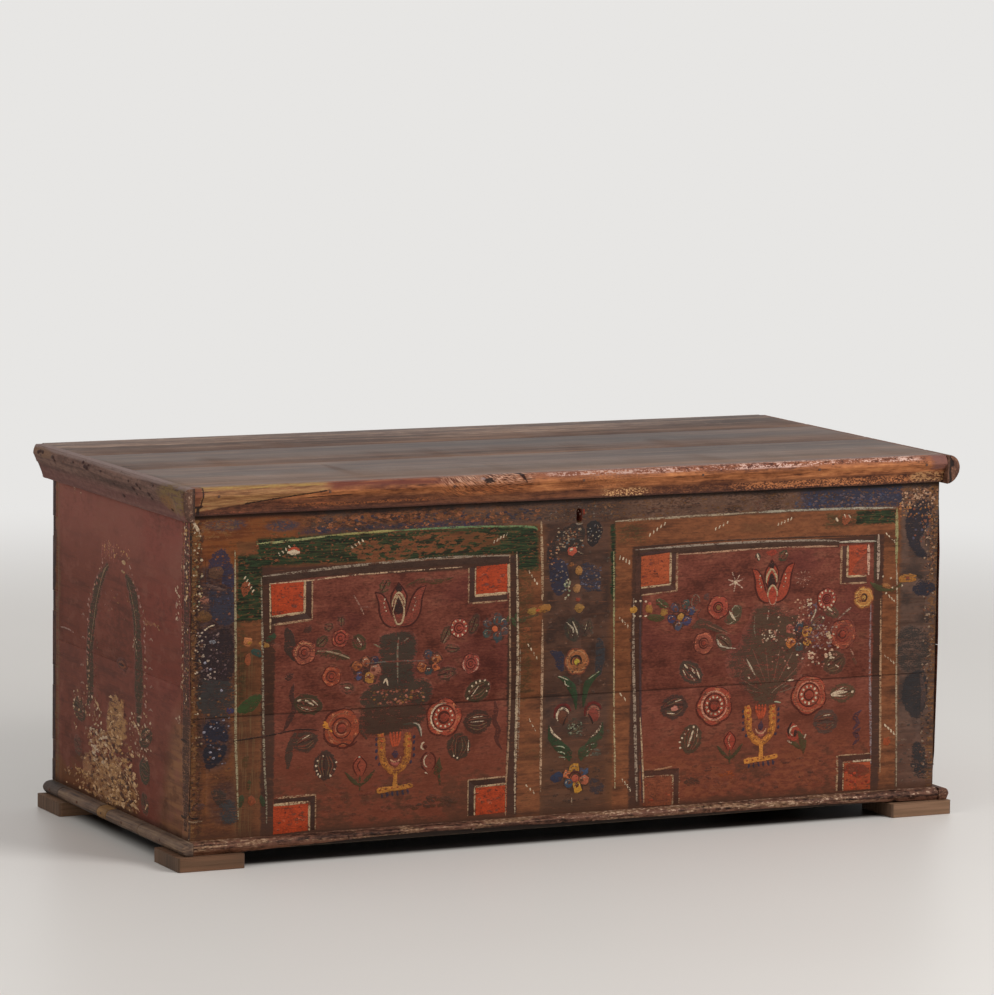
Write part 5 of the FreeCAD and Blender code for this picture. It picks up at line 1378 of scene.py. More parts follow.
    # garland at the left frame
    for across, up in ((100, 317), (108, 317), (117, 316), (98, 295), (108, 294), (117, 294)):
        dab(across, up, 3.6, 2.8, 0, BONE, 5, 0.8)
    dab(97, 305, 13, 9, 0, "#a77c35", 3, 0.85)
    dab(123, 304, 11, 16, 10, "#88612f", 4, 0.9)
    dab(123.5, 312, 5, 4, 0, "#b0584a", 5, 0.9)
    dab(148, 298, 12, 10, 20, "#8c6a34", 4, 0.9)
    dab(145, 311, 24, 12, -30, "#3b4428", 3, 0.85)
    line([(136, 318), (146, 309), (156, 304)], 1.2, "#8c8f70", 5, 0.6)
    dab(134, 290, 30, 11, -5, "#3d3f22", 2, 0.8)
    posy(brush, 177, 290, [(-11, 14, 13, "#3c3f52"), (8, 18, 12, "#2f4a48"), (17, 8, 13, "#30405f"),
            (-16, -3, 12, "#2c3558"), (-4, -14, 13, "#3a4558"), (11, -7, 13, "#323a5c")], "#a07a3a", 12, 0.9)
    line(arc_points(202, 310, 7, 0, 300, 1.7), 1.8, "#6f6a5c", 3, 0.6)
    dab(202, 310, 9, 18, 0, "#44352c", 2, 0.6)
    dab(221, 318, 10, 9, 0, "#4a3f3f", 3, 0.6)
    rosette(brush, 241, 300.6, 18.5, "#8f4234",
            rings=((0.8, 1.4, "#a35c48", 100, 260), (0.42, 2.2, WINE, 0, 350)), heart="#7a5a34", hold=0.85)
    fill([(252, 280), (262, 291), (276, 302), (281, 290), (274, 277), (258, 274)], "#45412f", 2, 0.8)
    line([(260, 294), (266, 285), (271, 279)], (2, 4, 2), BONE, 5, 0.92)
    line(arc_points(271, 293, 6.5, 20, 330, 1.3), 1.4, "#7f8470", 4, 0.6)
    line([(253, 276), (260, 274), (268, 278)], 1.4, "#8a8a74", 4, 0.6)
    line([(196, 272), (214, 277), (234, 270), (256, 262)], (8, 12, 10, 4), "#45382b", 1, 0.7, 2)
    line([(220, 276), (238, 268), (262, 258)], 1.6, "#7a5a4a", 4, 0.5)
    line([(212, 300), (206, 288), (224, 280)], 2, "#4a332a", 2, 0.6)
    rosette(brush, 217, 247, 17.5, "#86493a",
            rings=((0.8, 1.4, "#a8604a", 0, 200), (0.44, 2.0, WINE, 0, 350)), hold=0.85)
    leaf(brush, 251, 247, 30, 20, -40, "#4a3b2d",
         strokes=(((-0.4, -0.2), (0.1, -0.34), 2.0), ((-0.3, 0.2), (0.0, 0.3), 1.4)))
    line([(240, 252), (243, 243), (256, 238), (272, 236)], 1.8, "#a8a394", 5, 0.66)
    for lean, reach in ((20, 17), (60, 13), (112, 17), (160, 14), (200, 12), (258, 15), (322, 16)):
        tip = math.radians(lean)
        line([(270, 337.6), round_from(270, 337.6, reach, tip)], (2.6, 1.4), "#b39a8a", 4, 0.66)
    dab(270, 337.6, 5, 5, 0, BONE, 5, 0.8)
    for lean in range(0, 360, 33):
        tip = math.radians(lean + 10)
        line([(387, 337.6), round_from(387, 337.6, 14, tip)], 1.2, "#a88474", 4, 0.42)
    # tulip at the top
    tulip(brush, 332, 302, "#94402d", 0.9, outline="#401a12")
    fill([(334, 331), (327, 321), (327, 308), (334, 300), (341, 308), (341, 321)], "#983e2c", 5, 0.95)
    line([(326, 312), (327, 322), (334, 330), (341, 322), (342, 312)], 2.6, CREAM, 7, 0.88)
    line([(327, 312), (330, 303), (334, 300), (339, 303), (341, 312)], 1.4, "#a88472", 7, 0.6)
    dab(308, 375, 7, 14, 15, "#35342a", 2, 0.7)
    line([(306, 380), (308, 374), (310, 370)], (2, 3.2, 1.6), BONE, 4, 0.85)
    leaf(brush, 352, 375, 17, 12, 50, "#2f3a2a", hold=0.75)
    dab(357, 378, 3, 2, 0, BONE, 4, 0.6)
    dab(332, 380, 15, 9, 0, "#8e3a2c", 1, 0.7, 2)
    # dark heart of leaves with fine pale ribs
    fill([(304, 286), (318, 294), (340, 288), (352, 278), (372, 280), (380, 264), (372, 240), (378, 214),
          (372, 190), (350, 172), (336, 152), (316, 150), (300, 170), (288, 196), (296, 222),
          (302, 250)], "#45382b", 1, 0.8, 9)
    fill([(266, 216), (288, 238), (298, 264), (318, 288), (346, 290), (362, 272), (380, 262), (392, 234),
          (378, 204), (354, 172), (320, 166), (284, 184)], "#44352a", 0, 0.6, 12)
    fill([(286, 206), (300, 214), (304, 196), (296, 176), (284, 186)], "#40322a", 1, 0.7, 8)
    for lean, reach, start in ((-62, 44, 20), (-40, 52, 26), (-24, 56, 24), (-8, 52, 22), (12, 50, 20),
            (30, 58, 22), (48, 54, 24),
                               (62, 42, 20), (-75, 34, 14), (76, 34, 12)):
        tip = math.radians(90 - lean)
        rib = [round_from(334, 160, far, tip) for far in (start, start + reach)]
        line(rib, (1.2, 2.0), "#6a5a4c", 3, 0.42)
    line([(291, 219), (299, 205), (306, 193)], (1.6, 2.6, 1.4), "#a39a88", 5, 0.72)
    line([(294, 192), (297, 187)], 2.2, BONE, 5, 0.7)
    line([(304, 284), (303, 268), (306, 252)], 1.6, "#6a6a5c", 4, 0.5)
    line([(328, 292), (326, 278)], 2.4, "#a39a8a", 5, 0.6)
    line([(363, 181), (374, 182)], 2.4, BONE, 5, 0.8)
    line([(336, 164), (346, 172), (362, 180)], 1.4, "#7a6a5a", 4, 0.6)
    line([(341, 150), (352, 148)], 2.2, "#8f9a84", 5, 0.7)
    crumbs(313, 344, 243, 262, [BONE, "#a87c6a", "#8c6450"], 34, (1.0, 2.8), 5, 0.8)
    crumbs(374, 402, 288, 306, [BONE, "#b08a72", "#8c5a48"], 30, (1.0, 3.0), 5, 0.8)
    crumbs(345, 400, 268, 300, ["#8c5a48", "#a8806c"], 26, (0.8, 2.0), 5, 0.7)
    crumbs(399, 410, 212, 226, [BONE, "#b89a84"], 12, (1.4, 3.4), 5, 0.9)
    crumbs(424, 440, 212, 226, [BONE, "#b89a84"], 12, (1.4, 3.6), 5, 0.9)
    dab(434, 248, 8, 13, 10, "#b5a084", 4, 0.9)
    crumbs(405, 440, 228, 268, ["#6c5560", "#8c6a5c", "#9a8a80"], 50, (1.0, 3.8), 4, 0.7)
    crumbs(335, 452, 198, 290, ["#8c5f50", "#a3796a", "#3b2a26", "#33302a", BONE], 150,
           (1.0, 3.2), 4, 0.55, 1.3)
    crumbs(396, 412, 240, 300, ["#4a4448", "#5c5260", "#3c3634"], 40, (1.4, 4.0), 3, 0.6, 1.0)
    # right side's flowers
    posy(brush, 380, 249, [(2, 15, 16, "#263d48"), (-15, 12, 13, "#99584b"), (15, 7, 16, "#a07439"),
            (-13, -10, 15, "#ab6a34"), (2, -16, 14, "#3c4a4a"), (16, -10, 12, "#a87a3c")], DARK, 9, 0.88)
    rosette(brush, 429, 304, 17, "#8b4035", rings=((0.42, 2.0, WINE, 0, 350),),
            dots=(12, 0.76, 2.6), heart="#7a3030")
    leaf(brush, 436, 285, 30, 14, -35, "#4c3e2f", strokes=(((-0.3, 0.1), (0.1, 0.1), 2.6),))
    line([(400, 268), (408, 282), (410, 290)], (1.4, 2.2, 3.0), "#a59c88", 5, 0.7)
    line([(450, 272), (462, 282), (472, 289)], (1.4, 2.4, 3.0), "#96897a", 5, 0.7)
    leaf(brush, 413, 268, 26, 16, 40, "#453a30", hold=0.7)
    rosette(brush, 493.5, 303, 17.5, "#ab7a42", rings=((0.76, 1.8, "#bf9a5c", 0, 340),), heart="#b08a4a",
            edge="#7c4a2a", lobes=7)
    line(arc_points(493.5, 303, 5.5, -120, 120), 2.4, "#3a2a1c", 6, 0.9)
    rosette(brush, 458, 248, 24, "#85402f",
            rings=((0.7, 1.6, "#96503c", 0, 340), (0.45, 2.0, "#6a2a22", 0, 340)), hold=0.6)
    # garland across the right frame and band
    line([(505, 326), (522, 316), (546, 314), (560, 322)], (5, 9, 8, 4), "#3f4227", 3, 0.75)
    line([(556, 328), (570, 330), (586, 329)], (10, 13, 11), "#96682f", 4, 0.92, ends=0.7)
    dab(571, 329, 7, 6, 0, "#96482a", 5, 0.7)
    dab(534, 319, 16, 8, -20, "#97683e", 4, 0.8)
    for across, up in ((541, 331), (527, 334), (552, 337), (533, 308), (544, 316), (552, 314), (561, 318)):
        dab(across, up, 3.4, 2.4, 60, BONE, 5, 0.8)
    fill([(580, 312), (592, 324), (612, 322), (618, 310), (606, 302), (590, 304)], "#1f2230", 3, 0.78, 2.6)
    dab(592, 331, 12, 6, -20, "#2b241f", 3, 0.8)
    # leaves and the large roses
    leaf(brush, 196, 203, 44, 30, -42, "#3a342c",
         strokes=(((-0.4, 0.06), (-0.2, 0.04), 2.6), ((-0.12, 0.18), (0.12, 0.1), 3.0),
                  ((0.1, 0.3), (0.4, 0.1), 2.0), ((-0.3, -0.2), (-0.1, -0.3), 1.4),
                  ((0.0, -0.1), (0.3, -0.16), 1.4)))
    leaf(brush, 168, 152, 44, 36, 8, "#382c27",
         strokes=(((-0.3, -0.2), (0.0, -0.3), 1.2), ((0.0, 0.2), (0.3, 0.24), 1.0)))
    fill([(163, 149), (169, 153), (175, 149), (169, 146)], "#b0766a", 4, 0.9)
    leaf(brush, 198, 101, 44, 34, 75, "#413729",
         strokes=(((0.3, 0.0), (-0.3, 0.06), 3.2), ((0.4, -0.2), (0.1, -0.26), 1.4)),
         dots=((0.42, 0.02, 3.0), (0.28, 0.24, 2.2), (0.12, 0.38, 2.6), (-0.04, 0.46, 2.8),
               (-0.2, 0.5, 2.8), (-0.4, 0.42, 3.2)))
    rosette(brush, 237, 150, 31, "#924231",
            rings=((0.7, 3.0, "#b58672", 0, 352), (0.58, 2.4, WINE, 0, 350), (0.3, 1.8, WINE, 0, 345)),
            dots=(12, 0.42, 3.0))
    rosette(brush, 401, 157, 31, "#944633",
            rings=((0.82, 2.0, "#905843", 0, 350), (0.66, 2.2, "#b07560", 20, 200), (0.58, 2.0, WINE, 0, 350),
                   (0.27, 1.8, WINE, 0, 345)), dots=(11, 0.42, 3.2))
    leaf(brush, 444.5, 204, 38, 34, 30, "#453426",
         strokes=(((-0.05, 0.35), (0.1, 0.2), 2.8), ((0.0, -0.1), (0.1, -0.3), 2.0),
                  ((-0.3, 0.1), (-0.1, 0.1), 1.6)))
    line([(474, 218), (478, 208), (483, 200)], 5, "#4a3524", 2, 0.6)
    line([(472, 224), (478, 214)], 2.4, "#9a7a6a", 4, 0.6)
    leaf(brush, 460, 157, 42, 27, 5, "#493c2a", hold=0.75, strokes=(
        ((-0.5, 0.0), (0.1, 0.34), 2.2), ((-0.5, -0.02), (0.16, 0.18), 3.2),
        ((-0.5, -0.04), (0.2, 0.02), 2.6),
        ((-0.48, -0.08), (0.1, -0.2), 1.8), ((0.36, -0.06), (0.46, -0.02), 3.4)))
    leaf(brush, 431, 114, 42, 36, 0, "#463832", hold=0.75, strokes=(((-0.1, 0.24), (0.2, 0.28), 1.2),))
    urn(brush, 319, 63, -0.02, "#a2672f", "#bb7f39")
    bud(brush, 264.8, 95, 20, 28, "#8c3a2c", "#383722")
    line([(266, 104), (262, 94), (266, 84)], 1.6, "#b07a62", 4, 0.7)
    fill([(372, 113), (364, 101), (368, 90), (380, 88), (390, 98), (382, 108)], "#8e3c2c", 1, 0.85)
    line([(372, 116), (366, 104), (368, 94)], (2, 3.4, 2), "#241814", 3, 0.9)
    line([(381, 110), (372, 108), (369, 100), (374, 95)], (1.6, 2.2, 2.4, 1.4), "#b5a48e", 5, 0.85)
    dab(378, 99, 7, 12, -20, "#2a1c16", 4, 0.8)
    line([(383, 102), (392, 84), (393, 66)], (5, 12, 4), "#423d25", 2, 0.85)
    line([(366, 86), (378, 82), (390, 72)], (2, 7, 3), "#423d25", 2, 0.8)
    line([(364, 88), (372, 84)], 2.4, BONE, 5, 0.75)
    line([(397, 97), (394, 90)], 2.4, BONE, 5, 0.75)
    line([(494, 128), (483, 118), (488, 108), (480, 98)], (4, 9, 8, 4), "#3f2c38", 2, 0.75)
    line([(493, 100), (484, 92), (489, 84), (480, 74)], (4, 9, 8, 4), "#3f2a33", 2, 0.7)
    crumbs(190, 450, 16, 60, ["#6a3a26", "#4d2f26", "#6c3d30"], 70, (2, 6), 0, 0.4, 2.4)
    dab(260, 42, 24, 12, 0, "#83401f", 1, 0.4, 3)
    dab(202, 34, 26, 12, 0, "#3f2c22", 1, 0.5, 3)
    return brush.done(front_strokes, "painted_front_wood", (SEAM_LEVEL,))


def middle_strip_painting():
    """Flowers one over another between the panels, from the keyhole to the foot."""
    brush = front_brush("middle_strip_painting", 63)
    line, dab, fill, crumbs = brush.line, brush.dab, brush.fill, brush.crumbs
    fill([(17, 437), (30, 442), (41, 432), (38, 416), (28, 405), (18, 412)], "#1c1e22", 1, 0.9, 1.5)
    fill([(-36, 420), (-20, 434), (2, 438), (12, 426), (6, 408), (-14, 400), (-36, 402)],
         "#282625", 1, 0.72, 2.5)
    fill([(-44, 412), (-34, 404), (-36, 392), (-46, 380), (-50, 396)], "#2a2526", 1, 0.65, 2)
    fill([(-45, 384), (-30, 388), (-16, 372), (-17, 344), (-30, 333), (-42, 350)], "#25283a", 1, 0.85, 1.8)
    fill([(5, 372), (22, 378), (36, 368), (40, 346), (28, 338), (10, 344)], "#2c2f3f", 1, 0.75, 2)
    line([(14, 336), (30, 338), (42, 336)], 3, "#2b2b33", 2, 0.7)
    crumbs(-34, 10, 404, 434, ["#5c6466", "#83796a", "#7a4a30", "#97826a"], 70, (1.0, 2.8), 4, 0.75)
    crumbs(18, 40, 410, 438, ["#8d8676", "#5a5f66"], 24, (0.8, 2.0), 4, 0.75)
    crumbs(-44, -14, 336, 384, ["#4a4f66", "#7a6c62"], 26, (1.0, 2.4), 4, 0.7)
    crumbs(8, 40, 340, 374, ["#585a6c", "#7c6a5e"], 36, (1.0, 2.8), 4, 0.7)
    crumbs(-50, -30, 380, 416, ["#8a5438", "#a08068"], 22, (1.0, 2.8), 4, 0.8)
    dab(-8, 398, 17, 15, 0, "#a3513f", 5, 0.9)
    dab(-10, 401, 7, 4, 20, BONE, 6, 0.8)
    line([(0, 398), (10, 393)], 2, "#8a7a66", 5, 0.6)
    dab(3, 368, 12, 14, 0, "#936b3c", 5, 0.88)
    dab(-9, 378, 8, 7, 0, "#8a5a34", 5, 0.7)
    dab(1, 341, 14, 14, 30, "#946e48", 5, 0.88)
    dab(4, 311, 14, 15, 0, "#8a6938", 5, 0.9)
    dab(3, 325, 8, 6, 0, "#7c3a2a", 4, 0.7)
    crumbs(-20, -11, 322, 356, ["#9aa088", "#7c8a70", BONE], 18, (1.6, 3.6), 5, 0.8, 1.0)
    for top, foot, bow in ((291, 270, 6), (292, 268, -4)):
        line([(-10 - bow, top), (-2 - bow / 2, (top + foot) / 2), (0 - bow, foot)],
             (1.4, 2.6, 1.4), "#a8a08e", 5, 0.75)
    leaf(brush, -6, 280, 34, 24, 100, "#34332b", hold=0.7)
    leaf(brush, 18, 282, 24, 18, 70, "#3f3a31", hold=0.55, strokes=(((-0.3, 0.1), (0.2, 0.1), 1.6),))
    fill([(-42, 248), (-24, 246), (-19, 232), (-22, 218), (-32, 226), (-34, 238)], "#25273a", 1, 0.85, 1.6)
    fill([(36, 262), (46, 256), (48, 236), (44, 214), (36, 206), (34, 228)], "#2c2e33", 1, 0.75, 2)
    rosette(brush, 2, 231, 20.5, "#935e3a", rings=((0.78, 1.8, "#9c7250", 0, 340),), heart="#a3943a",
            edge="#6a3828", lobes=6, hold=0.9)
    line(arc_points(1, 231, 8.5, -30, 210), 2.6, "#2a1c16", 6, 0.9)
    dab(2, 230, 9, 9, 0, "#a8983a", 6, 0.95)
    # green leaves and the pair of tulips
    line([(-30, 209), (-18, 205), (-6, 192), (0, 176), (2, 158)], (3, 9, 14, 8, 4), "#243c24", 3, 0.88)
    line([(43, 214), (30, 205), (20, 194), (16, 176), (14, 162)], (3, 9, 12, 8, 4), "#243a22", 3, 0.88)
    line([(-28, 210), (-20, 207), (-12, 203)], 1.6, "#a8a592", 5, 0.75)
    line([(-18, 203), (-16, 197), (-10, 193)], 1.6, "#a8a592", 5, 0.75)
    line([(22, 203), (32, 209), (40, 214)], 1.6, "#8a9278", 5, 0.6)
    for middle, flip in ((-20, 1), (31, -1)):
        line(arc_points(middle, 150, 14, 20, 190, 1.2), 4.5, "#5c1f1c", 2, 0.88)
        dab(middle, 148, 17, 24, 0, "#5c3829" if flip > 0 else "#7c3a30", 2, 0.8)
        line(arc_points(middle, 149, 10, 95 - flip * 80, 95 + flip * 120, 1.15), 3.2,
             BONE if flip > 0 else "#8f5d4e", 5, 0.74)
        line([(middle + flip * 8, 150), (middle + flip * 3, 142), (middle, 134)], 2.2, "#241815", 4, 0.85)
    leaf(brush, 0, 130, 26, 26, 30, "#3a3a30", hold=0.6)
    crumbs(-10, 14, 118, 140, ["#848c78", "#6a7464"], 26, (0.8, 2.0), 5, 0.8)
    for flip in (1, -1):
        middle = 2
        line([(middle - flip * 45, 136), (middle - flip * 42, 118), (middle - flip * 28, 104),
              (middle - flip * 12, 90), (middle - flip * 10, 80)], (3, 9, 17, 16, 6),
              "#243a24" if flip > 0 else "#303f2a", 2, 0.85 if flip > 0 else 0.75, 1.2)
        line([(middle - flip * 43, 134), (middle - flip * 38, 124), (middle - flip * 24, 113)],
             (1.4, 3.2, 1.6), BONE, 5, 0.85 if flip > 0 else 0.45)
        for up in (104, 95, 87):
            line([(middle - flip * (33 - (104 - up) * 0.3), up),
                  (middle - flip * (24 - (104 - up) * 0.3), up - 1), (middle - flip * 18, up - 4)], 1.5,
                  "#95a08a", 5, 0.75 if flip > 0 else 0.35)
    dab(38, 90, 18, 12, 0, "#4f5148", 3, 0.7)
    fill([(-38, 58), (-26, 64), (-18, 58), (-24, 50), (-36, 50)], "#22304a", 2, 0.85, 1.4)
    posy(brush, 2, 53, [(-2, 13, 17, "#a0742c"), (14, 9, 13, "#384a66"), (14, -4, 14, "#a05c44"),
            (4, -14, 15, "#b58730"), (-11, -7, 13, "#30465c"), (-13, 6, 13, "#b0653f")], "#9c4f3c", 13, 0.95)
    line(arc_points(2, 53, 10, 10, 175), 3.4, "#45211e", 6, 0.92)
    fill([(30, 50), (44, 46), (50, 34), (40, 28), (28, 34)], "#332f35", 1, 0.6, 3)
    crumbs(-50, 50, 18, 76, ["#352c28", "#4a2f22"], 40, (2, 6), 0, 0.4, 2.4)
    line([(-3.5, 26), (-3, 12)], 1.4, "#9a8a76", 4, 0.5)
    crumbs(-55, 60, 446, 466, ["#6a625c", "#3a3431", "#7a5a42"], 80, (0.8, 2.2), 2, 0.6)
    crumbs(-58, 58, 60, 440, ["#3c3029", "#6f5342", "#4a4740"], 150, (1.0, 3.4), 0, 0.4, 2.0)
    # the keyhole's rubbed rim
    line([(-3, 440), (3, 438.5), (9, 440)], 1.8, "#83796c", 4, 0.7)
    line([(10.2, 452), (10.4, 458), (9, 463)], 1.8, "#7c2f20", 4, 0.85)
    return brush.done(front_strokes, "painted_front_wood", (SEAM_LEVEL,))


def end_zone_paintings():
    """Blue-black blots and flakes of old paint between the panels and the corners."""
    brush = front_brush("left_zone_painting", 64)
    line, dab, fill, crumbs = brush.line, brush.dab, brush.fill, brush.crumbs
    fill([(-588, 420), (-577, 427), (-567, 418), (-562, 404), (-557, 390), (-558, 372), (-572, 378),
          (-578, 396), (-596, 402)], "#2a2a40", 1, 0.82, 3.5)
    fill([(-593, 367), (-575, 363), (-560, 369), (-557, 345), (-558, 322), (-575, 318), (-590, 332)],
         "#2b2d3c", 1, 0.8, 4)
    dab(-585, 393, 26, 19, 10, "#573e2f", 3, 0.8)
    dab(-603, 330, 24, 17, 0, "#5f4327", 3, 0.88)
    dab(-603, 353, 16, 12, 20, "#85594a", 3, 0.7)
    line([(-600, 376), (-588, 372), (-568, 367)], (4, 6, 3), "#5a4640", 3, 0.7)
    fill([(-609, 306), (-592, 302), (-572, 310), (-560, 298), (-557, 262), (-560, 240), (-580, 232),
          (-602, 240), (-612, 262)], "#241b1f", 1, 0.8, 6)
    fill([(-609, 232), (-585, 236), (-560, 226), (-557, 190), (-575, 182), (-605, 190), (-612, 210)],
         "#2e2f30", 1, 0.74, 6)
    dab(-562, 190, 12, 10, 0, "#2a2f55", 2, 0.8)
    fill([(-600, 166), (-590, 176), (-576, 172), (-567, 158), (-566, 147), (-582, 148), (-598, 146)],
         "#1d1f2e", 2, 0.88, 3)
    fill([(-600, 138), (-580, 140), (-568, 136), (-572, 122), (-590, 106), (-599, 112)], "#191b26", 2, 0.9,
         2.5)
    fill([(-573, 58), (-556, 52), (-550, 30), (-562, 24), (-574, 34)], "#31363a", 2, 0.66, 5)
    fill([(-588, 72), (-572, 70), (-566, 58), (-578, 52), (-586, 60)], "#302b27", 2, 0.6, 2)
    for across, up in ((-592, 130), (-587, 121), (-578, 134), (-602, 160), (-575, 220),
            (-601, 262), (-592, 252)):
        dab(across, up, 4.5, 3.4, 0, "#8d8fa0", 5, 0.8)
    line([(-603, 310), (-594, 315), (-586, 317)], 1.8, BONE, 5, 0.7)
    dab(-590, 292, 11, 7, 0, "#7d8490", 5, 0.6)
    crumbs(-612, -560, 236, 308, ["#4a3a42", "#6c5c60", "#33272e"], 70, (1.0, 3.0), 4, 0.7)
    crumbs(-614, -580, 236, 316, ["#a5988c", "#8c7c78"], 34, (1.0, 3.4), 5, 0.8)
    crumbs(-592, -562, 112, 182, ["#7c7f90", "#3c3d4c"], 20, (1.0, 2.6), 5, 0.75)
    crumbs(-600, -558, 320, 420, ["#3a3f58", "#7a5040"], 36, (1.0, 3.0), 4, 0.6)
    crumbs(-600, -556, 60, 240, ["#5b3a22", "#3a322e", "#6f4a2c"], 70, (1.0, 3.4), 3, 0.6)
    line([(-610, 34), (-617, 33), (-625, 38)], 2.4, "#1a110e", 5, 0.95)
    line([(-626, 30), (-616, 28), (-604, 29)], 2.0, "#83705c", 5, 0.7)
    dab(-610, 50, 20, 10, 0, "#46302c", 3, 0.6)
    # rubbed corner
    crumbs(-624, -606, 20, 466, ["#4d3225", "#3c291f", "#5c3a2a", "#2c1d17", "#6c4c38"], 230,
           (1.4, 4.4), 4, 0.75, 1.3)
    crumbs(-621, -606, 345, 470, [BONE, "#9c8866", "#7c6a4c", "#4d4f3c"], 60, (1.0, 3.4), 6, 0.85, 1.2)
    line([(-622, 470), (-616, 462), (-611, 452)], (3, 5, 3), BONE, 6, 0.8)
    crumbs(-622, -606, 120, 345, [BONE, "#8d7a64"], 24, (0.9, 2.6), 6, 0.8, 1.2)
    # speckled strip under the lid
    crumbs(-430, -60, 446, 466, ["#7a4a2e", "#8a5a3e", "#34343f", "#2b2c3a"], 240, (1.2, 4.0), 2, 0.6, 2.2)
    crumbs(-540, -250, 400, 446, ["#6b4a32", "#3a4a32", "#7c4a2f"], 110, (1.0, 3.2), 2, 0.6, 1.8)
    brush.done(front_strokes, "painted_front_wood", (SEAM_LEVEL,))

    brush = front_brush("right_zone_painting", 65)
    line, dab, fill, crumbs = brush.line, brush.dab, brush.fill, brush.crumbs
    fill([(586, 446), (600, 450), (609, 440), (606, 420), (600, 404), (590, 386), (597, 372), (603, 362),
          (590, 364), (574, 382), (568, 404), (570, 430)], "#22222b", 1, 0.9, 3.5)
    fill([(584, 180), (602, 180), (609, 160), (605, 132), (597, 113), (582, 116), (569, 138), (570, 164)],
         "#25262a", 1, 0.88, 5)
    line([(597, 178), (604, 150), (600, 122)], (6, 9, 5), "#3c3436", 3, 0.6)
    fill([(556, 240), (580, 252), (606, 240), (610, 200), (590, 186), (562, 192)], "#2e2c2b", 0, 0.55, 5)
    fill([(590, 70), (606, 60), (612, 30), (600, 16), (586, 34)], "#22262a", 1, 0.65, 3)
    crumbs(554, 622, 440, 467, ["#94705a", "#a88a74", "#7a5240", "#33282a", "#b39a84"], 150,
           (1.2, 3.4), 5, 0.88, 1.3)
    crumbs(554, 575, 425, 448, ["#8a5a3e", "#a4774a"], 26, (1.2, 3.4), 5, 0.8, 1.3)
    crumbs(600, 618, 330, 450, ["#84604a", "#6c4a3a", "#98806c", "#30262a"], 110, (1.0, 3.2), 5, 0.85, 1.3)
    crumbs(578, 612, 384, 440, ["#97683c", "#7c4a38", "#464a60"], 44, (1.0, 3.2), 5, 0.8, 1.3)
    crumbs(600, 619, 30, 330, ["#64402f", "#5a4438", "#8a7868", "#332826"], 150, (1.0, 3.2), 5, 0.75, 1.4)
    crumbs(560, 622, 10, 110, ["#6b5a4e", "#3d3834", "#5f3a2a"], 60, (1.0, 3.0), 3, 0.6, 2.6)
    crumbs(370, 553, 446, 466, ["#544c58", "#6a5652", "#37415f", "#3f4150"], 150, (1.0, 3.0), 2, 0.75, 2.4)
    crumbs(300, 372, 446, 464, ["#64443a", "#5a4238"], 30, (1.4, 4.0), 2, 0.5, 2.4)
    brush.done(front_strokes, "painted_front_wood", (SEAM_LEVEL,))


left_panel()
right_panel()
middle_strip_painting()
end_zone_paintings()


# Painted ornament on the ends: a tree of two bowed stems with a few leaves, laid
# on thinly and half worn away, over a foot that is scraped to streaks of bare pine.
end_strokes = laid_paint_finish("end_ornament_paint", end_ground)
END_SEAM_LEVEL = (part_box("left_end_upper_board")[0].z - wall_bottom) / MM


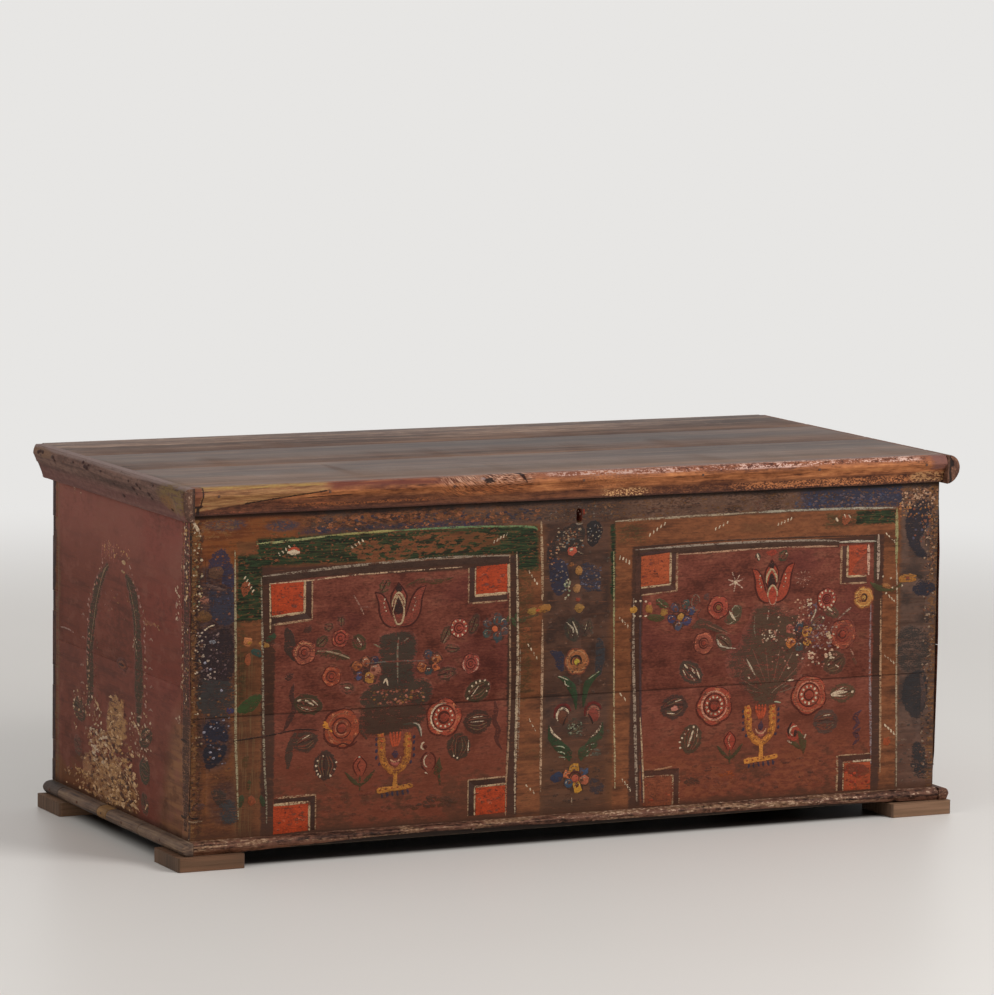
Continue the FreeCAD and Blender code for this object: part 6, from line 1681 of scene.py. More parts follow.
def end_painting(name, wall_x, outward, seed):
    def seat(across, up, proud):
        return Vector((wall_x + outward * proud * MM, across * MM, (WALL_FOOT + up) * MM))

    brush = Brush(name, seat, (outward, 0, 0), seed)
    line, dab, fill, crumbs = brush.line, brush.dab, brush.fill, brush.crumbs
    olive, vein = "#363020", "#7d7258"
    line([(37, 365), (57, 347), (77, 328), (94, 290), (107, 250), (110, 205), (106, 160), (117, 142)],
         (5, 14, 20, 23, 22, 22, 20, 15), olive, 1, 0.78, 7.0)
    line([(34, 366), (50, 356), (64, 338), (84, 302), (98, 262), (108, 232)],
         (3, 3.4, 2.4, 2, 2, 2), vein, 3, 0.62)
    line([(-37, 357), (-57, 342), (-76, 312), (-85, 270), (-90, 225), (-90, 175), (-88, 142)],
         (10, 24, 22, 24, 27, 26, 20), olive, 1, 0.8, 7.0)
    line([(-45, 350), (-62, 326), (-78, 290), (-74, 262), (-84, 242)], (2, 2.6, 2.4, 2.4, 2), vein, 3, 0.6)
    crumbs(-84, -66, 250, 272, [BONE, "#8d8672"], 12, (1.2, 3.0), 4, 0.75, 1.0)
    dab(-28, 377, 15, 6, 5, "#b09a78", 4, 0.8)
    dab(-25, 363, 15, 5, 5, "#a08a68", 4, 0.75)
    for number in range(7):
        across = 60 - number * 8
        line([(across, 402 - number % 3 * 3), (across + 1, 372 + number % 2 * 8)], 3.0, "#96645a", 2, 0.62)
    for side_way in (-1, 1):
        for number in range(22):
            up = 372 - number * 10
            reach = 92 + 26 * math.cos(math.radians((up - 200) * 0.42)) - max(0, up - 300) * 0.62
            crumbs(side_way * reach - 5, side_way * reach + 5, up - 4, up + 4,
                   ["#a0837a", "#8c6258", "#a88f72"], 2, (1.8, 4.6), 3, 0.74, 1.7)
        crumbs(side_way * 97 - 22, side_way * 97 + 22, 150, 320, [vein, "#5c4a3a", "#7a4a3e"], 80,
               (1.2, 3.6), 4, 0.62, 0.7)
    crumbs(-60, 60, 376, 402, ["#9c6a52", "#ac8a5e", "#7c4438"], 60, (1.4, 4.2), 2, 0.7, 1.4)
    crumbs(-60, 70, 290, 345, ["#8c6a5c", "#8a6a3c", "#7c5248"], 24, (1.0, 2.8), 2, 0.5, 2.6)
    leaf(brush, 153, 128, 52, 32, 15, "#363526", hold=0.72)
    leaf(brush, 158, 72, 34, 26, 30, "#43382e", hold=0.5)
    leaf(brush, -118, 126, 52, 26, -22, "#353425", hold=0.78)
    leaf(brush, -115, 76, 40, 38, 10, "#323526", hold=0.85)
    leaf(brush, -116, 27, 34, 24, 60, "#353425", hold=0.7)
    for across, up in ((137, 240), (142, 197), (140, 170), (138, 275), (-138, 275), (-136, 232),
            (-142, 205), (-138, 170)):
        line([(across - 8, up), (across, up + 2), (across + 8, up - 1)], (1.4, 2.6, 1.4), "#957e72", 3, 0.55)
    # the knot, with a pale ring round its dark slit
    dab(-24, 222, 44, 16, 3, "#4a2820", 2, 0.85, 3.0)
    dab(-22, 222, 32, 10, 3, "#6e4530", 3, 0.85, 1.5)
    dab(-20, 222, 22, 5, 3, "#150d0b", 4, 0.95)
    # streaks of bare wood
    woods = ["#93744f", "#a0835f", "#7c5c42", "#c0a580", "#4a3022", "#a8885c"]
    for _ in range(330):
        up = brush.shake.triangular(3, 172, 40)
        half = 132 if up < 50 else 118 - (up - 50) * 0.42
        across = brush.shake.triangular(-half * 0.68, half * 1.25, 14)
        if up > 106:
            across = across * 0.38 - 4
        length = brush.shake.uniform(6, 24)
        lean = math.radians(brush.shake.gauss(0, 15))
        bow = brush.shake.uniform(-3.5, 3.5)
        run, climb = math.cos(lean) * length / 2, math.sin(lean) * length / 2
        line([(across - run, up - climb), (across, up + bow), (across + run, up + climb)],
             (1.6, brush.shake.uniform(2.4, 7.5), 1.6), brush.shake.choice(woods),
             brush.shake.randint(1, 4), 0.66)
    crumbs(-92, 150, 4, 60, woods, 110, (1.4, 4.6), 5, 0.75, 1.8)
    fill([(-30, 112), (-32, 128), (-24, 146), (-8, 162), (10, 166), (24, 158), (34, 142), (38, 124),
          (28, 108), (0, 100)], "#95754f", 0, 0.62, 6)
    dab(120, 46, 36, 26, 10, "#8a6446", 1, 0.8, 4.0)
    crumbs(36, 104, 60, 112, [BONE, "#b79b76", "#8c6c4c", "#3a251c"], 90, (2.0, 6.5), 5, 0.8, 2.4)
    crumbs(-80, 40, 6, 96, ["#c0a580", "#a8885c", "#3a251c"], 90, (2.0, 6.0), 5, 0.8, 2.6)
    for left, right_end in ((60, 180), (-145, -55)):
        crumbs(left, right_end, 92, 156, [BONE, "#a08a6a", "#7a5c46", "#8c6a58"], 90,
               (1.4, 4.4), 5, 0.72, 1.8)
    crumbs(110, 215, 4, 40, woods, 36, (1.4, 4.0), 5, 0.6, 2.2)
    for across, up, tip_across, tip_up in ((60, 92, 20, 84), (-60, 142, -95, 130),
            (66, 138, 88, 150), (30, 118, 8, 132),
                                           (-40, 60, -92, 34), (-58, 16, -96, 12), (-118, 18, -130, 26)):
        line([(across, up), ((across + tip_across) / 2, (up + tip_up) / 2 + 3), (tip_across, tip_up)],
             (2, 4.4, 2), "#b49c7a", 5, 0.78)
    # rubs and chips
    line([(-107, 297), (-130, 300), (-162, 299)], (5, 7, 3), "#83553c", 2, 0.6)
    crumbs(-170, -105, 294, 304, ["#9c7c5a", "#8a6444"], 14, (1.2, 3.0), 3, 0.8, 2.4)
    line([(178, 243), (204, 245), (234, 244)], 1.8, "#94807a", 3, 0.6)
    crumbs(-250, -232, 318, 368, [BONE, "#b8a490", "#84605a"], 34, (1.4, 4.2), 3, 0.8, 1.2)
    crumbs(-252, -236, 165, 182, [BONE, "#8c7064"], 10, (1.2, 3.2), 3, 0.75, 1.6)
    crumbs(-262, -254, 220, 470, ["#8a6a4c", "#a08868", "#3a2a24"], 60, (1.0, 3.0), 3, 0.7, 1.0)
    line([(-275, 14), (-276, 240), (-274, 472)], 24, "#3a2820", 1, 0.72, 4.0)
    crumbs(-282, -264, 350, 468, [BONE, "#c9b48c", "#a98d5e"], 34, (1.8, 5.2), 5, 0.88, 1.1)
    crumbs(-266, -255, 216, 330, [BONE, "#a89478"], 22, (1.4, 3.8), 5, 0.8, 0.9)
    crumbs(-286, -262, 20, 470, ["#33211b", "#4d3324", "#6b4a30", "#2a1a16"], 170, (1.4, 4.2), 2, 0.75, 1.0)
    crumbs(-285, -266, 190, 470, [BONE, "#a98d5e", "#8a6a3e"], 60, (1.0, 3.2), 4, 0.85, 0.8)
    crumbs(140, 180, 458, 470, [BONE, "#8c6a5a"], 9, (1.2, 3.0), 3, 0.8, 1.6)
    line([(-258, 34), (-268, 33), (-280, 35)], (3, 4.5, 3), "#1c120f", 4, 0.95)
    line([(-256, 146), (-268, 147), (-282, 145)], (2, 3.5, 2), "#1c120f", 4, 0.9)
    line([(-258, 150), (-259, 330), (-258, 460)], 1.6, "#241814", 3, 0.55)
    return brush.done(end_strokes, "painted_end_wood", (END_SEAM_LEVEL,))


end_painting("left_end_painting", body_low_x, -1, 66)
end_painting("right_end_painting", body_high_x, 1, 67)


# Base mouldings: a half-round strip along the front and the right, and a row of
# short rods on the left that was patched over the years. All are worn by shoes.
foot_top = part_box("base_moulding_front")[0].z / MM
base_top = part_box("base_moulding_front")[1].z / MM
BASE_OUT = 18.0
BASE_ROUND = 9
REAR_ROUND = 7.0
MOULDING_RUB_SCALE = 30
MOULDING_NICK_SCALE = 110


def through(points, steps=3):
    """A section's points joined by a soft curve."""
    return curve_through(points, closed=False, steps=steps)


def swept(name, low, high, step, section, seat, finishes, pick, wear=0.3, seed=1, blunt=0.8, bumps=None):
    """A moulding carried along from low to high, in mm.

    section(along) gives its outline as (out, up), closed by the wall side, whose points have out 0.
    seat(out, up, along) places a point and bumps(co, along) adds a hollow in mm. The ends are blunted."""
    shape = bmesh.new()
    count = max(3, int((high - low) / step))
    places = [low + (high - low) * turn / count for turn in range(count + 1)]
    if blunt:
        start_cuts = [low, low + blunt * 0.3, low + blunt]
        end_cuts = [high - blunt, high - blunt * 0.3, high]
        places = start_cuts + places[1:-1] + end_cuts
    rings = []
    for along in places:
        outline = section(along)
        tip = min(along - low, high - along)
        draw = blunt * (1 - math.sqrt(max(0.0, 1 - (1 - min(tip / blunt, 1)) ** 2))) if blunt else 0.0
        mid_up = (max(up for _, up in outline) + min(up for _, up in outline)) / 2
        ring = []
        for out, up in outline:
            if out > 0.01:
                out = max(0.02, out - draw)
                up = up + (mid_up - up) / abs(mid_up - up or 1) * min(draw, abs(mid_up - up))
            ring.append(shape.verts.new(seat(out, up, along)))
        rings.append((ring, [out > 0.05 for out, _ in outline], along))
    size = len(rings[0][0])
    for (first, _, _), (second, _, _) in zip(rings, rings[1:]):
        for place in range(size):
            after = (place + 1) % size
            shape.faces.new((first[place], first[after], second[after], second[place]))
    for ring in (rings[0][0], rings[-1][0]):
        shape.faces.new(ring)
    bmesh.ops.recalc_face_normals(shape, faces=shape.faces)
    shape.normal_update()
    moves = []
    for ring, free, along in rings:
        for spot, loose in zip(ring, free):
            if not loose:
                continue
            rub = noise.noise(spot.co * MOULDING_RUB_SCALE + Vector((seed, 0, 0))) * 0.5 + 0.5
            nick = max(0.0, noise.noise(spot.co * MOULDING_NICK_SCALE + Vector((0, seed, 3))) - 0.38) * 3
            deep = wear * (0.7 * rub + nick) + (bumps(spot.co / MM, along) if bumps else 0.0)
            moves.append((spot, -spot.normal * deep * MM))
    for spot, move in moves:
        spot.co += move
    shape.normal_update()
    for face in shape.faces:
        face.smooth = len(face.verts) < 5
        face.material_index = pick(face.calc_center_median() / MM, face.normal)
    return finished(shape, name, finishes, crease=50)


def base_section(along):
    """A half-round over a slope that falls back to the foot."""
    low = foot_top
    middle = base_top - BASE_ROUND
    return [(0, base_top)] + arc_points(BASE_OUT - BASE_ROUND, middle, BASE_ROUND, 90, 0, count=6) + [
        (BASE_OUT - 1.2, middle - (middle - low) * 0.4), (BASE_OUT - 2.6, middle - (middle - low) * 0.7),
        (BASE_OUT - 4, low), (0, low)]


def worn_away(along):
    """How far the front moulding's lower edge has worn up, in mm: most left of the middle."""
    left_rise = 9.5 * math.sin(math.radians(90 * min(1, max(0, (along + 620) / 380)))) ** 2
    return (left_rise - 3.5 * min(1, max(0, (along + 240) / 520))) * min(1, max(0, (620 - along) / 200))


def front_base_section(along):
    low = foot_top + worn_away(along) + 0.5 * noise.noise(Vector((along / 16, 5, 0)))
    share = (base_top - low) / (base_top - foot_top)
    return [(out, base_top - (base_top - up) * share) for out, up in base_section(along)]


def rod_section(along):
    """The flatter round of the short rods on the left."""
    nose = [(6, base_top), (12.8, base_top - 1.6), (16.8, base_top - 5.5), (BASE_OUT, base_top - 9.5),
            (17, foot_top + 5.5), (14.5, foot_top + 2), (11, foot_top)]
    return [(0, base_top)] + through(nose, 2) + [(0, foot_top)]


def drawn_in(outline, distance):
    """The outline narrowed where a moulding's free end is rounded in plan."""
    if distance >= REAR_ROUND:
        return outline
    reach = BASE_OUT - REAR_ROUND + math.sqrt(max(0.0, REAR_ROUND ** 2 - (REAR_ROUND - distance) ** 2))
    return [(out * reach / BASE_OUT, up) for out, up in outline]


def base_front_finish(name, axis):
    """Dark paint rubbed off in long streaks, lighter with pale flecks on the upper part of the round, which
    is partly wear and partly a painted highlight. axis is the way the moulding runs.
    """
    finish = Finish(name)

    def cloud(long, wide, high, *rest):
        return finish.cloud((long, wide, high) if axis == "X" else (wide, long, high), *rest)

    streak = cloud(150, 20, 5, 71, 4.0, 0.62)
    flake = cloud(13, 9, 6, 72, 4.0, 0.66)
    chip = cloud(6, 5, 2, 73, 2.0, 0.6)
    lump = cloud(60, 20, 9, 74, 3.0, 0.6)
    x = finish.x + (flake - 0.5) * 40
    dark_right = x.rise(330, 430)
    colour = finish.mix("#301c14", "#694536", (streak * 0.5 + flake * 0.5).rise(0.4, 0.56))
    colour = finish.mix(colour, "#2c1f1b", dark_right * 0.15)
    part = (finish.z + (flake - 0.5) * 8).rise(31, 26) * (1 - dark_right * 0.6) * 0.5
    colour = finish.mix(colour, "#5e3820", part)
    # Partly a painted highlight: the upper part of the round is laid in lighter browns and pale flecks,
    # besides the wear.
    rubbed = ((lump * 0.5 + streak * 0.35 + chip * 0.15).rise(0.5, 0.56)
              * (finish.z + (chip - 0.5) * 9).rise(25, 31))
    tone = finish.mix("#62432f", "#8f6f55", chip.rise(0.4, 0.6))
    colour = finish.mix(colour, tone, rubbed * (0.85 - dark_right * 0.12))
    chipped = (chip * 0.4 + flake * 0.3 + streak * 0.3).rise(0.545, 0.6)
    part = chipped * finish.z.rise(27, 33) * (0.35 + x.rise(-100, 200) * 0.55)
    colour = finish.mix(colour, "#bf9f86", part)
    part = (flake * 0.4 + streak * 0.3 + chip * 0.3).rise(0.46, 0.4) * 0.85
    colour = finish.mix(colour, "#1c0d08", part)
    return finish.surface(colour, 0.55 + chip * 0.25,
            lump * 0.8 + flake * 0.6 + chip * 0.4, depth=1.6, shine=0.16)


def rod_finish(name, pale, middle, dark, seed):
    """A round strip of bare or thinly painted wood with fibres along it."""
    finish = Finish(name)
    fibre = finish.cloud((8, 90, 2.2), seed, 4.0, 0.62)
    stain = finish.cloud((60, 60, 30), seed + 1, 3.0, 0.6)
    chip = finish.cloud((4, 6, 2.5), seed + 2, 2.0, 0.6)
    colour = finish.ramp(fibre * 0.6 + stain * 0.4, [(0.36, dark), (0.5, middle), (0.64, pale)])
    colour = finish.mix(colour, dark, (finish.z + (stain - 0.5) * 12).rise(31, 23) * 0.75)
    colour = finish.mix(colour, pale, (chip * 0.6 + fibre * 0.4).rise(0.58, 0.66) * 0.6)
    return finish.surface(colour, 0.6 + fibre * 0.2, fibre + chip, depth=0.7, shine=0.3)


base_front_paint = base_front_finish("base_front_paint", "X")
base_right_paint = base_front_finish("base_right_paint", "Y")
rod_grey = rod_finish("grey_rod_wood", "#7c644e", "#60493a", "#352720", 75)
rod_tan = rod_finish("patched_rod_wood", "#94703f", "#7c5830", "#4d3620", 79)
rod_dark = rod_finish("dark_rod_wood", "#55443a", "#42342c", "#261d18", 82)


def side_seat(wall_x, outward):
    """Places a moulding that runs front to back on a wall or edge at wall_x."""
    return lambda out, up, along: Vector((wall_x + outward * out * MM, along * MM, up * MM))


def front_moulding_seat(out, up, along):
    return Vector((along * MM, body_front_y - out * MM, up * MM))


low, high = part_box("base_moulding_front")
piece = swept("worn_base_moulding_front", low.x / MM, high.x / MM, 4, front_base_section, front_moulding_seat,
              [base_front_paint], lambda middle, normal: 0, wear=1.3, seed=21, blunt=1.5)
stand_for(piece, "base_moulding_front", "body")
side_bases = [
    ("base_moulding_right", 1, base_section, base_right_paint),
    ("base_moulding_left_front", -1, rod_section, rod_grey),
    ("base_moulding_left_middle", -1, rod_section, rod_grey),
    ("base_moulding_left_patch", -1, rod_section, rod_tan),
    ("base_moulding_left_rear", -1, rod_section, rod_grey),
    ("base_moulding_left_end", -1, rod_section, rod_dark),
]
for number, (node, outward, outline, paint) in enumerate(side_bases):
    low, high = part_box(node)
    rear = high.y / MM
    free_end = rear > body_back_y / MM - 1
    section = (lambda along, outline=outline, rear=rear,
               free_end=free_end: drawn_in(outline(along), rear - along) if free_end else outline(along))
    wall_x = body_high_x if outward > 0 else body_low_x
    piece = swept("worn_" + node, low.y / MM, rear, 4, section, side_seat(wall_x, outward), [paint],
                  lambda middle, normal: 0, wear=0.9, seed=31 + number, blunt=1.6)
    stand_for(piece, node, "body")


# Feet: four newer blocks of pine under the corners, sawn and barely chamfered.
# The front left one is browner than the others.
foot_side_finish = pine_finish("foot_pine_long", "X", "#7d5d46", "#694e38", "#493525", 85, grime=0.5)
brown_foot_finish = pine_finish("brown_foot_pine", "X", "#6b4a34", "#593f2b", "#3e2a1b", 86, grime=0.6)
foot_end_finish = pine_finish("foot_pine_end", "Z", "#5d4534", "#4b3727", "#32241b", 88, grime=0.7)


def pick_foot(middle, normal, kind):
    """0 the long sides and the top, 1 end grain and the underside."""
    return 1 if abs(normal.x) > FACING or normal.z < -0.5 else 0


for node in ("front_left_foot", "front_right_foot", "back_left_foot", "back_right_foot"):
    long_side = brown_foot_finish if node == "front_left_foot" else foot_side_finish
    block = worn_copy(node, "sawn_" + node, "X", [long_side, foot_end_finish], pick_foot,
            arris=1.0 * MM, step=6 * MM, seed=13)
    stand_for(block, node, "body")


# Lid: three wide boards side by side, weathered to a satin grey-brown. They are
# streaked along the grain and scuffed paler at the back.
lid_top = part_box("lid_board_front")[1].z / MM


def lid_finish(name, seed):
    finish = Finish(name)
    streak = finish.cloud((420, 34, 60), seed, 4.0, 0.62)
    fibre = finish.cloud((110, 3.2, 8), seed + 1, 4.0, 0.62)
    broad = finish.cloud((500, 130, 80), seed + 2, 2.0)
    fleck = finish.cloud((26, 2.4, 4), seed + 3, 3.0, 0.6)
    colour = finish.ramp(streak * 0.65 + broad * 0.35,
            [(0.38, "#3b2820"), (0.5, "#5b4236"), (0.62, "#785a48")])
    colour = finish.coats(
        colour,
        ("#3f3029", fibre.rise(0.52, 0.66) * 0.6),
        ("#8c7360", fibre.rise(0.46, 0.32) * 0.55),
        ("#a8907a", fleck.rise(0.66, 0.72) * 0.65),
        ("#8c5a3a", (fleck * 0.5 + streak * 0.5).rise(0.62, 0.66) * 0.4))
    part = (finish.y + (streak - 0.5) * 60).rise(-10, 20) * finish.y.rise(95, 70) * 0.45
    colour = finish.mix(colour, "#2b1d18", part)
    front_edge = (finish.y + (streak - 0.5) * 20).rise(-262, -284)
    colour = finish.mix(colour, "#8e7a6c", (finish.y + (streak - 0.5) * 90).rise(-120, -200) * 0.25)
    rear = (finish.y + (broad - 0.5) * 120).rise(165, 210)
    colour = finish.coats(
        colour,
        ("#a88c78", rear * (streak * 0.5 + fleck * 0.5).rise(0.5, 0.6) * 0.6),
        ("#3a2a24", rear * (streak * 0.5 + fleck * 0.5).rise(0.48, 0.4) * 0.6),
        ("#7c6c66", front_edge * 0.5))
    height = fibre * 0.6 + streak * 0.4
    return finish.surface(colour, 0.46 + fibre * 0.2, height, depth=0.5, shine=0.34)


lid_paint = lid_finish("weathered_lid_boards", 91)


def pick_lid(middle, normal, kind):
    """0 the top and edges, 1 the bare underside, 2 end grain."""
    if abs(normal.x) > FACING:
        return 2
    return 1 if normal.z < -0.5 else 0


for node in ("lid_board_front", "lid_board_middle", "lid_board_back"):
    board = worn_copy(node, "weathered_" + node, "X", [lid_paint, inner_pine_x, pine_end_grain], pick_lid,
            arris=0.5 * MM, step=14 * MM, seed=17)
    stand_for(board, node, "lid")


# Lip: the moulding nailed along the lid's front edge, a round nose over a hollow. Its
# brown paint is rubbed to golden wood on the left, where a split runs out at the top.
lip_low, lip_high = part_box("lid_front_moulding")
lip_round = arc_points(-2.53, lid_top - 13, 21.03, 38.2, 0, count=7)
KNOT = (-155.0, 553.0)
RINGS = (-92.0, 574.0)
SPLIT_FOOT = (-545.0, 533.5)
SPLIT_HEAD = (-413.0, 549.5)


def lip_section(along):
    """A round nose over a hollow that ends in a square foot."""
    hollow = [(18.5, lid_top - 13), (13.2, lid_top - 18.6), (9.5, lid_top - 25),
              (6.8, lid_top - 31), (5, lid_top - 37)]
    return [(0, lid_top)] + lip_round + through(hollow)[1:] + [(5, lid_top - 42), (0, lid_top - 42)]


def knot_ripple(x, z):
    """How deep the softer wood lies between the bent fibres, from 0 to 1."""
    across = math.hypot((x - RINGS[0]) / 2.4, z - RINGS[1]) / 0.9
    along = math.atan2((x - RINGS[0]) / 2.4, RINGS[1] - z) * 3
    near = max(0.0, 1 - abs(x + 158) / 80)
    return (0.5 + noise.noise(Vector((across, along, 2)))) * near


def lip_bumps(place, along):
    """Hollows in mm: the knot's ripples, three notches, the split and slow waves."""
    deep = 0.9 * knot_ripple(place.x, place.z)
    notch = max(0.0, 1 - math.hypot((place.x - 541) / 5, (place.z - 558) / 4)) * 3.2
    lean = place.x + 98 + (place.z - 556) * 0.6
    notch += max(0.0, 1 - math.hypot(lean / 5, (place.z - 557) / 7)) * 3.4
    notch += max(0.0, 1 - math.hypot((place.x - 95) / 20, (place.z - 558) / 5)) * 1.8
    share = (place.x - SPLIT_FOOT[0]) / (SPLIT_HEAD[0] - SPLIT_FOOT[0])
    if 0 < share < 1:
        level = SPLIT_FOOT[1] + share * (SPLIT_HEAD[1] - SPLIT_FOOT[1])
        notch += max(0.0, 1 - abs(place.z - level) / 2.2) * 0.9
    return deep + notch + 0.5 * noise.noise(Vector((place.x / 90, 0, 4)))


def lip_finish():
    finish = Finish("lip_paint_and_wood")
    streak = finish.cloud((110, 12, 5), 101, 4.0, 0.62)
    fine = finish.cloud((26, 3, 1.2), 102, 3.0, 0.6)
    flake = finish.cloud((14, 8, 5), 103, 4.0, 0.66)
    chip = finish.cloud((3.4, 4, 1.8), 104, 2.0, 0.6)
    x = finish.x + (flake - 0.5) * 24
    z = finish.z + (streak - 0.5) * 7
    # brown paint worn to orange wood on the round, darker and redder over and under it
    browns = [(0.38, "#48241b"), (0.46, "#7f4b2c"), (0.53, "#a3643d"), (0.62, "#c2804f")]
    broad = finish.cloud((70, 12, 18), 105, 2.0)
    colour = finish.ramp(streak * 0.15 + flake * 0.25 + fine * 0.25 + broad * 0.35, browns)
    colour = finish.mix(colour, "#7a4636", z.rise(549, 556) * 0.6)
    foot = finish.mix("#3a1f16", "#5c3524", (streak * 0.5 + flake * 0.5).rise(0.42, 0.58))
    colour = finish.mix(colour, foot, z.rise(537, 527) * (1 - x.rise(250, 330) * 0.6) * 0.75)
    colour = finish.mix(colour, foot, z.rise(543, 534) * x.rise(-180, -240) * 0.85)
    # golden bare wood on the upper left, redder between it and the knot
    split = finish.x * 0.1212 - finish.z + 599.6
    golden_top = z.rise(548, 553) * x.rise(-380, -420)
    golden = x.rise(-405, -425) * (split + (chip - 0.5) * 2).rise(1.5, -1.5).most(golden_top)
    golds = [(0.38, "#613c26"), (0.5, "#8e6440"), (0.62, "#ae8756")]
    colour = finish.mix(colour, finish.ramp(fine * 0.6 + streak * 0.4, golds), golden * 0.92)
    part = z.rise(554, 558) * x.rise(-400, -440) * fine.rise(0.42, 0.56) * 0.6
    colour = finish.mix(colour, "#98813f", part)
    part = (fine * 0.7 + chip * 0.3).rise(0.56, 0.62) * x.rise(-380, -420) * 0.7
    colour = finish.mix(colour, "#8a4b33", part)
    red_top = z.rise(545, 555) * x.rise(-420, -400) * x.rise(-170, -220)
    colour = finish.mix(colour, "#5e2a20", red_top * streak.rise(0.42, 0.55) * 0.8)
    # fibres that bend round the knot: pale hard lines between dark soft ones
    swing = (finish.x - RINGS[0]) / 2.4
    drop = RINGS[1] - finish.z
    reach = finish.node("Math", {"operation": "SQRT"}, {0: swing * swing + drop * drop})
    bearing = finish.node("Math", {"operation": "ARCTAN2"}, {0: swing, 1: drop})
    bent = finish.node("CombineXYZ", {}, {0: reach / 0.62 + (flake - 0.5) * 2.0, 1: bearing * 5.5, 2: 4.0})
    fibre = finish.node("TexNoise", {}, {"Vector": bent, "Scale": 1.0, "Detail": 2.0, "Roughness": 0.5})
    near = (abs(finish.x + 158) + (flake - 0.5) * 70).rise(96, 44)
    hard = fibre.rise(0.5, 0.58) * near
    colour = finish.coats(
        colour,
        ("#33140b", fibre.rise(0.52, 0.42) * near * z.rise(524, 536) * 0.85),
        ("#a85f34", hard * z.rise(526, 538) * 0.8),
        ("#c99f86", fibre.rise(0.5, 0.57) * near * z.rise(541, 555) * 0.8))
    knot = oval(finish.x + (chip - 0.5) * 8, finish.z + (chip - 0.5) * 5, KNOT[0], KNOT[1], 9, 3.6, 0.6)
    colour = finish.mix(colour, "#150b0b", knot * 0.92)
    part = oval(finish.x, finish.z, KNOT[0] - 10, KNOT[1] + 3, 4, 1.8, 0.6) * 0.7
    colour = finish.mix(colour, "#8d7a78", part)
    wedge = abs(finish.x + 98 + (finish.z - 556) * 0.6) + (finish.z - 560) * -0.28
    colour = finish.mix(colour, "#2a110b", wedge.rise(4.6, 3.2) * z.rise(543, 547) * 0.95)
    # the middle and right: rubbed along the top, granular lower down; the pale pink line along the top of the
    # nose is partly rubbed paint and partly a painted highlight
    right_part = x.rise(60, 150)
    mottled = x.rise(-60, -10) * x.rise(150, 90) * (flake * 0.6 + chip * 0.4).rise(0.5, 0.56)
    colour = finish.mix(colour, "#5c3424", mottled * 0.6)
    grains = (chip * 0.7 + flake * 0.3).rise(0.49, 0.54) * z.rise(534, 528)
    part = grains * (chip * 0.8 + fine * 0.2).rise(0.5, 0.56) * x.rise(30, 55) * x.rise(125, 100) * 0.95
    colour = finish.coats(
        colour,
        ("#c99a6a", part),
        ("#b87448", grains * x.rise(240, 290) * x.rise(600, 540) * 0.7),
        ("#3e2117", (1 - grains) * z.rise(538, 530) * right_part * 0.75))
    rubbed = (streak * 0.3 + chip * 0.4 + flake * 0.3).rise(0.49, 0.55) * z.rise(552, 556)
    part = rubbed * x.rise(-70, -40) * x.rise(590, 560) * (0.6 + x.rise(200, 260) * 0.25)
    # Partly a painted highlight: pale pink laid along the top of the nose, brighter towards the right,
    # besides the rubbed paint.
    colour = finish.mix(colour, "#d9b5a6", part)
    pits = (flake * 0.5 + chip * 0.5).rise(0.46, 0.4)
    colour = finish.mix(colour, "#2a1511", pits * z.rise(548, 553) * right_part * 0.7)
    colour = finish.mix(colour, "#6c4a48", x.rise(596, 606) * z.rise(536, 541) * 0.7)
    part = x.rise(566, 575) * z.rise(537, 533) * (flake * 0.5 + chip * 0.5).rise(0.48, 0.54) * 0.8
    colour = finish.mix(colour, "#a67b52", part)
    # the little block let in at the left end, with a gap below it
    block_share = x.rise(-612.8, -613.6)
    colour = finish.mix(colour, "#6f3d2c", block_share * z.rise(531, 533) * 0.85)
    part = abs(finish.x + 612.5 + (chip - 0.5) * 2).rise(1.5, 0.7) * z.rise(531, 533) * 0.9
    colour = finish.mix(colour, "#180d0a", part)
    colour = finish.mix(colour, "#180d0a", block_share * abs(z - 531.5).rise(2.0, 0.8) * 0.9)
    part = abs(finish.x + 616 + (chip - 0.5) * 4).rise(3.2, 1.6) * z.rise(532, 530) * 0.95
    colour = finish.mix(colour, "#1f120d", part)
    # the split, the rubbed stripe below it and the shadowed foot
    share_on = x.rise(-548, -543) * x.rise(-411, -416)
    colour = finish.mix(colour, "#20120d", abs(split + (chip - 0.5) * 3).rise(1.5, 0.6) * share_on * 0.95)
    lower_split = (abs(finish.x * 0.03 - finish.z + 552.5 + (chip - 0.5) * 3).rise(1.0, 0.4)
                   * x.rise(-450, -440) * x.rise(-372, -380))
    colour = finish.mix(colour, "#2c1710", lower_split * 0.85)
    orange_line = ((1 - abs(z - 528) / 4).held() * x.rise(-500, -440) * x.rise(-210, -260)
                   * (chip + fine).rise(0.96, 1.08))
    colour = finish.mix(colour, "#a05c32", orange_line * 0.8)
    colour = finish.mix(colour, "#331a12", (finish.z + (chip - 0.5) * 3).rise(522, 519) * 0.8)
    part = (streak * 0.3 + fine * 0.4 + flake * 0.3).rise(0.44, 0.37) * 0.6
    colour = finish.mix(colour, "#231009", part)
    height = streak * 0.4 + fine * 0.3 + chip * 0.4 + near * fibre * 1.2
    return finish.surface(colour, 0.5 + chip * 0.25, height, depth=1.2, shine=0.18)


lip_paint = lip_finish()


def lip_seat(out, up, along):
    return Vector((along * MM, lip_high.y - out * MM, up * MM))


piece = swept("worn_lid_front_moulding", lip_low.x / MM, lip_high.x / MM, 2.5, lip_section, lip_seat,
              [lip_paint], lambda middle, normal: 0, wear=0.5, seed=41, blunt=0.8, bumps=lip_bumps)
stand_for(piece, "lid_front_moulding", "lid")


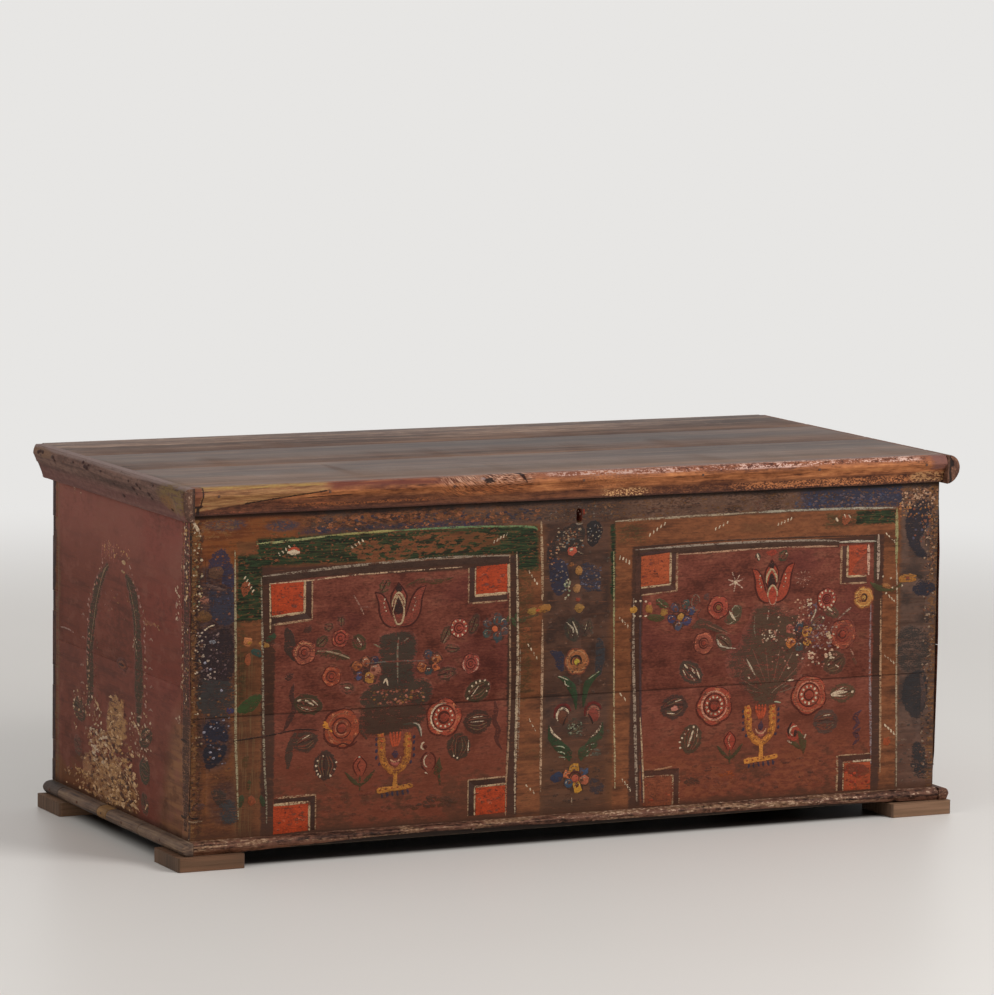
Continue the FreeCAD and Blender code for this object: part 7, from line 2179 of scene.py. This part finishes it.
# End battens of the lid: the left one a chamfered moulding that ends in a blunt block
# at the front, the right one a stout half-round. Both show crumbly end grain.
left_low, left_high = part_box("left_lid_batten")
right_low, right_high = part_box("right_lid_batten")
BLOCK_LENGTH = 62.0
WORM_HOLES = [(279, 550, 2.6), (271, 552, 2.0), (261.5, 552, 2.4), (216.5, 549, 2.8), (212, 545, 2.0),
              (131, 551, 1.6), (92, 555, 2.2), (84, 549, 2.4), (76, 548, 3.2), (70, 553, 1.8), (18, 550, 1.8),
              (-24, 536, 1.6), (-47, 520, 2.4), (-95, 548, 1.6), (-103, 538, 3.2), (-109, 530, 1.8),
              (-127, 546, 2.4), (-134, 541, 1.8), (-162, 536, 2.8), (-168, 530, 2.0),
              (-190, 552, 1.6), (-240, 522, 1.8)]


def left_batten_section(along):
    """The lip's round and hollow, which turns into a blunt block over the front BLOCK_LENGTH."""
    hollow = [(18.5, lid_top - 13), (14.0, lid_top - 22), (9.5, lid_top - 31.5),
              (5.6, lid_top - 41), (2.2, lid_top - 50)]
    moulded = lip_round + through(hollow)[1:] + [(2, lid_top - 52)]
    nose = [(11, lid_top), (14.5, lid_top - 1.4), (17, lid_top - 5), (18.2, lid_top - 11)]
    flank = [(18.4, lid_top - 14), (18.4, lid_top - 24), (17.8, lid_top - 33),
             (15.6, lid_top - 41), (12, lid_top - 47)]
    blunt = resampled(through(nose, 2) + through(flank)[1:] + [(7.5, lid_top - 50)], len(moulded))
    share = min(1.0, max(0.0, (left_low.y / MM + BLOCK_LENGTH - along) / (BLOCK_LENGTH * 0.7)))
    share = share * share * (3 - 2 * share)
    blend = [(a[0] + (b[0] - a[0]) * share, a[1] + (b[1] - a[1]) * share) for a, b in zip(moulded, blunt)]
    return [(0, lid_top)] + blend + [(0, lid_top - 52 + 2 * share)]


def resampled(points, count):
    """The same bent line with this many points, evenly spaced."""
    steps = [math.dist(a, b) for a, b in zip(points, points[1:])]
    whole = sum(steps)
    made = [points[0]]
    for number in range(1, count - 1):
        goal = whole * number / (count - 1)
        place = 0
        while goal > steps[place]:
            goal -= steps[place]
            place += 1
        share = goal / steps[place]
        made.append(tuple(a + (b - a) * share for a, b in zip(points[place], points[place + 1])))
    return made + [points[-1]]


def right_batten_section(along):
    """A stout half-round, its lower part drawn back."""
    upper = arc_points(3.47, lid_top - 19, 19.53, 76.6, 0, count=7)
    lower = arc_points(-3.36, lid_top - 19, 26.36, 0, -71.5, count=8)
    return [(0, lid_top)] + upper + lower[1:] + [(0, lid_top - 44)]


def batten_finish(name, left):
    finish = Finish(name)
    streak = finish.cloud((20, 220, 9), 111, 4.0, 0.62)
    fibre = finish.cloud((4, 60, 1.6), 112, 3.0, 0.6)
    flake = finish.cloud((10, 16, 7), 113, 4.0, 0.66)
    chip = finish.cloud((3, 3.4, 2.4), 114, 2.0, 0.6)
    y = finish.y + (flake - 0.5) * 26
    z = finish.z + (streak - 0.5) * 6
    if left:
        colour = finish.ramp(streak * 0.6 + flake * 0.4,
                [(0.4, "#402a22"), (0.5, "#583d33"), (0.6, "#705246")])
        colour = finish.mix(colour, "#85706a", z.rise(554, 558.5) * 0.75)
        colour = finish.mix(colour, "#683c37", z.rise(536, 520) * 0.5)
        olive = oval(y, z, -262, 540, 58, 22, 0.5)
        colour = finish.coats(
            colour,
            ("#6b532c", olive * (flake * 0.5 + fibre * 0.5).rise(0.42, 0.52) * 0.85),
            ("#7c5230", oval(y, z, -240, 532, 34, 11, 0.5) * chip.rise(0.46, 0.54) * 0.8),
            ("#76573f", oval(y, z, 262, 551, 40, 8, 0.5) * 0.6))
        hole_y = finish.y + (chip - 0.5) * 4
        hole_z = finish.z + (flake - 0.5) * 4
        for across, up, size in WORM_HOLES:
            reach = ((hole_y - across) / (size * 2.4)) ** 2 + ((hole_z - up) / (size * 1.2)) ** 2
            colour = finish.mix(colour, "#2e120c", reach.rise(1.4, 0.5) * 0.95)
        drip = oval(finish.y, finish.z, 214, 543, 2.4, 7, 0.5)
        colour = finish.mix(colour, "#4a2a20", drip * 0.7)
        stained = (flake * 0.5 + chip * 0.5).rise(0.56, 0.64) * z.rise(540, 546)
        colour = finish.mix(colour, "#402a20", stained * 0.7)
    else:
        colour = finish.ramp(streak * 0.6 + flake * 0.4,
                [(0.36, "#4c3328"), (0.5, "#664637"), (0.64, "#7a5846")])
    colour = finish.mix(colour, "#3c2d26", (fibre * 0.6 + streak * 0.4).rise(0.55, 0.66) * 0.5)
    height = streak * 0.3 + fibre * 0.4 + chip * 0.3
    return finish.surface(colour, 0.55 + chip * 0.2, height, depth=0.8, shine=0.16)


def crumbly_grain_finish(name, middle_x, pale, dark, crack_share):
    """End grain seen from the front, with a ragged dark crack down it."""
    finish = Finish(name)
    ragged = finish.cloud((9, 9, 11), 121, 4.0, 0.66)
    chip = finish.cloud((2.6, 3, 2.6), 122, 3.0, 0.62)
    colour = finish.mix(dark, "#664535", ragged.rise(0.4, 0.6))
    colour = finish.mix(colour, pale, (chip * 0.6 + ragged * 0.4).rise(0.54, 0.62) * 0.75)
    crack = (abs(finish.x + (ragged - 0.5) * 16 - middle_x).rise(3.0, 1.2)
             * finish.z.rise(514, 520) * crack_share)
    colour = finish.mix(colour, "#120c0a", crack * 0.9)
    return finish.surface(colour, 0.7 + chip * 0.15, ragged + chip - crack * 0.8, depth=1.8, shine=0.25)


left_batten_paint = batten_finish("left_batten_paint", True)
right_batten_paint = batten_finish("right_batten_paint", False)
left_grain = crumbly_grain_finish("left_batten_end_grain", left_low.x / MM + 17.5, "#a08670", "#4a332a", 0.7)
right_grain = crumbly_grain_finish("right_batten_end_grain", right_low.x / MM + 5.5,
        "#8a5f47", "#4a2e22", 1.0)


def worm_bumps(place, along):
    """Hollows in mm: the batten's slow waves and its worm holes."""
    deep = 0.4 * noise.noise(Vector((along / 70, 2, 0)))
    for across, up, size in WORM_HOLES:
        near = math.hypot((place.y - across) / 2, place.z - up) / size
        deep += max(0.0, 1 - near) * 1.6
    return deep


def end_face(middle, normal):
    """0 the long sides, 1 the ends."""
    return 1 if abs(normal.y) > 0.72 else 0


piece = swept("worn_left_lid_batten", left_low.y / MM, left_high.y / MM, 3, left_batten_section,
              side_seat(left_high.x, -1), [left_batten_paint, left_grain], end_face, wear=0.6, seed=51,
              blunt=3.2, bumps=worm_bumps)
stand_for(piece, "left_lid_batten", "lid")
piece = swept("worn_right_lid_batten", right_low.y / MM, right_high.y / MM, 4, right_batten_section,
              side_seat(right_low.x, 1), [right_batten_paint, right_grain], end_face,
              wear=0.6, seed=53, blunt=3.2)
stand_for(piece, "right_lid_batten", "lid")


# Ironwork: two strap hinges and a half lock inside the front, hammered from bar and
# gone brown with rust, and the nails that hold everything.
def iron_finish(name, body, rust, metal, rough, seed):
    finish = Finish(name)
    hammered = finish.cloud((13, 13, 13), seed, 2.0)
    scale = finish.cloud((3.4, 3.4, 3.4), seed + 1, 3.0, 0.6)
    rusty = (hammered * 0.5 + scale * 0.5).rise(0.47, 0.6)
    colour = finish.mix(body, rust, rusty * 0.85)
    colour = finish.mix(colour, "#1c1512", scale.rise(0.4, 0.28) * 0.6)
    return finish.surface(colour, rough + scale * 0.25, hammered * 1.4 + scale * 0.3, depth=0.5, metal=metal)


dark_iron = iron_finish("hammered_dark_iron", "#443b36", "#64432f", 0.6, 0.42, 131)
bright_iron = iron_finish("rubbed_bolt_iron", "#6e665f", "#5a4233", 0.85, 0.3, 133)
nail_iron = iron_finish("forged_nail_iron", "#3b312c", "#533828", 0.6, 0.45, 135)
brad_brown = iron_finish("painted_over_brads", "#4a2b1c", "#5e3823", 0.0, 0.6, 137)

for node, body, axis in (
        ("left_hinge_lid_strap", "lid", "Y"), ("right_hinge_lid_strap", "lid", "Y"),
        ("left_hinge_back_strap", "body", "Z"), ("right_hinge_back_strap", "body", "Z"),
        ("lock_plate", "body", "X"), ("lock_case", "body", "Y"), ("lid_staple", "lid", "Y")):
    piece = worn_copy(node, "forged_" + node, axis, [dark_iron], pick_first, arris=0.45 * MM,
            step=7 * MM, chip=0.5, seed=61)
    stand_for(piece, node, body)


def give_finish(node, finish):
    """A finish for a CAD node that keeps its own shape."""
    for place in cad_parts[node].material_slots:
        place.material = finish


for node in ("left_hinge_pin", "right_hinge_pin", "lock_spring"):
    give_finish(node, dark_iron)
give_finish("lock_bolt", bright_iron)
for node in ("lock_nails", "hinge_lid_nails", "hinge_back_nails", "staple_nails",
             "bottom_board_nails", "foot_nails"):
    give_finish(node, nail_iron)
for node in ("lid_batten_nails", "lid_moulding_nails", "base_moulding_nails"):
    give_finish(node, brad_brown)
